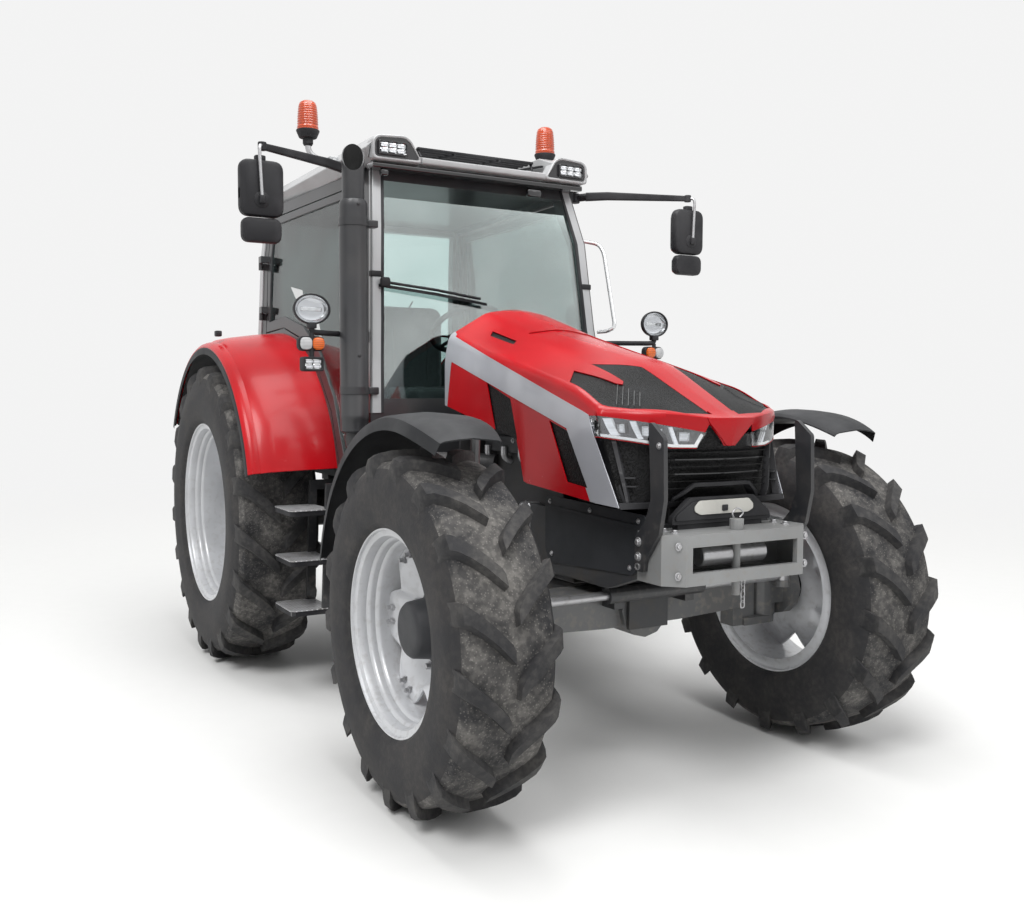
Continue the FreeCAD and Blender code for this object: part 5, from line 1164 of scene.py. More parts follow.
@dataclass
class SoftForms(Assembly):
    """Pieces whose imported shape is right: each gets rounded edges and its finish."""

    forms: Sequence[SoftForm]
    flat: float = 2.0
    weld: float = 0.02

    def build(self) -> None:
        """Build a rounded piece over each node."""
        for form in self.forms:
            source = bpy.data.objects[form.node].data
            mesh = bpy.data.meshes.new(form.node + "_dress")
            draft = bmesh.new()
            draft.from_mesh(source)
            bmesh.ops.remove_doubles(draft, verts=draft.verts, dist=self.weld * MM)
            bmesh.ops.dissolve_limit(
                draft, angle_limit=math.radians(self.flat), verts=draft.verts, edges=draft.edges,
                delimit=set()
            )
            for face in draft.faces:
                face.material_index = 0
            draft.to_mesh(mesh)
            draft.free()
            dressed(form.node + "_dress", mesh, form.body, (form.finish,), (form.node,), form.edge)


@dataclass(frozen=True)
class Tyre:
    """A lugged tyre: a turned carcass with beaded sides and two rows of slanted lugs."""

    radius: float
    half_width: float
    seat: float
    lugs: int
    depth: float
    width: float
    slant: float = 44.0
    sides: int = 120
    lug_in: float = 0.06
    lug_out: float = 0.962
    crest_drop: float = 1.6

    def carcass(self) -> list[tuple[float, float]]:
        """The carcass's outline on one side, from the bead to the middle of the tread.

        Returns:
            (across, radius) points.
        """
        wide = self.half_width
        base = self.radius - self.depth
        wall = base - self.seat
        return [
            (0.83 * wide, self.seat + 21), (0.875 * wide, self.seat + 25),
            (0.915 * wide, self.seat + 0.13 * wall),
            (0.95 * wide, self.seat + 0.16 * wall), (0.965 * wide, self.seat + 0.27 * wall),
            (0.99 * wide, self.seat + 0.42 * wall), (1.0 * wide, self.seat + 0.56 * wall),
            (0.985 * wide, self.seat + 0.70 * wall), (0.965 * wide, self.seat + 0.74 * wall),
            (0.955 * wide, self.seat + 0.80 * wall), (0.90 * wide, self.seat + 0.91 * wall),
            (0.80 * wide, base - 2), (0.60 * wide, base + 4), (0.30 * wide, base + 7), (0.0, base + 8),
        ]

    def lug(self, side: int, turn: float) -> list[Ring]:
        """The sections of one lug from the middle of the tread over the shoulder.

        Args:
            side: 1 for the outer row and -1 for the inner one.
            turn: Its angle on the tyre.

        Returns:
            The sections, each with six corners.
        """
        lean = math.tan(math.radians(self.slant))
        inner, outer = self.lug_in * self.half_width, self.lug_out * self.half_width
        crest = self.radius - self.crest_drop
        rows = []
        for part, drop, wide, sink in (
            (0.0, 2.0, 0.80, 0.35), (0.06, 0.0, 1.0, 0.35), (0.35, 0.5, 1.0, 0.35), (0.62, 3.0, 1.04, 0.4),
            (0.84, 10.0, 1.14, 0.8), (0.95, 22.0, 1.22, 1.2), (1.0, 48.0, 1.20, 1.7), (1.0, 84.0, 1.0, 2.3),
            (0.985, 104.0, 0.86, 2.7),
        ):
            across = blend(inner, outer, part)
            drift = (0.5 - part ** 0.82) * (outer - inner) * lean
            top = crest - drop * self.depth / 44.0
            foot = min(self.radius - self.depth * (1.0 + sink), top - 6.0)
            half = wide * self.width / 2
            corners = []
            for along, radius in ((-1.34, foot), (-1.12, blend(foot, top, 0.6)), (-0.86, top), (0.86, top),
                                  (1.12, blend(foot, top, 0.6)), (1.34, foot)):
                angle = math.radians(turn) - (drift - along * half) / self.radius
                corners.append(Vector((radius * math.cos(angle), side * across, radius * math.sin(angle))))
            rows.append(corners)
        return rows

    def draft(self, centre: Point) -> Draft:
        """The tyre's draft: side walls marked 0, lugs 1 and the ground between them 2.

        Args:
            centre: The wheel's middle.

        Returns:
            The draft.
        """
        made = Draft()
        half = self.carcass()
        mirror = [(-across, radius) for across, radius in reversed(half[:-1])]
        made.turned(Axis.Y, centre, half[:11] + [half[11]], self.sides, 0)
        made.turned(Axis.Y, centre, half[11:] + mirror[:4], self.sides, 2)
        made.turned(Axis.Y, centre, mirror[3:], self.sides, 0)
        made.turned(Axis.Y, centre, [mirror[-1], (half[0][0], half[0][1])], self.sides, 0)
        pitch = 360.0 / self.lugs
        for number in range(self.lugs):
            for side, start in ((1, 0.0), (-1, 0.5)):
                rows = [
                    [Vector(centre) + spot for spot in ring]
                    for ring in self.lug(side, (number + start) * pitch)
                ]
                made.loft(rows, 1)
        return made


@dataclass(frozen=True)
class Rim:
    """A pressed rim with a ribbed barrel and a dished disc."""

    flange: float
    seat: float
    half_width: float
    disc_out: float
    disc_in: float
    hub_radius: float
    lobes: int
    cap_radius: float
    cap_out: float
    wall: float = 10.0
    sides: int = 96
    disc_steps: int = 144
    notch: float = 0.27
    bolts: int = 8
    bolt_out: float = 26.0
    nut_in: float = 62.0
    nut_lean: float = 5.5

    def draft(self, centre: Point, side: int) -> Draft:
        """The rim's draft.

        Args:
            centre: The wheel's middle.
            side: 1 for a wheel on the left and -1 for one on the right.

        Returns:
            The draft, with the rim marked 0, its hub cover 1 and its bolts 2.
        """
        half, seat = self.half_width, self.seat - self.wall
        barrel = [
            (half - 4, self.flange), (half, self.flange - 3), (half - 1, self.flange - 9),
            (half - 11, self.flange - 12),
            (half - 17, seat + 4), (half - 30, seat - 1), (half - 52, seat - 3), (half - 58, seat - 12),
            (half - 66, seat - 15), (half - 84, seat - 16), (half - 90, seat - 24), (half - 100, seat - 27),
            (self.disc_out + 20, seat - 29), (self.disc_out - 20, seat - 30), (10 - half, seat - 22),
            (17 - half, seat + 2), (11 - half, self.flange - 12), (1 - half, self.flange - 9),
            (-half, self.flange - 3), (4 - half, self.flange),
        ]
        outside = [
            (-half + 14, self.flange), (-half + 16, self.seat - 1), (half - 16, self.seat - 1),
            (half - 14, self.flange)
        ]
        made = Draft()
        made.turned(
            Axis.Y, centre, [(side * across, radius) for across, radius in barrel + outside], self.sides, 0,
            round_up=True
        )
        self.disc(made, centre, side)
        self.middle(made, centre, side)
        return made

    def disc(self, made: Draft, centre: Point, side: int) -> None:
        """Add the dished disc, whose edge has lobes that reach the barrel.

        Args:
            made: The draft to add to.
            centre: The wheel's middle.
            side: 1 for a wheel on the left and -1 for one on the right.
        """
        reach = self.seat - self.wall - 30
        front, back = [], []
        rows = ((1.0, self.disc_out), (0.93, self.disc_out + 2), (0.86, self.disc_out - 4),
                (0.66, self.disc_in + 14),
                (0.52, self.disc_in + 2), (0.30, self.disc_in))
        for step in range(self.disc_steps):
            angle = 2 * math.pi * step / self.disc_steps
            wave = 0.5 + 0.5 * math.cos(self.lobes * angle) if self.lobes else 1.0
            pinch = 1.0 - self.notch * (1.0 - min(1.0, 1.9 * wave) ** 0.7) if self.lobes else 1.0
            ring, rear = [], []
            for share, across in rows:
                radius = reach * (1.0 - (1.0 - pinch) * max(0.0, (share - 0.5) / 0.5)) * share
                spot = Vector((radius * math.cos(angle), side * across, radius * math.sin(angle)))
                ring.append(Vector(centre) + spot)
                rear.append(Vector(centre) + spot + Vector((0, -side * self.wall, 0)))
            front.append(ring)
            back.append(rear)
        rings = [ring + list(reversed(rear)) for ring, rear in zip(front, back)]
        made.loft(rings, 0, True, False, True)

    def middle(self, made: Draft, centre: Point, side: int) -> None:
        """Add the hub cover and the bolts round it, and the clamps of a lobed disc.

        Args:
            made: The draft to add to.
            centre: The wheel's middle.
            side: 1 for a wheel on the left and -1 for one on the right.
        """
        inner, out, cap = self.disc_in, self.cap_out, self.cap_radius
        cover = [
            (inner - 4, self.hub_radius), (inner + 10, self.hub_radius - 4), (inner + 14, cap + 18),
            (out - 16, cap + 4),
            (out - 4, cap - 6), (out, cap - 24), (out, 22), (out + 0.2, 0.5),
        ]
        made.turned(Axis.Y, centre, [(side * across, radius) for across, radius in cover], 60, 1)
        for number in range(self.bolts):
            angle = 2 * math.pi * (number + 0.5) / self.bolts
            spoke = Vector((math.cos(angle), 0, math.sin(angle)))
            spot = Vector(centre) + spoke * (self.hub_radius + self.bolt_out)
            bolt = [
                (inner, 19), (inner + 5, 18), (inner + 5, 13), (inner + 22, 12), (inner + 24, 8),
                (inner + 24, 0.5)
            ]
            made.turned(Axis.Y, spot, [(side * across, radius) for across, radius in bolt], 6, 2)
        for number in range(self.lobes):
            for lean in (-self.nut_lean, self.nut_lean):
                angle = math.radians(360.0 * number / self.lobes + lean)
                spoke = Vector((math.cos(angle), 0, math.sin(angle)))
                spot = Vector(centre) + spoke * (self.seat - self.wall - self.nut_in)
                nut = [(self.disc_out - 6, 15), (self.disc_out + 8, 14), (self.disc_out + 8, 9),
                       (self.disc_out + 24, 8.5),
                       (self.disc_out + 24, 0.5)]
                made.turned(Axis.Y, spot, [(side * across, radius) for across, radius in nut], 6, 2)


@dataclass
class Wheels(Assembly):
    """Four wheels, each with its tyre and rim on the body that rolls."""

    front_x: float = 1500.0
    rear_x: float = -1050.0
    front_track: float = 918.0
    rear_track: float = 930.0
    front_tyre: Tyre = Tyre(radius=664, half_width=192, seat=356, lugs=17, depth=46, width=60)
    rear_tyre: Tyre = Tyre(radius=842, half_width=232, seat=483, lugs=19, depth=52, width=70)
    front_rim: Rim = Rim(
        flange=381, seat=356, half_width=165, disc_out=26, disc_in=-36, hub_radius=150, lobes=6,
        cap_radius=100,
        cap_out=92,
    )
    rear_rim: Rim = Rim(
        flange=508, seat=483, half_width=203, disc_out=-34, disc_in=-58, hub_radius=150, lobes=0,
        cap_radius=84,
        cap_out=8,
    )

    def build(self) -> None:
        """Build each wheel."""
        for end, x, track, tyre, rim in (
            ("front", self.front_x, self.front_track, self.front_tyre, self.front_rim),
            ("rear", self.rear_x, self.rear_track, self.rear_tyre, self.rear_rim),
        ):
            for name, side in (("left", 1), ("right", -1)):
                body = "wheel_%s_%s" % (end, name)
                centre = Vector((x, side * track, tyre.radius))
                tyre.draft(centre).made(
                    "%s_tyre_%s_lugged" % (end, name), body, SIDEWALL, TREAD, GROOVE,
                    stands_for=("%s_tyre_%s" % (end, name),), slot="tyre",
                )
                rim.draft(centre, side).made(
                    "%s_rim_%s_pressed" % (end, name), body, RIM_SILVER, HUB_COVER, STEEL,
                    stands_for=("%s_rim_%s" % (end, name),), slot="silver_paint",
                )


@dataclass(frozen=True)
class BonnetForm:
    """The bonnet's outer surface: a roofline, flank lines that taper forward and a bow at the front."""

    rear: float = 545.0
    corner: float = 1850.0
    crown_half: float = 55.0
    crown_drop: float = 3.0
    chin_top: float = 1172.0
    chin_low: float = 1119.0
    side_ribs: int = 44
    front_ribs: int = 34
    bow_steps: int = 61
    weld: float = 0.4
    roofline: Sequence[tuple[float, float]] = (
        (545, 1938), (941, 1815), (1640, 1662), (1860, 1552), (2107, 1434)
    )
    edge_out: Sequence[tuple[float, float]] = (
        (545, 165), (941, 168), (1166, 184), (1477, 214), (1750, 235), (1990, 205), (2108, 190),
    )
    edge_top: Sequence[tuple[float, float]] = (
        (545, 1915), (941, 1797), (1640, 1606), (1860, 1530), (2108, 1440)
    )
    shoulder_out: Sequence[tuple[float, float]] = ((545, 362), (2108, 424))
    shoulder_top: Sequence[tuple[float, float]] = ((545, 1800), (1700, 1546), (1850, 1474), (2108, 1420))
    waist_out: Sequence[tuple[float, float]] = ((545, 385), (2108, 430))
    waist_top: Sequence[tuple[float, float]] = ((545, 1690), (1850, 1402), (2108, 1370))
    foot_out: Sequence[tuple[float, float]] = ((545, 385), (2108, 402))
    low_edge: Sequence[tuple[float, float]] = (
        (545, 1470), (1222, 1337), (1238, 1330), (1282, 1172), (1296, 1164), (1960, 1120),
    )
    bow: Sequence[tuple[float, float]] = ((1850, 424), (1985, 320), (2058, 200), (2100, 80), (2109, 0))
    corner_x: Sequence[tuple[float, float]] = ((1119, 1962), (1400, 1850))
    corner_out: Sequence[tuple[float, float]] = ((1119, 395), (1400, 420), (1474, 424))
    middle_x: Sequence[tuple[float, float]] = (
        (1119, 1992), (1172, 2046), (1353, 2088), (1430, 2108), (1474, 2109)
    )

    def bow_spots(self, count: int) -> list[tuple[Vector, Vector]]:
        """Points round the front from the right-angle corner to the middle, each with its outward direction.

        Args:
            count: How many points.

        Returns:
            Pairs of a point on the plan and its outward direction.
        """
        path = even(eased([(x, y, 0) for x, y in self.bow], 90), count)
        out = []
        for number, spot in enumerate(path):
            along = path[min(number + 1, count - 1)] - path[max(number - 1, 0)]
            out.append((spot, Vector((-along.y, along.x, 0)).normalized()))
        out[-1] = (path[-1], Vector((1, 0, 0)))
        return out

    def top(self, x: float, y: float) -> float:
        """Height of the top surface over a point of the plan.

        Args:
            x: The point's place along the bonnet.
            y: Its distance from the middle.

        Returns:
            The height.
        """
        crown = soft_table(self.roofline, x, 70)
        edge_y = along_table(self.edge_out, x)
        edge = soft_table(self.edge_top, x, 40)
        if y <= self.crown_half:
            return crown - self.crown_drop * (y / self.crown_half) ** 2
        if y <= edge_y:
            return blend(crown - self.crown_drop, edge, (y - self.crown_half) / (edge_y - self.crown_half))
        side_y = along_table(self.shoulder_out, x)
        side = soft_table(self.shoulder_top, x, 50)
        return blend(edge, side, min(1.0, (y - edge_y) / (side_y - edge_y)))

    def column(self, x: float, border: Vector, part: float = 0.0) -> Ring:
        """One rib of the left half, from the middle of the top down to the lower edge.

        Args:
            x: Its place along the bonnet.
            border: The point of the plan where the top turns down.
            part: For a rib of the front wall, its place as front() counts it.

        Returns:
            As many points for each rib, with its creases rounded.
        """
        wide = max(border.y, 1.0)
        crown = min(self.crown_half, 0.42 * wide)
        edge = min(along_table(self.edge_out, x), 0.74 * wide)
        lip = self.top(x, wide)
        keys = [Vector((x, y, self.top(x, y))) for y in (0.0, crown, edge)] + [
            Vector((border.x, border.y, lip))
        ]
        if x <= self.corner:
            keys.append(Vector((x, along_table(self.waist_out, x), soft_table(self.waist_top, x, 40))))
            keys.append(Vector((x, along_table(self.foot_out, x), along_table(self.low_edge, x))))
        else:
            keys.append(self.front(part, blend(lip, self.chin_top, 0.35)))
            keys.append(self.front(part, self.chin_top).lerp(self.front(part, self.chin_low), 0.9))
        corners = [keys[0]]
        for before, key, after, near in zip(keys, keys[1:], keys[2:], (16, 22, 20, 30)):
            short = min(near, 0.4 * (key - before).length, 0.4 * (after - key).length)
            corners += [key + (before - key).normalized() * short,
                        key.lerp((before + after) / 2, 0.12 * short / 30),
                        key + (after - key).normalized() * short]
        corners.append(keys[-1])
        rib = []
        for number, (start, end) in enumerate(zip(corners, corners[1:])):
            steps = (3, 1, 1, 5, 1, 1, 5, 1, 1, 4, 1, 1, 8)[number] if number < 13 else 1
            rib += [start.lerp(end, step / steps) for step in range(steps)]
        return rib + [corners[-1]]

    def skin(self) -> bmesh.types.BMesh:
        """The whole outer surface as an open sheet, in millimetres.

        Returns:
            The sheet, whose faces look outwards.
        """
        straight = [blend(self.rear, self.corner, step / self.side_ribs) for step in range(self.side_ribs)]
        ribs = []
        for x in straight:
            ribs.append(self.column(x, Vector((x, along_table(self.shoulder_out, x), 0))))
        for number, (spot, _) in enumerate(self.bow_spots(self.front_ribs)):
            ribs.append(self.column(max(spot.x, self.corner + 0.1), spot, number / (self.front_ribs - 1)))
        sheet = bmesh.new()
        for side in (1, -1):
            rows = [[sheet.verts.new((spot.x, side * spot.y, spot.z)) for spot in rib] for rib in ribs]
            for row, after in zip(rows, rows[1:]):
                for here in range(len(row) - 1):
                    corners = [row[here], row[here + 1], after[here + 1], after[here]]
                    sheet.faces.new(corners if side > 0 else list(reversed(corners)))
        bmesh.ops.remove_doubles(sheet, verts=sheet.verts, dist=self.weld)
        bmesh.ops.recalc_face_normals(sheet, faces=sheet.faces)
        sheet.faces.ensure_lookup_table()
        roof = max(sheet.faces, key=lambda face: face.calc_center_median().z)
        if roof.normal.z < 0:
            bmesh.ops.reverse_faces(sheet, faces=sheet.faces)
        return sheet

    def share(self, out: float) -> float:
        """Where on the front wall a distance from the middle lies.

        Args:
            out: The distance.

        Returns:
            The place as front() counts it.
        """
        spots = [spot for spot, _ in self.bow_spots(self.bow_steps)]
        for number, (spot, after) in enumerate(zip(spots, spots[1:])):
            if spot.y >= out >= after.y:
                return (number + (spot.y - out) / (spot.y - after.y)) / (len(spots) - 1)
        return 1.0 if out < 10.0 else 0.0

    def wall(self, out: float, height: float, inset: float = 0.0) -> Vector:
        """A point on the left front wall at a distance from the middle."""
        return self.front(self.share(out), height, inset)

    def front(self, part: float, height: float, inset: float = 0.0) -> Vector:
        """A point on the left front wall.

        Args:
            part: 0 at the outer corner and 1 in the middle.
            height: Its height.
            inset: How far it lies inside the wall.

        Returns:
            The point.
        """
        spots = self.bow_spots(self.bow_steps)
        place = part * (len(spots) - 1)
        near = min(int(place), len(spots) - 2)
        spot = spots[near][0].lerp(spots[near + 1][0], place - near)
        outward = spots[near][1].lerp(spots[near + 1][1], place - near).normalized()
        corner, middle = along_table(self.corner_x, height), along_table(self.middle_x, height)
        (start, _), (end, _) = self.bow[0], self.bow[-1]
        x = corner + (spot.x - start) * (middle - corner) / (end - start)
        y = spot.y * along_table(self.corner_out, height) / self.bow[0][1]
        return Vector((x - outward.x * inset, max(y - outward.y * inset, 0.0), height))


def carve(
    sheet: bmesh.types.BMesh, outline: Sequence[Point], seen: Seen, mark: int,
    fits: Callable[[bmesh.types.BMFace], bool],
) -> None:
    """Cut a convex outline into a surface and mark the faces inside it.

    Args:
        sheet: The surface.
        outline: The outline's corners in the view, in either order.
        seen: The side that it is drawn from.
        mark: The mark for the faces inside.
        fits: Which faces may be cut at all.
    """
    def spot(pair: Point) -> Vector:
        """A corner of the outline in space.

        Args:
            pair: The corner in the view.

        Returns:
            The point.
        """
        parts = {
            Seen.SIDE: (pair[0], 0, pair[1]), Seen.TOP: (pair[0], pair[1], 0),
            Seen.FRONT: (0, pair[0], pair[1])
        }
        return Vector(parts[seen])

    corners = [spot(pair) for pair in outline]
    middle = sum(corners, Vector()) / len(corners)
    inside = [face for face in sheet.faces if fits(face)]
    for start, end in zip(corners, corners[1:] + corners[:1]):
        away = (end - start).cross(seen.value.value)
        if away.dot(middle - start) > 0:
            away.negate()
        away.normalize()
        geometry = list({part for face in inside for part in (face, *face.edges, *face.verts)})
        cut = bmesh.ops.bisect_plane(sheet, geom=geometry, plane_co=start, plane_no=away, dist=0.01)
        inside = [
            part for part in cut["geom"]
            if isinstance(part, bmesh.types.BMFace) and (part.calc_center_median() - start).dot(away) <= 0
        ]
    for face in inside:
        face.material_index = mark


class Panel(Enum):
    """The bonnet's kinds of panel, by mark."""

    RED = 0
    BAND = 1
    VENT = 2
    TOP_MESH = 3
    LAMP = 4
    GRILLE = 5
    SPINE = 6


@dataclass
class Bonnet(Assembly):
    """The tilting bonnet: red panels, silver bands, vents, mesh inserts, headlights and grille."""

    form: BonnetForm = BonnetForm()
    gap: float = 2.0
    sheet: float = 4.0
    # Depth and thickness of the dark sheet inside the bonnet, which is painted shade seen through the gaps.
    shade_sheet_in: float = 34.0
    shade_sheet_wall: float = 3.0
    thin_lines: Sequence[float] = (1188, 1214, 1240, 1266, 1292, 1318)
    thick_lines: Sequence[float] = (1240, 1292)
    bands: Sequence[Sequence[Point]] = (
        ((500, 1817), (1745, 1466), (1800, 1440), (1640, 1398), (500, 1703)),
        ((1640, 1398), (1745, 1466), (1790, 1452), (1968, 1100), (1797, 1100)),
        ((500, 1830), (592, 1800), (618, 1690), (560, 1430), (500, 1430)),
    )
    vents: Sequence[Sequence[Point]] = (
        ((975, 1574), (1190, 1505), (1236, 1334), (1040, 1362)),
        ((1508, 1424), (1645, 1388), (1768, 1180), (1622, 1192)),
    )
    top_mesh: Sequence[Point] = (
        (1484, 207), (1584, 134), (1663, 83), (2058, 61), (2050, 178), (1936, 334), (1846, 392), (1610, 382),
        (1505, 292),
    )
    eyebrow: Sequence[Point] = ((1460, 208), (1736, 222), (1756, 240), (1735, 256), (1490, 300))
    spine: Sequence[Sequence[Point]] = (
        ((941, -1), (941, 168), (1166, 184), (1484, 209), (1484, -1)),
        ((1484, -1), (1484, 209), (1584, 136), (1584, -1)),
        ((1584, -1), (1584, 136), (1663, 85), (1663, -1)), ((1663, -1), (1663, 85), (2030, 64), (2030, -1)),
    )
    slot: Sequence[Point] = ((762, 250), (972, 246), (1000, 276), (798, 282))
    lamp: Sequence[Point] = (
        (106, 1391), (295, 1430), (417, 1449), (455, 1456), (455, 1380), (304, 1352), (225, 1338), (133, 1336)
    )
    bezel: Sequence[Point] = ((24, 1340), (99, 1426), (133, 1334))
    grille: Sequence[Sequence[Point]] = (
        ((-1, 1345), (133, 1334), (133, 1050), (-1, 1050)),
        ((133, 1334), (225, 1336), (225, 1050), (133, 1050)),
        ((225, 1336), (304, 1350), (304, 1050), (225, 1050)),
        ((304, 1350), (470, 1381), (470, 1050), (304, 1050)),
    )
    lamp_top: Sequence[Point] = ((100, 1386), (295, 1427), (417, 1446))
    lamp_low: Sequence[Point] = ((133, 1340), (225, 1341), (304, 1355), (427, 1378))

    def build(self) -> None:
        """Cut the surface into panels, then dress them."""
        surface = self.form.skin()

        def flank(face: bmesh.types.BMFace) -> bool:
            """Whether a face is on a side wall."""
            return abs(face.normal.y) > 0.35 and abs(face.calc_center_median().y) > 240

        def upper(side: int, mark: Panel) -> Callable[[bmesh.types.BMFace], bool]:
            """A test for faces of the top on one side that have a mark.

            Args:
                side: 1 for the left and -1 for the right.
                mark: The mark.

            Returns:
                The test.
            """
            def fits(face: bmesh.types.BMFace) -> bool:
                """Whether a face is one of them."""
                middle = face.calc_center_median()
                return face.normal.z > 0.35 and side * middle.y > 0 and face.material_index == mark.value

            return fits

        def nose(side: int) -> Callable[[bmesh.types.BMFace], bool]:
            """A test for unmarked faces of the front wall on one side.

            Args:
                side: 1 for the left and -1 for the right.

            Returns:
                The test.
            """
            def fits(face: bmesh.types.BMFace) -> bool:
                """Whether a face is one of them.

                Args:
                    face: The face.

                Returns:
                    Whether it is.
                """
                middle = face.calc_center_median()
                ahead = middle.x > 1790 and side * middle.y > -0.5
                return face.normal.z < 0.45 and ahead and face.material_index == 0

            return fits

        for outline in self.bands:
            carve(surface, outline, Seen.SIDE, Panel.BAND.value, flank)
        for outline in self.vents:
            carve(surface, outline, Seen.SIDE, Panel.VENT.value, flank)
        for side in (1, -1):
            for outlines, kind, fits in (
                ((self.top_mesh,), Panel.TOP_MESH, upper(side, Panel.RED)),
                ((self.eyebrow,), Panel.RED, upper(side, Panel.TOP_MESH)),
                ((self.slot,), Panel.VENT, upper(side, Panel.RED)),
                (self.spine, Panel.SPINE, upper(side, Panel.RED)),
            ):
                for outline in outlines:
                    carve(surface, [(x, side * y) for x, y in outline], Seen.TOP, kind.value, fits)
            for outlines, kind in (((self.lamp,), Panel.LAMP), ((*self.grille, self.bezel), Panel.GRILLE)):
                for outline in outlines:
                    carve(surface, [(side * y, z) for y, z in outline], Seen.FRONT, kind.value, nose(side))
        self.panel(surface, Panel.RED, "bonnet_red_panels", RED, 0.0, ("hood_shell",), "red_paint")
        self.panel(surface, Panel.SPINE, "bonnet_spine_panel", RED, -5.0, (), "red_paint")
        self.panel(
            surface, Panel.BAND, "bonnet_silver_bands", SILVER_BAND, 1.5, ("hood_bands",), "silver_paint"
        )
        self.panel(surface, Panel.VENT, "bonnet_vents", MESH, -8.0, ("hood_meshes",), "black_plastic")
        self.panel(surface, Panel.TOP_MESH, "bonnet_top_meshes", TOP_MESH, -6.0, (), "black_plastic")
        self.panel(
            surface, Panel.GRILLE, "grille_backing", GRILLE_MESH, -24.0, ("front_grille",), "black_plastic"
        )
        self.panel(surface, Panel.LAMP, "headlight_glass", LAMP_GLASS, -1.0, ("headlights",), "glass", 0.8)
        self.shade_sheet(surface)
        surface.free()
        self.grille_parts()
        self.headlights()
        self.nose_mark()
        self.louvres()

    def panel(
        self, surface: bmesh.types.BMesh, kind: Panel, name: str, finish: Finish, raised: float,
        stands_for: Sequence[str], slot: str, gap: float = 0.0,
    ) -> None:
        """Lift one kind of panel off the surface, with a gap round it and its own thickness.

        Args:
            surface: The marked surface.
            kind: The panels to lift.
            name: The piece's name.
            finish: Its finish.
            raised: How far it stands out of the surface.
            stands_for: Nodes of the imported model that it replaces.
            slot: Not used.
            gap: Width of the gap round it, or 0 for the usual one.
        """
        part = surface.copy()
        bmesh.ops.delete(
            part, geom=[face for face in part.faces if face.material_index != kind.value], context="FACES"
        )
        ring = bmesh.ops.inset_region(
            part, faces=part.faces, thickness=gap or self.gap, use_even_offset=False
        )
        bmesh.ops.delete(part, geom=ring["faces"], context="FACES")
        part.normal_update()
        for spot in part.verts:
            spot.co += spot.normal * raised
            spot.co *= MM
        for face in part.faces:
            face.material_index = 0
        mesh = bpy.data.meshes.new(name)
        part.to_mesh(mesh)
        part.free()
        piece = sheet_piece(name, mesh, "hood", finish, self.sheet, stands_for)
        LOG.info("panel %s, %d faces", piece.name, len(mesh.polygons))

    def shade_sheet(self, surface: bmesh.types.BMesh) -> None:
        """Add a dark inner sheet that shows through the gaps: painted shade, standing in for the shade inside
        the bonnet.

        Args:
            surface: The bonnet's surface.
        """
        part = surface.copy()
        part.normal_update()
        for spot in part.verts:
            spot.co -= spot.normal * self.shade_sheet_in
            spot.co *= MM
        for face in part.faces:
            face.material_index = 0
        mesh = bpy.data.meshes.new("bonnet_liner")
        part.to_mesh(mesh)
        part.free()
        sheet_piece("bonnet_liner", mesh, "hood", BLACK_PLASTIC, self.shade_sheet_wall, ())

    def strip(
        self, made: Draft, path: Sequence[Point], high: float, out: float, deep: float, mark: int = 0
    ) -> None:
        """Add a bar that follows the front wall.

        Args:
            made: The draft to add to.
            path: (distance from the middle, height) of its lower edge.
            high: Its height.
            out: How far inside the wall its face lies.
            deep: How far inside the wall its back lies.
            mark: Which of the piece's finishes it has.
        """
        made.loft([
            [self.form.wall(y, z, out), self.form.wall(y, z + high, out), self.form.wall(y, z + high, deep),
             self.form.wall(y, z, deep)] for y, z in path
        ], mark)

    def grille_parts(self) -> None:
        """Add the grille's thin lines, its outer frames and the chin bar with its raised middle."""
        lines, frames = Draft(), Draft()
        spread = [424 * (1 - step / 22) for step in range(23)]
        for height in self.thin_lines:
            self.strip(lines, [(y, height) for y in spread if y < 300], 2.5, 15, 26)
        for height in self.thick_lines:
            self.strip(lines, [(y, height) for y in spread if y < 215], 4.0, 12, 26, 1)
        self.strip(frames, [(y, 1119) for y in spread], 22, 2, 30)
        self.strip(
            frames, [(y, blend(1141, 1196, min(1.0, max(0.0, (212 - y) / 80)))) for y in spread if y < 230],
            14, -8, 24
        )
        for y in (296, 398):
            for part in range(9):
                low, high = (
                    blend(1141, along_table(self.lamp_low, y) - 10, share / 9) for share in (part, part + 1)
                )
                frames.loft([[self.form.wall(side, z, 4), self.form.wall(side, z, 28)] + [
                    self.form.wall(side - 12, z, 28),
                    self.form.wall(side - 12, z, 4)] for side, z in ((y, low), (y, high))])
        for spot in ((372, 1196), (372, 1226)):
            self.strip(frames, [(spot[0] + wide, spot[1]) for wide in (18, 6, -6, -18)], 5, 8, 26)
        lines.both().made("grille_lines", "hood", GRILLE_MESH, SHIELD_GREY, slot="black_plastic")
        frames.both().made("grille_frames", "hood", BLACK_PLASTIC, edge=1.5, slot="black_plastic")

    def headlights(self) -> None:
        """Add each headlight's bowl, its bright line along the lower edge, slanted bars and lamp units."""
        bowl, bright, units = Draft(), Draft(), Draft()
        wall = self.form.wall

        def top(y: float) -> float:
            """The lamp's upper edge at a distance from the middle."""
            return along_table(self.lamp_top, y)

        def low(y: float) -> float:
            """The lamp's lower edge at a distance from the middle."""
            return along_table(self.lamp_low, y)

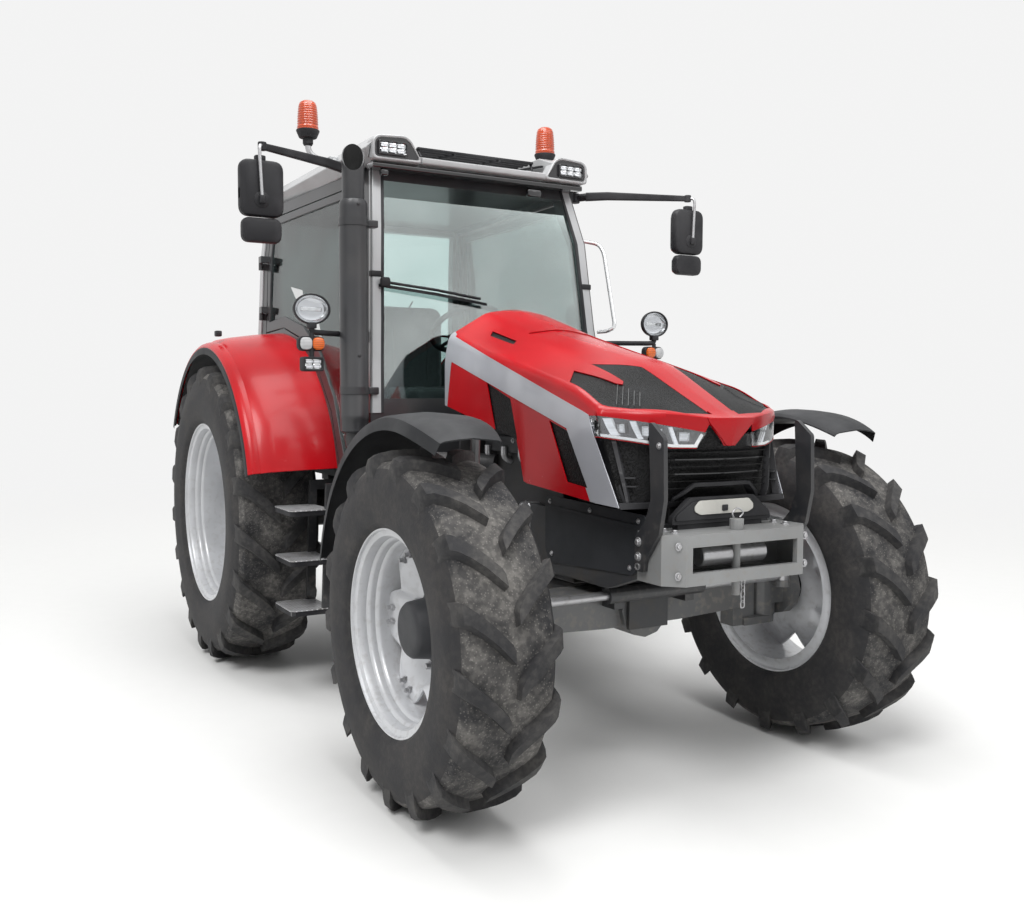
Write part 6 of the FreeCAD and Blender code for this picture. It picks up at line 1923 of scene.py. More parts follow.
        spread = [blend(421, 122, step / 24) for step in range(25)]
        bowl.loft([[wall(y, top(y), 30), wall(y, low(y), 30)] for y in spread], 0, False, False)
        self.strip(bright, [(y, low(y) - 2) for y in spread[:-1]], 11, 2, 30)
        bright.loft([[wall(136 - 20 * part, 1342 + 40 * part, 2), wall(148 - 20 * part, 1350 + 40 * part, 2),
                      wall(148 - 20 * part, 1350 + 40 * part, 28),
                      wall(136 - 20 * part, 1342 + 40 * part, 28)]
                     for part in (0.0, 0.5, 1.0)])
        for out, wide, lean in ((412, 20, 16), (350, 15, 20), (240, 13, 24)):
            bright.loft([[wall(out - lean * part, z, 5), wall(out - wide - lean * part, z, 5),
                          wall(out - wide - lean * part, z, 28), wall(out - lean * part, z, 28)]
                         for part in (0.0, 0.5, 1.0) for z in (blend(top(out) - 4, low(out) + 5, part),)], 1)
        for out, wide, drop in ((384, 26, 16), (322, 30, 14), (282, 28, 14), (206, 44, 12)):
            rings = []
            for inset, shrink in ((29, 0), (12, 0), (9, 4), (16, 9)):
                z_high, z_low = top(out) - drop - shrink, low(out) + 16 + shrink
                rings.append([wall(out - shrink, z_low, inset), wall(out - wide + shrink, z_low, inset),
                              wall(out - wide + shrink, z_high, inset), wall(out - shrink, z_high, inset)])
            units.loft(rings[:3], 0, True, False).loft(rings[2:], 1, True, False)
            units.add(rings[-1], [(0, 1, 2, 3)], 2)
        bowl.both().made("headlight_bowls", "hood", DARK_BOWL, slot="lamp_plastic")
        bright.both().made("headlight_strips", "hood", CHROME, LAMP_WHITE, edge=1.2, slot="lamp_plastic")
        units.both().made("headlight_units", "hood", SHIELD_GREY, CHROME, LAMP_WHITE, slot="lamp_plastic")

    def nose_mark(self) -> None:
        """Add the plain raised wedge on the nose."""
        rows = []
        for height, half in ((1445, 112), (1424, 100), (1398, 74), (1372, 48), (1350, 27), (1343, 20)):
            steps = [half * (1 - number / 4) for number in range(5)]
            left = [self.form.wall(max(y, 0.0), height, -4.0 - 2.5 * (1 - y / half)) for y in steps]
            left[-1].y = 0.0
            rows.append(left + [Vector((spot.x, -spot.y, spot.z)) for spot in reversed(left[:-1])])
        backs = [[spot - Vector((16.0, 0, 0)) for spot in row] for row in rows]
        rings = [row + list(reversed(back)) for row, back in zip(rows, backs)]
        Draft().loft(rings).made("nose_wedge", "hood", RED, edge=2.5, slot="red_paint", rounds=3)

    def louvres(self) -> None:
        """Add the fine upright blades in the mesh just ahead of each eyebrow's tip."""
        made = Draft()
        for number in range(5):
            x = 1752 + 24 * number
            path = [(x + (120 - 8 * number) * part, blend(262 - 8 * number, 352 - 14 * number, part))
                    for part in (0.0, 0.33, 0.66, 1.0)]
            rings = []
            for place, out in path:
                height = self.form.top(place, out)
                rings.append([
                    (place, out, height - 9), (place + 4, out, height - 9), (place + 4, out, height + 2),
                    (place, out, height + 2),
                ])
            made.loft(rings)
        made.both().made("bonnet_mesh_blades", "hood", AXLE_GREY, slot="black_plastic")


def sheet_piece(
    name: str, mesh: bpy.types.Mesh, body: str, finish: Finish, wall: float, stands_for: Sequence[str] = (),
) -> bpy.types.Object:
    """Make a sheet of one thickness out of an open surface.

    Args:
        name: The piece's name.
        mesh: The surface, in metres, whose faces look outwards.
        body: The body that it moves with.
        finish: Its finish.
        wall: Its thickness, laid on the inside.
        stands_for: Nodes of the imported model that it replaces.

    Returns:
        The piece.
    """
    for face in mesh.polygons:
        face.use_smooth = True
    mesh.materials.append(finish.material())
    piece = bpy.data.objects.new(name, mesh)
    bpy.context.scene.collection.objects.link(piece)
    solid = piece.modifiers.new("wall", "SOLIDIFY")
    solid.thickness = wall * MM
    solid.offset = -1.0
    bevel = piece.modifiers.new("rim", "BEVEL")
    bevel.width = SHEET_RIM * MM
    bevel.limit_method = "ANGLE"
    bevel.angle_limit = SHEET_BEVEL_ABOVE
    bevel.harden_normals = True
    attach(piece, body)
    if stands_for:
        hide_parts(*stands_for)
    return piece


@dataclass
class RearGuards(Assembly):
    """Red mudguards over the rear wheels, crowned across, with black lips on their outer edges."""

    centre: Point = (-1050.0, 842.0)
    start: float = 17.0
    sweep: float = 133.0
    wall: float = 8.0
    steps: int = 56
    crest: Sequence[tuple[float, float]] = (
        (615, 1027), (700, 1029), (845, 1016), (985, 996), (1050, 982), (1074, 968)
    )
    brow: Sequence[tuple[float, float]] = ((1072, 969), (1095, 966), (1116, 958), (1130, 942))
    lip: Sequence[tuple[float, float]] = ((1112, 950), (1127, 940), (1134, 930), (1134, 906))
    # The outer face of the dark sheet just under each red guard, which is painted shade for the guard's
    # underside.
    shade_sheet: Sequence[tuple[float, float]] = (
        (620, 1012), (700, 1015), (845, 1002), (985, 982), (1060, 964), (1104, 948)
    )

    def arch(self, rows: Sequence[tuple[float, float]]) -> list[Ring]:
        """The sections of a closed band with a wall, turned about the rear axle.

        Args:
            rows: (across, radius) points of its outer face.

        Returns:
            The sections.
        """
        section = list(rows) + [(out - 0.2, radius - self.wall) for out, radius in reversed(rows)]
        rings = []
        for step in range(self.steps + 1):
            angle = math.radians(self.start + self.sweep * step / self.steps)
            rings.append([
                Vector((
                    self.centre[0] + radius * math.cos(angle), out, self.centre[1] + radius * math.sin(angle),
                ))
                for out, radius in section
            ])
        return rings

    def build(self) -> None:
        """Build both guards, the dark sheets just under them that paint the shade beneath each guard, and
        their lips.
        """
        sheets = Draft().loft(self.arch(self.crest)).loft(self.arch(self.brow))
        sheets.both().made(
            "rear_guard_sheets", "chassis", RED, stands_for=("rear_fenders",), edge=2.0, slot="red_paint"
        )
        # A black sheet a few millimetres under each red guard: painted shade for its underside.
        Draft().loft(self.arch(self.shade_sheet)).both().made(
            "rear_guard_liners", "chassis", GUARD_PLASTIC, edge=1.5, slot="black_plastic")
        Draft().loft(self.arch(self.lip)).both().made(
            "rear_guard_lips", "chassis", GUARD_PLASTIC, stands_for=("fender_lips",), edge=2.0,
            slot="black_plastic")


@dataclass
class FrontGuards(Assembly):
    """Black mudguards that turn with the front wheels, with a crowned top and a turned-down outer edge."""

    centre: Point = (1500.0, 664.0)
    start: float = 64.0
    sweep: float = 104.0
    radius: float = 783.0
    inner: float = 765.0
    outer: float = 1085.0
    wall: float = 6.0
    steps: int = 40

    def build(self) -> None:
        """Build each guard over its node."""
        wide = self.outer - self.inner
        rows = [
            (0.0, -16), (0.03, -4), (0.08, 1), (0.30, 8), (0.48, 13), (0.70, 9), (0.90, 2), (0.965, -6),
            (1.0, -46)
        ]
        for name, side in (("left", 1), ("right", -1)):
            rings = []
            for step in range(self.steps + 1):
                part = step / self.steps
                angle = math.radians(self.start + self.sweep * part)
                taper = 1.0 - 0.22 * max(0.0, 1.0 - part / 0.16) ** 2
                outer, inner = [], []
                for share, rise in rows:
                    across = side * (self.inner + wide * (0.5 + (share - 0.5) * taper))
                    for target, radius in (
                        (outer, self.radius + rise), (inner, self.radius + rise - self.wall)
                    ):
                        target.append(Vector((
                            self.centre[0] + radius * math.cos(angle), across,
                            self.centre[1] + radius * math.sin(angle)
                        )))
                rings.append(outer + list(reversed(inner)))
            Draft().loft(rings).made(
                "front_guard_%s" % name, "steer_" + name, GUARD_PLASTIC, stands_for=("front_fender_" + name,),
                edge=1.5, slot="black_plastic",
            )


@dataclass
class LowerFront(Assembly):
    """What is under the bonnet's front: side covers, guard plates, plate holder and the frame's fittings."""

    cover: Sequence[Point] = ((1292, 1112), (1975, 1094), (1978, 955), (1905, 868), (1330, 835), (1292, 880))
    ledge: Sequence[Point] = ((1300, 1072), (1960, 1054), (1960, 1040), (1300, 1056))
    guard: Sequence[Point] = (
        (2064, 1430), (2080, 1430), (2148, 1378), (2154, 1168), (2128, 1048), (2050, 944), (2046, 905),
        (1992, 905),
        (1992, 1024), (2050, 1086), (2080, 1165),
    )
    guard_in: float = 335.5
    guard_out: float = 353.0
    holder: Sequence[Point] = (
        (-236, 1064), (236, 1064), (230, 1092), (150, 1158), (-150, 1158), (-230, 1092)
    )
    plate: Sequence[Point] = (
        (-138, 1108), (-112, 1096), (112, 1096), (138, 1108), (138, 1126), (116, 1147), (-116, 1147),
        (-138, 1126)
    )

    def build(self) -> None:
        """Build each group."""
        self.covers()
        self.guards()
        self.plates()
        self.fittings()

    def covers(self) -> None:
        """Add the smooth side covers with their long ledge."""
        made = Draft()
        made.slab(Axis.Y, 285.2, 291.0, round_corners(self.cover, 26))
        made.slab(Axis.Y, 290.5, 295.0, round_corners(self.ledge, 6))
        for x, z in ((1330, 1086), (1620, 1078), (1930, 1070), (1345, 872), (1880, 892)):
            made.bolt(Axis.Y, (x, 291, z), 7, 1)
        made.both().made(
            "lower_front_covers", "chassis", COVER_PLASTIC, STEEL, edge=2.0, slot="black_plastic"
        )

    def guards(self) -> None:
        """Add the cranked guard plates with their bolts."""
        made = Draft()
        made.slab(Axis.Y, self.guard_in, self.guard_out, round_corners(self.guard, 9, 3))
        made.both()
        for side in (1, -1):
            for x, z, radius in ((2014, 1010, 11), (2014, 958, 11), (2124, 1352, 8)):
                made.bolt(Axis.Y, (x, side * self.guard_out, z), radius, 1, side)
            eye = [(0, 13), (5, 13), (5, 8), (0.5, 8)]
            made.turned(
                Axis.Y, (2012, side * self.guard_out, 922), [(side * along, out) for along, out in eye], 24, 1
            )
        made.made(
            "guard_plates", "chassis", HORN_BLACK, STEEL, stands_for=("guard_horns",), edge=2.2,
            slot="dark_paint"
        )

    def plates(self) -> None:
        """Add the black holder over the frame with its bare pale plate."""
        made = Draft()
        made.slab(Axis.X, 2026, 2050, round_corners(self.holder, 12))
        made.slab(Axis.X, 2050, 2056, round_corners(shrunk(self.holder, 14), 12))
        made.slab(Axis.X, 2056, 2061, round_corners(self.plate, 7), 1)
        made.housing(Axis.X, (2060, -13, 1106), (2066, 13, 1128), 3, 2)
        made.block((2010, -200, 1040), (2040, 200, 1070))
        made.made("front_plate_holder", "chassis", BLACK_PLASTIC, PLATE_WHITE, edge=1.6, slot="black_plastic")

    def fittings(self) -> None:
        """Add the drum in the frame's window, the pin's ring and chain, the bolts and the axle's box."""
        made = Draft()
        made.turned(
            Axis.Y, (2090, 0, 955), [(-150, 0.5), (-150, 34), (-146, 38), (146, 38), (150, 34), (150, 0.5)],
            40
        )
        for y in (-318, 318):
            for z in (905, 1008):
                made.bolt(Axis.X, (2164, y * 0.93, z), 10)
        for side in (1, -1):
            for x in (2040, 2100):
                made.bolt(Axis.Z, (x, side * 262, 1045), 11)
        made.rod(
            [(2125, -14, 1088), (2131, -30, 1106), (2127, 0, 1126), (2131, 30, 1106), (2125, 14, 1088)], 3,
            bend=20
        )
        for number in range(5):
            turn = Matrix.Rotation(math.radians(90 * (number % 2)), 4, "Z")
            since = len(made.points)
            link = [(0, -7, -13), (0, 7, -13), (0, 9, 0), (0, 7, 13), (0, -7, 13), (0, -9, 0), (0, -7, -13)]
            made.rod(link, 2.6, 8, 5)
            made.placed(Matrix.Translation((2125, 34, 850 - 20 * number)) @ turn, since)
        made.made("front_frame_fittings", "chassis", STEEL, edge=0.8, slot="bare_steel")
        box = Draft().housing(Axis.Y, (1572, -170, 690), (1592, 170, 742), 8, 4)
        box.housing(Axis.Z, (1470, -60, 745), (1540, 60, 772), 14, 5)
        box.made("axle_cover_strip", "chassis", BLACK_PLASTIC, edge=1.5, slot="black_plastic")


@dataclass
class RoofFront(Assembly):
    """The roof's front corners with glossy pods and lamps, and the trim bar, visor and rack between them."""

    face: float = 226.0
    pod: Sequence[Point] = ((618, 2648), (618, 2742), (592, 2766), (446, 2776), (412, 2756), (352, 2650))
    lamp_low: Point = (206.0, 434.0, 2672.0)
    lamp_high: Point = (246.0, 590.0, 2742.0)

    def build(self) -> None:
        """Build the corners, the bar and the visor."""
        frames, pods, lamps = Draft(), Draft(), Draft()
        outer = round_corners(self.pod, 22)
        rings = []
        for x, inset in (
            (self.face - 60, 0), (self.face + 6, 0), (self.face + 11, 5), (self.face + 9, 13),
            (self.face + 2, 15)
        ):
            rings.append([(x, y, z) for y, z in (shrunk(outer, inset) if inset else outer)])
        frames.loft(rings, 0, True, False)
        pods.slab(Axis.X, self.face - 20, self.face + 3.5, shrunk(outer, 13))
        frames.both().housing(Axis.Y, (192, -356, 2650), (self.face + 11, 356, 2682), 9)
        pods.both().housing(Axis.Y, (126, -604, 2616), (208, 604, 2643), 8)
        pods.housing(Axis.Y, (168, 268, 2560), (205, 352, 2600), 12, 10)
        pods.housing(Axis.Y, (172, -560, 2582), (204, -520, 2612), 8, 6)
        led_lamp(lamps, self.lamp_low, self.lamp_high).both()
        for side in (1, -1):
            low, high = sorted((side * 436, side * 606))
            led_lamp(lamps, (-1572, low, 2668), (-1500, high, 2722), 3, -1)
        frames.made("roof_corner_trims", "chassis", ROOF_GREY, edge=1.5, slot="grey_paint")
        pods.made("roof_corner_pods", "chassis", POD_GLOSS, edge=2.0, slot="black_plastic")
        lamps.made("roof_led_lamps", "chassis", POD_GLOSS, BRIGHT, LAMP_WHITE, edge=0.0, slot="lamp_plastic",
                   stands_for=("roof_lamps",))
        self.rack()

    def rack(self) -> None:
        """Add the rack's thin crossbars and their slanted ends over the roof's hollow."""
        made = Draft()
        for number in range(5):
            x, z = -186 + 76 * number, 2786 - 8 * number
            made.housing(Axis.Y, (x, -392 + 14 * number, z - 13), (x + 24, 392 - 14 * number, z), 4)
        for y in (-388, -130, 130, 388):
            made.loft([[(x, y - 7, z - 20), (x, y + 7, z - 20), (x, y + 7, z - 9), (x, y - 7, z - 9)]
                       for x, z in ((-190, 2784), (146, 2750))])
        for y in (-384, 384):
            made.rod([(120, y * 0.86, 2748), (150, y * 0.84, 2700)], 7).rod(
                [(-186, y, 2776), (-186, y, 2700)], 7
            )
        made.made(
            "roof_rack_bars", "chassis", BLACK_PLASTIC, stands_for=("roof_bars",), edge=2.0,
            slot="black_plastic"
        )


@dataclass
class Beacons(Assembly):
    """Two amber beacons: one on the roof's left front, one on a bent stalk at the right."""

    left: Point = (24.0, 480.0, 2790.0)
    right: Point = (-170.0, -800.0, 2800.0)

    def build(self) -> None:
        """Build the lenses, their bases and the stalk."""
        lenses, bases, stalk = Draft(), Draft(), Draft()
        for spot in (self.left, self.right):
            bases.turned(
                Axis.Z, spot, [(0, 0.5), (0, 30), (4, 44), (22, 52), (36, 58), (42, 58), (44, 50), (44, 0.5)],
                40
            )
            lens = [(40, 48), (44, 53), (52, 54)]
            lens += [(60 + 12 * number + lift, radius - 0.09 * number * number) for number in range(8)
                     for lift, radius in ((0, 53), (3, 51), (9, 51))]
            lens += [(160, 46), (176, 40), (185, 28), (189, 12), (189.5, 0.5)]
            lenses.turned(Axis.Z, spot, lens, 48)
            lenses.turned(Axis.Z, spot, [(44, 20), (110, 20), (128, 12), (130, 0.5)], 24, 1)
        x, y, z = self.right
        stalk.rod([(x, y, z + 4), (x, y, z - 66), (x, y + 60, z - 100), (x, -646, 2700)], 15, bend=46)
        stalk.housing(Axis.Y, (x - 30, -694, 2676), (x + 30, -648, 2724), 8, 4, 1)
        stalk.bolt(Axis.X, (x + 30, -672, 2700), 8)
        bases.turned(Axis.Z, (x, y, z - 34), [(0, 0.5), (0, 20), (10, 26), (34, 26), (34, 0.5)], 24)
        lenses.made("beacon_lenses", "chassis", BEACON_AMBER, BRIGHT, slot="amber_plastic")
        bases.made("beacon_bases", "chassis", BLACK_PLASTIC, edge=1.5, slot="black_plastic")
        stalk.made("beacon_stalk", "chassis", STEEL, TRIM_PALE, edge=1.5, slot="bare_steel")


@dataclass
class Mirrors(Assembly):
    """Mirrors on tapered arms, each with a lower wide-angle part and a thin tube in front of it."""

    arm: Sequence[tuple[float, float, float, float]] = (
        (92.0, 706.0, 2614.0, 23.0), (150.0, 810.0, 2619.0, 22.0), (372.0, 1186.0, 2606.0, 15.0),
    )
    head_low: Point = (336.0, 1102.0, 2300.0)
    head_high: Point = (398.0, 1297.0, 2545.0)

    def build(self) -> None:
        """Build both mirrors."""
        made = Draft()
        made.housing(Axis.Y, (-4, 590, 2582), (58, 652, 2640), 10, 6)
        made.turned(Axis.Z, (40, 668, 2584), [(0, 0.5), (0, 24), (4, 27), (48, 27), (52, 24), (52, 0.5)], 28)
        made.rod([(40, 668, 2612), (95, 712, 2614)], 21)
        rings = []
        for x, y, z, half in self.arm:
            rings.append([(x + half * 0.5 * a, y - half * 0.3 * a, z + half * b)
                          for a, b in round_corners(((-1, -1), (1, -1), (1, 1), (-1, 1)), 0.5)])
        made.loft(rings)
        made.turned(
            Axis.Z, (376, 1194, 2588), [(0, 0.5), (0, 17), (3, 19), (33, 19), (36, 17), (36, 0.5)], 24
        )
        made.housing(Axis.X, self.head_low, self.head_high, 44, 17)
        made.housing(Axis.X, (338, 1112, 2187), (396, 1288, 2294), 34, 15)
        made.housing(Axis.Z, (350, 1180, 2540), (386, 1226, 2566), 9, 4)
        made.turned(Axis.X, (396, 1204, 2370), [(0, 0.5), (0, 34), (3, 36), (6, 30), (8, 0.5)], 32)
        made.housing(Axis.Y, (356, 1284, 2372), (384, 1297, 2420), 5, 2)
        made.rod(
            [(376, 1196, 2606), (408, 1214, 2604), (411, 1216, 2568), (411, 1206, 2372)], 7.5, bend=26, mark=1
        )
        made.housing(Axis.Z, (400, 1192, 2352), (420, 1220, 2388), 7, 3)
        for low, high, bend in (
            ((331, 1112, 2310), (337, 1287, 2535), 36), ((333, 1121, 2195), (339, 1279, 2286), 28)
        ):
            made.housing(Axis.X, low, high, bend, 0, 2)
        made.both().made("mirror_sets", "chassis", BLACK_PLASTIC, STEEL, MIRROR_FACE, stands_for=("mirrors",),
                         edge=1.5, slot="black_plastic")


@dataclass
class BodyLamps(Assembly):
    """Oval work lamps, indicators and driving lamps on brackets beside the cab, and the tail lamps."""

    work: Point = (370.0, 975.0, 1906.0)

    def build(self) -> None:
        """Build the lamps of both sides."""
        made = Draft()
        x, y, z = self.work
        since = len(made.points)
        made.turned(
            Axis.X, (0, 0, 0),
            [(-42, 0.5), (-42, 26), (-34, 54), (-8, 85), (6, 88), (14, 87), (15, 80), (8, 77)], 56
        )
        made.turned(Axis.X, (0, 0, 0), [(8, 77), (0, 70), (-6, 62)], 56, 1)
        made.turned(Axis.X, (0, 0, 0), [(-6, 62), (-20, 40), (-26, 14), (-26, 0.5)], 56, 2)
        made.turned(Axis.X, (0, 0, 0), [(9, 78), (13, 52), (15, 24), (15.5, 0.5)], 56, 5)
        made.housing(Axis.Y, (-10, -52, -13), (2, 52, 13), 5, 6, 1)
        made.placed(Matrix.Translation(self.work) @ Matrix.Diagonal((1, 1, 0.80, 1)), since)
        made.rod(
            [(228, 672, 1800), (286, 780, 1801), (366, 950, 1801), (372, 976, 1806), (372, 976, 1846)], 13,
            bend=24
        )
        made.housing(Axis.Z, (352, y - 20, 1818), (392, y + 20, 1846), 8, 4)
        made.rod([(372, y, 1640), (372, y, 1800)], 11)
        made.housing(Axis.Z, (196, 652, 1776), (240, 690, 1824), 8, 3)
        made.housing(Axis.X, (338, y - 62, 1716), (376, y + 62, 1784), 28, 5)
        made.housing(Axis.X, (374, y - 56, 1722), (394, y - 1, 1778), 24, 6, 3)
        made.housing(Axis.X, (374, y + 1, 1722), (392, y + 56, 1778), 24, 6, 4)
        led_lamp(made, (350, y - 50, 1624), (404, y + 50, 1690), 2)
        made.housing(Axis.X, (-1712, 912, 1602), (-1602, 1048, 1718), 14, 6)
        made.housing(Axis.X, (-1717, 920, 1636), (-1706, 984, 1710), 8, 4, 6)
        made.housing(Axis.X, (-1717, 986, 1636), (-1706, 1040, 1710), 8, 4, 3)
        made.housing(Axis.Z, (-925, 1062, 1836), (-880, 1096, 1868), 9, 5)
        made.both().made(
            "body_lamp_sets", "chassis", BLACK_PLASTIC, BRIGHT, LAMP_WHITE, AMBER, CLEAR_LENS, LAMP_GLASS,
            TAIL_RED,
            stands_for=("body_lamps",), edge=1.0, slot="lamp_plastic",
        )


@dataclass
class Exhaust(Assembly):
    """The stack beside the cab: a wide shield, a thinner pipe with a slanted mouth and its feed."""

    spot: Point = (332.0, -755.0, 0.0)
    low: float = 1340.0
    shield_top: float = 2420.0
    radius: float = 67.0
    pipe: float = 52.0
    mouth_low: float = 2548.0
    mouth_high: float = 2690.0

    def build(self) -> None:
        """Build the stack."""
        made = Draft()
        z, shield = self.low, self.radius
        profile = [(z, 0.5), (z, shield - 14), (z + 8, shield - 2), (z + 60, shield), (z + 62, shield + 1),
                   (z + 84, shield + 1),
                   (z + 86, shield), (self.shield_top - 34, shield), (self.shield_top - 14, shield - 1.5),
                   (self.shield_top, shield - 9), (self.shield_top + 2, self.pipe)]
        made.turned(Axis.Z, self.spot, profile, 56)
        x, y, _ = self.spot
        rings = []
        for radius, base in (
            (self.pipe, self.shield_top - 20), (self.pipe, None), (self.pipe - 5, None), (self.pipe - 5, 2430)
        ):
            ring = []
            for step in range(48):
                angle = 2 * math.pi * step / 48
                out = Vector((math.cos(angle), math.sin(angle), 0)) * radius
                height = base or blend(self.mouth_high, self.mouth_low, 0.5 + 0.5 * math.cos(angle + 0.35))
                ring.append((x + out.x, y + out.y, height))
            rings.append(ring)
        made.loft(rings[:3], 0, True, False).loft(rings[2:], 1, True, False)
        made.add(rings[3], [tuple(range(48))], 1)
        made.rod(
            [(x, y, 1362), (x, y, 1262), (x + 130, y + 150, 1212), (740, -250, 1206), (772, -228, 1206)], 44,
            24, 90, 2
        )
        for height in (1520, 2300):
            made.housing(Axis.Y, (306, -700, height), (356, -640, height + 34), 6, 3)
            made.turned(
                Axis.Z, (x, y, height), [(0, shield), (0, shield + 3), (34, shield + 3), (34, shield)], 56
            )
        for height in (1700, 2395):
            made.bolt(Axis.X, (x + shield - 1, y, height), 6, 2)
        made.made("exhaust_stack_pipes", "chassis", SHIELD_GREY, SOOT, IRON, stands_for=("exhaust_stack",),
                  slot="dark_paint")


@dataclass
class CabTrim(Assembly):
    """Pale strips along the cab's pillars, the wiper, the grab handle and the steps' tread plates."""

    pillar: Sequence[tuple[float, float, float]] = (
        (350, 680, 1432), (311, 664, 1650), (271, 645, 1880), (243, 633, 2100), (215, 619, 2329),
        (116, 580, 2618),
    )
    rear: Sequence[tuple[float, float, float]] = (
        (-1400, 712, 1440), (-1398, 708, 1880), (-1390, 690, 2330), (-1374, 664, 2590)
    )

    def build(self) -> None:
        """Build the trim."""
        strips, black = Draft(), Draft()
        strips.loft([
            [
                (x + 5, y - 52, z), (x + 5, y - 8, z), (x - 6, y + 1.5, z), (x - 20, y + 2, z),
                (x - 14, y - 52, z),
            ]
            for x, y, z in self.pillar
        ])
        black.loft(
            [
                [(x + 6, y - 66, z), (x + 6, y - 50, z), (x - 6, y - 50, z), (x - 6, y - 66, z)] for x, y,
                z in self.pillar
            ]
        )
        for x, y, z in (self.pillar[3],):
            black.housing(Axis.Z, (x - 20, y - 56, z - 14), (x + 11, y + 5, z + 14), 8, 3)
        strips.loft(
            [
                [(x - 2, y - 40, z), (x - 2, y + 3, z), (x + 62, y + 4, z), (x + 62, y - 10, z)] for x, y,
                z in self.rear
            ]
        )
        strips.both().made("cab_pillar_strips", "chassis", TRIM_PALE, edge=1.5, slot="silver_paint")
        black.both().made("cab_pillar_seals", "chassis", BLACK_PLASTIC, edge=1.0, slot="black_plastic")
        self.wiper()
        self.handle()
        self.treads()

    def wiper(self) -> None:
        """Add the parked wiper with its arm and blade."""
        made = Draft()
        made.rod([(268, -572, 2060), (280, -300, 2034), (286, -60, 2002)], 7, 10)
        made.loft([[(x, y, z - 9), (x + 7, y, z - 9), (x + 9, y, z + 4), (x + 2, y, z + 6)]
                   for x, y, z in ((258, -600, 2046), (271, -300, 2016), (275, -20, 1978))])
        made.housing(Axis.X, (262, -596, 2036), (288, -548, 2082), 14, 6)
        made.made("screen_wiper", "chassis", BLACK_PLASTIC, slot="black_plastic")

    def handle(self) -> None:
        """Add the bright grab handle beside the left front pillar."""
        made = Draft()
        made.rod([
            (196, 622, 2352), (232, 700, 2338), (262, 712, 2290), (372, 712, 1885), (352, 690, 1862),
            (292, 655, 1858),
        ], 11, 14, 30)
        made.made("cab_grab_handle", "chassis", CHROME, slot="silver_paint")

    def treads(self) -> None:
        """Add a tread plate with a turned-up rim on each step."""
        made = Draft()
        for level in (462, 707, 952):
            outline = round_corners(((-184, 785), (-184, 994), (94, 994), (94, 785)), 30)
            made.slab(Axis.Z, level - 2, level + 3, outline)
            made.slab(Axis.Z, level - 26, level - 2, shrunk(outline, 3), 1)
        made.both().made("step_tread_plates", "chassis", CHECKER, BLACK_PLASTIC, edge=1.5, slot="steps_alloy")


@dataclass
class Seat(Assembly):
    """The driver's seat: a swelled pan and back of cloth, each with piping and sewn channels."""

    pan_low: Point = (-692.0, -238.0, 1448.0)
    pan_high: Point = (-212.0, 238.0, 1542.0)
    back_low: Point = (-800.0, -232.0, 1500.0)
    back_high: Point = (-716.0, 232.0, 2046.0)
    cap: float = 14.0
    fill: float = 0.6
    coarse: float = 0.012
    fine: float = 0.006
    passes: int = 6
    pressure: float = 4.0
    frames: int = 20

    def build(self) -> None:
        """Build the pan and the back."""
        for name, low, high, axis in (
            ("pan", self.pan_low, self.pan_high, Axis.Z), ("back", self.back_low, self.back_high, Axis.X)
        ):
            draft = Draft().housing(axis, low, high, 90 if name == "back" else 60, 22)
            piece = draft.made(
                "seat_%s_pad" % name, "chassis", SEAT_CLOTH, stands_for=("seat_pads",), slot="seat_fabric"
            )
            self.swelled(piece)
        seams = Draft()
        for y in (-110, 110):
            seams.rod([(-640, y, 1560), (-450, y, 1563), (-260, y, 1556)], 4, 8, 60)
            seams.rod([(-702, y, 1600), (-699, y, 1780), (-703, y, 1960)], 4, 8, 60)
        seams.made("seat_piping", "chassis", CABIN_GREY, slot="seat_fabric")

    def rounded(self, piece: bpy.types.Object) -> None:
        """Args:
            piece: The pad.
        """
        solid = piece.modifiers.new("voxels", "REMESH")
        solid.mode = "VOXEL"
        solid.voxel_size = self.coarse
        piece.modifiers.new("ease", "SMOOTH").iterations = self.passes

    def swelled(self, piece: bpy.types.Object) -> None:
        """Blow a pad up like filled cloth, with a cap on how far each point moves.

        Args:
            piece: The pad.
        """
        scene = bpy.context.scene
        solid = piece.modifiers.new("voxels", "REMESH")
        solid.mode = "VOXEL"
        solid.voxel_size = self.fine
        self.settled(piece)
        start = [spot.co.copy() for spot in piece.data.vertices]
        cloth = piece.modifiers.new("cloth", "CLOTH")
        cloth.settings.use_pressure = True
        cloth.settings.uniform_pressure_force = self.pressure
        cloth.settings.effector_weights.gravity = 0.0
        for frame in range(1, self.frames + 1):
            scene.frame_set(frame)
        self.settled(piece)
        scene.frame_set(1)
        for spot, first in zip(piece.data.vertices, start):
            move = spot.co - first
            if move.length > self.cap * MM:
                spot.co = first + move.normalized() * self.cap * MM
        for face in piece.data.polygons:
            face.use_smooth = True
        piece.modifiers.new("fine", "SUBSURF").levels = 1

    def settled(self, piece: bpy.types.Object) -> None:
        """Take a piece's worked-out mesh as its own and clear its modifiers.

        Args:
            piece: The piece.
        """
        graph = bpy.context.evaluated_depsgraph_get()
        mesh = bpy.data.meshes.new_from_object(piece.evaluated_get(graph))
        piece.modifiers.clear()
        piece.data = mesh


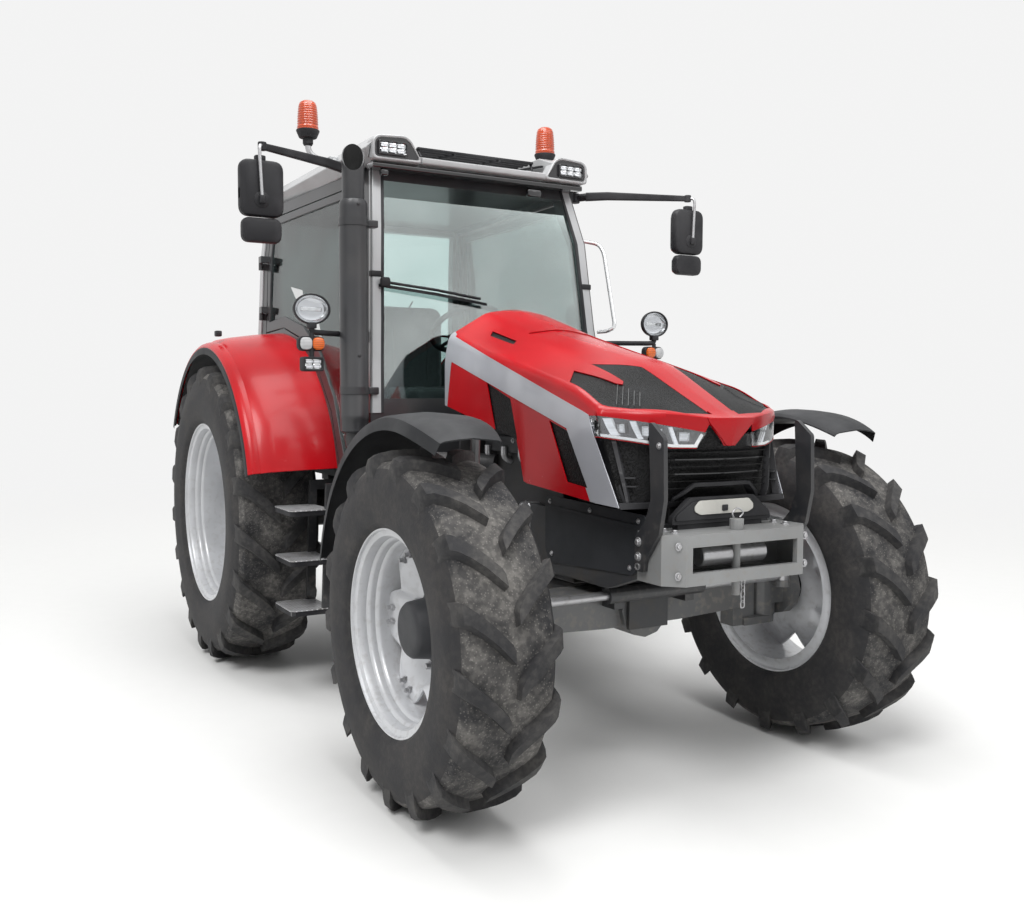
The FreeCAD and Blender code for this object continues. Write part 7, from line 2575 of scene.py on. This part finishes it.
@dataclass
class Controls(Assembly):
    """The steering wheel on its column, and the console with its armrest, levers and screen."""

    wheel: Point = (20.0, 0.0, 1865.0)
    rim: float = 190.0
    thick: float = 15.0
    tilt: float = -35.0

    def build(self) -> None:
        """Build the controls."""
        made = Draft()
        turns = [2 * math.pi * step / 12 for step in range(12)]
        ring = [(self.thick * math.sin(turn), self.rim + self.thick * math.cos(turn)) for turn in turns]
        made.turned(Axis.Z, (0, 0, 0), ring, 64, 1, round_up=True)
        made.turned(Axis.Z, (0, 0, 0), [(-30, 0.5), (-30, 40), (-8, 54), (8, 50), (14, 36), (16, 0.5)], 40, 1)
        for turn in (90, 210, 330):
            way = Matrix.Rotation(math.radians(turn), 3, "Z") @ Vector((1, 0, 0))
            made.rod([way * 40 + Vector((0, 0, -2)), way * self.rim], 10, 10, mark=1)
        made.placed(Matrix.Translation(self.wheel) @ Matrix.Rotation(math.radians(self.tilt), 4, "Y"))
        made.rod([(22, 0, 1845), (98, 0, 1740)], 32, 20)
        made.housing(Axis.Z, (82, -126, 1127), (196, 126, 1790), 40, 26)
        made.housing(Axis.X, (60, -100, 1770), (92, 100, 1850), 20, 8)
        made.housing(Axis.X, (92, -92, 1720), (180, 92, 1846), 26, 14, 1)
        made.rod([(40, 56, 1812), (30, 150, 1830), (24, 176, 1836)], 6, 8, 20, 1).rod(
            [(40, -56, 1812), (30, -160, 1826)], 6, 8, mark=1
        )
        made.housing(Axis.Z, (-664, -520, 1127), (-196, -342, 1600), 40, 12)
        made.housing(Axis.X, (-660, -515, 1610), (-330, -350, 1662), 22, 16, 1)
        for x, y, top in ((-270, -400, 1694), (-250, -450, 1684), (-228, -486, 1676)):
            made.rod([(x, y, 1596), (x - 6, y, top - 12)], 5, 8, mark=2)
            made.turned(
                Axis.Z, (x - 6, y, top - 26), [(0, 0.5), (0, 9), (8, 14), (20, 12), (26, 6), (26, 0.5)], 20, 1
            )
        made.made("cab_control_set", "chassis", CABIN_GREY, BLACK_PLASTIC, STEEL,
                  stands_for=("cab_controls",), edge=1.5, slot="black_plastic")


@dataclass
class EngineDress(Assembly):
    """What shows under the raised bonnet: the engine's covers and pipes, air cleaner and radiator core."""

    cover_low: Point = (690.0, -112.0, 1394.0)
    cover_high: Point = (1290.0, 112.0, 1446.0)
    cleaner: Point = (790.0, 0.0, 1556.0)
    core: tuple[float, float, float, float] = (-238.0, 238.0, 1098.0, 1504.0)

    def build(self) -> None:
        """Build the engine's group and the radiator's."""
        top, sides = Draft(), Draft()
        top.housing(Axis.Z, self.cover_low, self.cover_high, 30, 14)
        for number in range(9):
            x = 726 + 62 * number
            top.housing(Axis.Z, (x, -98, 1442), (x + 24, 98, 1456), 6, 4)
        top.turned(Axis.Z, (1210, 0, 1444), [(0, 0.5), (0, 34), (22, 34), (30, 26), (30, 0.5)], 28, 1)
        top.turned(Axis.Y, self.cleaner, [
            (-210, 0.5), (-210, 70), (-196, 88), (-150, 90), (-148, 95), (-136, 95), (-134, 90), (170, 90),
            (196, 74), (206, 0.5),
        ], 44)
        top.rod([(790, 205, 1556), (840, 262, 1530), (980, 250, 1440), (1060, 150, 1380)], 38, 20, 60, 2)
        top.rod([(1240, -60, 1440), (1330, -80, 1470), (1440, -90, 1450), (1496, -90, 1440)], 26, 18, 50, 2)
        sides.housing(Axis.Y, (690, 221, 1262), (1286, 252, 1338), 22, 10)
        sides.housing(Axis.Y, (676, 221, 770), (1300, 243, 858), 16, 8)
        for number in range(4):
            x = 742 + 152 * number
            sides.rod([(x, 224, 1225), (x, 262, 1240), (x, 262, 1290)], 16, 14, 20, 1)
            sides.bolt(Axis.Y, (x + 60, 252, 1318), 8, 1)
            sides.bolt(Axis.Y, (x + 20, 243, 842), 8, 1)
        sides.turned(
            Axis.Z, (1120, 262, 900), [(0, 0.5), (0, 44), (10, 48), (150, 48), (160, 40), (160, 0.5)], 30, 1
        )
        top.made(
            "engine_top_covers", "chassis", CABIN_GREY, BLACK_PLASTIC, IRON, edge=2.0, slot="black_plastic"
        )
        sides.both().made("engine_side_covers", "chassis", CASTING, STEEL, edge=2.0, slot="dark_paint")
        self.radiator()

    def radiator(self) -> None:
        """Add the radiator's finned core, its frame, the fan's shroud and the fan."""
        left, right, low, high = self.core
        made = Draft()
        made.housing(Axis.X, (1638, left, low), (1646, right, high), 10, 3, 1)
        for number in range(17):
            z = blend(low + 14, high - 14, number / 16)
            made.housing(Axis.X, (1644, left + 8, z - 2), (1651, right - 8, z + 2), 2, 1)
        made.turned(Axis.X, (1500, 0, 1300), [(0, 205), (-58, 200), (-64, 204), (-64, 212), (0, 214)], 60)
        made.turned(
            Axis.X, (1500, 0, 1300), [(-2, 0.5), (-70, 0.5), (-70, 50), (-60, 58), (-20, 58), (-2, 40)], 32
        )
        for number in range(9):
            turn = Matrix.Rotation(2 * math.pi * number / 9, 4, "X")
            since = len(made.points)
            made.loft(
                [[(-52, -24, out), (-48, -24, out), (-20, 24, out), (-24, 24, out)] for out in (50, 120, 192)]
            )
            made.placed(Matrix.Translation((1500, 0, 1300)) @ turn, since)
        made.made("radiator_core", "chassis", BLACK_PLASTIC, MESH, edge=1.0, slot="black_plastic")


@dataclass
class RearFittings(Assembly):
    """What the rear view shows: shaft guard, couplers, top link, blank plate, wiper and the roof's hatch."""

    case_rear: float = -1330.0
    pin_out: float = -1405.0
    pin_z: float = 925.0
    wall_out: float = -1398.0

    def build(self) -> None:
        """Build the fittings."""
        black, bright = Draft(), Draft()
        outer = [(-92, 596), (-92, 700), (-64, 738), (64, 738), (92, 700), (92, 596)]
        inner = [(86, 596), (86, 698), (61, 732), (-61, 732), (-86, 698), (-86, 596)]
        black.loft(
            [
                [(x, y, z) for y, z in outer + inner]
                for x in (self.case_rear + 2, self.case_rear - 62, self.case_rear - 118)
            ]
        )
        for side in (1, -1):
            low, high = sorted((side * 92, side * 224))
            black.housing(Axis.X, (self.case_rear - 44, low, 796), (self.case_rear + 2, high, 934), 12, 5)
            for y in (122, 158, 194):
                for z in (834, 896):
                    spot = (self.case_rear - 44, side * y, z)
                    bright.turned(
                        Axis.X, spot,
                        [(0, 0.5), (0, 15), (-14, 15), (-16, 17), (-24, 17), (-26, 14), (-26, 0.5)], 20
                    )
        for spot in ((self.pin_out, 0, self.pin_z), (self.pin_out - 30, 0, 1292)):
            bright.turned(Axis.Y, spot, [(-22, 0.5), (-22, 26), (-18, 29), (18, 29), (22, 26), (22, 0.5)], 32)
        bright.rod([(self.pin_out, 0, self.pin_z + 20), (self.pin_out - 30, 0, 1274)], 12)
        black.rod([(self.pin_out - 6, 0, 1004), (self.pin_out - 24, 0, 1206)], 21, 20)
        black.housing(Axis.X, (self.wall_out - 52, -34, 1310), (self.wall_out, 34, 1332), 6, 3)
        black.housing(Axis.X, (self.wall_out - 10, -276, 1352), (self.wall_out + 2, 276, 1476), 16, 3)
        black.housing(Axis.X, (self.wall_out - 16, -262, 1364), (self.wall_out - 9, 262, 1464), 10, 2, 1)
        black.housing(Axis.X, (self.wall_out - 30, -48, 1478), (self.wall_out, 48, 1500), 7, 4)
        black.housing(Axis.X, (self.wall_out - 22, -34, 1506), (self.wall_out + 6, 34, 1546), 10, 5)
        black.rod(
            [(self.wall_out - 16, 0, 1526), (self.wall_out - 12, 150, 1800), (self.wall_out - 8, 214, 1950)],
            6, 10
        )
        black.rod([(self.wall_out - 1, 96, 1760), (self.wall_out - 1, 330, 2130)], 5, 10)
        for height in (1150, 1196, 1242):
            black.housing(
                Axis.X, (self.wall_out - 7, -300, height), (self.wall_out + 2, 300, height + 18), 5, 3
            )
        black.made(
            "rear_fittings_black", "chassis", BLACK_PLASTIC, PLATE_WHITE, edge=1.2, slot="black_plastic"
        )
        bright.made("rear_fittings_steel", "chassis", STEEL, edge=1.0, slot="bare_steel")
        hatch = Draft().housing(Axis.Z, (-1180, -372, 2776), (-430, 372, 2808), 70, 18)
        hatch.housing(Axis.Z, (-1130, -322, 2800), (-480, 322, 2816), 50, 10)
        hatch.made("roof_hatch", "chassis", ROOF_GREY, edge=2.5, slot="grey_paint")


@dataclass
class Studio:
    """The camera at the photograph's place, soft light, a pale floor and a pale surrounding."""

    camera_spot: Point = (4890.3, -2520.0, 1534.3)
    azimuth: float = 60.10
    dip: float = 3.53
    roll: float = 0.187
    focal: float = 36.05
    sensor: float = 36.0
    clip_end: float = 500.0
    floor_half: float = 40000.0
    low_sky: Colour = (0.34, 0.345, 0.36)
    high_sky: Colour = (1.0, 1.0, 1.0)
    high_from: float = 0.75
    sky_strength: float = 0.78
    suns: Sequence[tuple[str, float, float, float, float]] = (
        ("key", 35.0, 52.0, 1.55, 24.0), ("fill", 118.0, 35.0, 0.5, 40.0),
    )
    panel_spot: Point = (1500.0, -600.0, 5200.0)
    panel_size: tuple[float, float] = (5000.0, 2200.0)
    panel_power: float = 160.0

    def build(self) -> None:
        """Build the camera, the floor, the world and the lamps."""
        self.camera()
        self.floor()
        self.world()
        self.lamps()
        bpy.context.scene.view_settings.view_transform = "Standard"

    def camera(self) -> None:
        """Add the camera."""
        data = bpy.data.cameras.new("camera")
        data.sensor_width = self.sensor
        data.lens = self.focal
        data.clip_end = self.clip_end
        eye = bpy.data.objects.new("camera", data)
        bpy.context.scene.collection.objects.link(eye)
        turn, dip = math.radians(self.azimuth), math.radians(self.dip)
        ahead = Vector((-math.sin(turn) * math.cos(dip), math.cos(turn) * math.cos(dip), -math.sin(dip)))
        facing = ahead.to_track_quat("-Z", "Y").to_matrix().to_4x4()
        eye.matrix_world = (
            Matrix.Translation(Vector(self.camera_spot) * MM) @ facing @ Matrix.Rotation(
                math.radians(self.roll), 4, "Z"
            )
        )
        bpy.context.scene.camera = eye

    def floor(self) -> None:
        """Add the floor."""
        half = self.floor_half * MM
        mesh = bpy.data.meshes.new("floor")
        mesh.from_pydata(
            [(-half, -half, 0), (half, -half, 0), (half, half, 0), (-half, half, 0)], [], [(0, 1, 2, 3)]
        )
        mesh.materials.append(StudioFloor().material())
        ground = bpy.data.objects.new("floor", mesh)
        bpy.context.scene.collection.objects.link(ground)

    def world(self) -> None:
        """Make the surroundings: bright above and calmer near the ground, and pale behind the tractor."""
        world = bpy.data.worlds.new("studio")
        world.use_nodes = True
        bpy.context.scene.world = world
        nodes, links = world.node_tree.nodes, world.node_tree.links
        back = nodes["Background"]
        place = nodes.new("ShaderNodeTexCoord")
        split = nodes.new("ShaderNodeSeparateXYZ")
        ramp = nodes.new("ShaderNodeValToRGB")
        links.new(place.outputs["Generated"], split.inputs[0])
        links.new(split.outputs[2], ramp.inputs[0])
        ramp.color_ramp.elements[0].color = (*self.low_sky, 1)
        ramp.color_ramp.elements[1].color = (*self.high_sky, 1)
        ramp.color_ramp.elements[1].position = self.high_from
        links.new(ramp.outputs[0], back.inputs["Color"])
        back.inputs["Strength"].default_value = self.sky_strength
        plain = nodes.new("ShaderNodeBackground")
        plain.inputs["Color"].default_value = (*BACKDROP, 1)
        light = nodes.new("ShaderNodeLightPath")
        seen = light.outputs["Is Camera Ray"]
        for kind in ("Is Glossy Ray", "Is Transmission Ray"):
            more = nodes.new("ShaderNodeMath")
            more.operation = "MAXIMUM"
            links.new(seen, more.inputs[0])
            links.new(light.outputs[kind], more.inputs[1])
            seen = more.outputs[0]
        both = nodes.new("ShaderNodeMixShader")
        links.new(seen, both.inputs[0])
        links.new(back.outputs[0], both.inputs[1])
        links.new(plain.outputs[0], both.inputs[2])
        links.new(both.outputs[0], nodes["World Output"].inputs["Surface"])

    def lamps(self) -> None:
        """Add the soft key light, a fill and a broad panel overhead."""
        for name, turn, rise, strength, spread in self.suns:
            data = bpy.data.lights.new(name, "SUN")
            data.energy = strength
            data.angle = math.radians(spread)
            lamp = bpy.data.objects.new(name, data)
            bpy.context.scene.collection.objects.link(lamp)
            around, up = math.radians(turn), math.radians(rise)
            back = Vector((math.sin(around) * math.cos(up), -math.cos(around) * math.cos(up), math.sin(up)))
            lamp.rotation_mode = "QUATERNION"
            lamp.rotation_quaternion = (-back).to_track_quat("-Z", "Y")
        data = bpy.data.lights.new("panel", "AREA")
        data.shape = "RECTANGLE"
        data.size, data.size_y = self.panel_size[0] * MM, self.panel_size[1] * MM
        data.energy = self.panel_power
        lamp = bpy.data.objects.new("panel", data)
        bpy.context.scene.collection.objects.link(lamp)
        lamp.location = Vector(self.panel_spot) * MM


PLAIN_FORMS = (
    SoftForm("transmission", "chassis", IRON), SoftForm("engine_block", "chassis", IRON, 10),
    SoftForm("radiator", "chassis", IRON), SoftForm("front_frame", "chassis", CASTING, 9),
    SoftForm("front_axle", "chassis", AXLE_GREY, 5), SoftForm("steering_cylinder", "chassis", CAB_DARK, 2),
    SoftForm("front_drive_shaft", "chassis", IRON, 3), SoftForm("weight_frame", "chassis", WELD_GREY, 3),
    SoftForm("cab_frame", "chassis", CAB_DARK, 9),
    SoftForm("cab_glass", "chassis", CAB_GLASS, 0), SoftForm("cab_roof", "chassis", ROOF_GREY, 26),
    SoftForm("fuel_tank", "chassis", BLACK_PLASTIC, 22),
    SoftForm("tool_box", "chassis", BLACK_PLASTIC, 22), SoftForm("cab_steps", "chassis", CAB_DARK, 3),
    SoftForm("hitch_frame", "chassis", CAB_DARK, 3), SoftForm("seat_base", "chassis", BLACK_PLASTIC, 12),
    SoftForm("knuckle_left", "steer_left", AXLE_GREY, 4),
    SoftForm("knuckle_right", "steer_right", AXLE_GREY, 4),
    SoftForm("steering_rod", "steer_rod", STEEL, 1), SoftForm("door_left", "door_left", CAB_DARK, 6),
    SoftForm("door_right", "door_right", CAB_DARK, 6), SoftForm("door_glass_left", "door_left", CAB_GLASS, 0),
    SoftForm("door_glass_right", "door_right", CAB_GLASS, 0),
    SoftForm("lower_links", "lower_link", CAB_DARK, 3),
    SoftForm("lift_arms", "lift_arm", CAB_DARK, 4), SoftForm("lift_rods", "lift_rod", CAB_DARK, 2),
)


FITTINGS = (LowerFront(), RoofFront(), Beacons(), Mirrors(), BodyLamps(), Exhaust(), CabTrim(), Seat(),
            Controls(),
            EngineDress(), RearFittings())


def main() -> None:
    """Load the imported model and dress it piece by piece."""
    logging.basicConfig(level=logging.INFO, format="%(message)s")
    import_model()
    for assembly in (
        Studio(), SoftForms(PLAIN_FORMS), Wheels(), Bonnet(), RearGuards(), FrontGuards(), *FITTINGS
    ):
        assembly.build()
        LOG.info("built %s", type(assembly).__name__)
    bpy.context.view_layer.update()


if __name__ == "__main__":
    main()
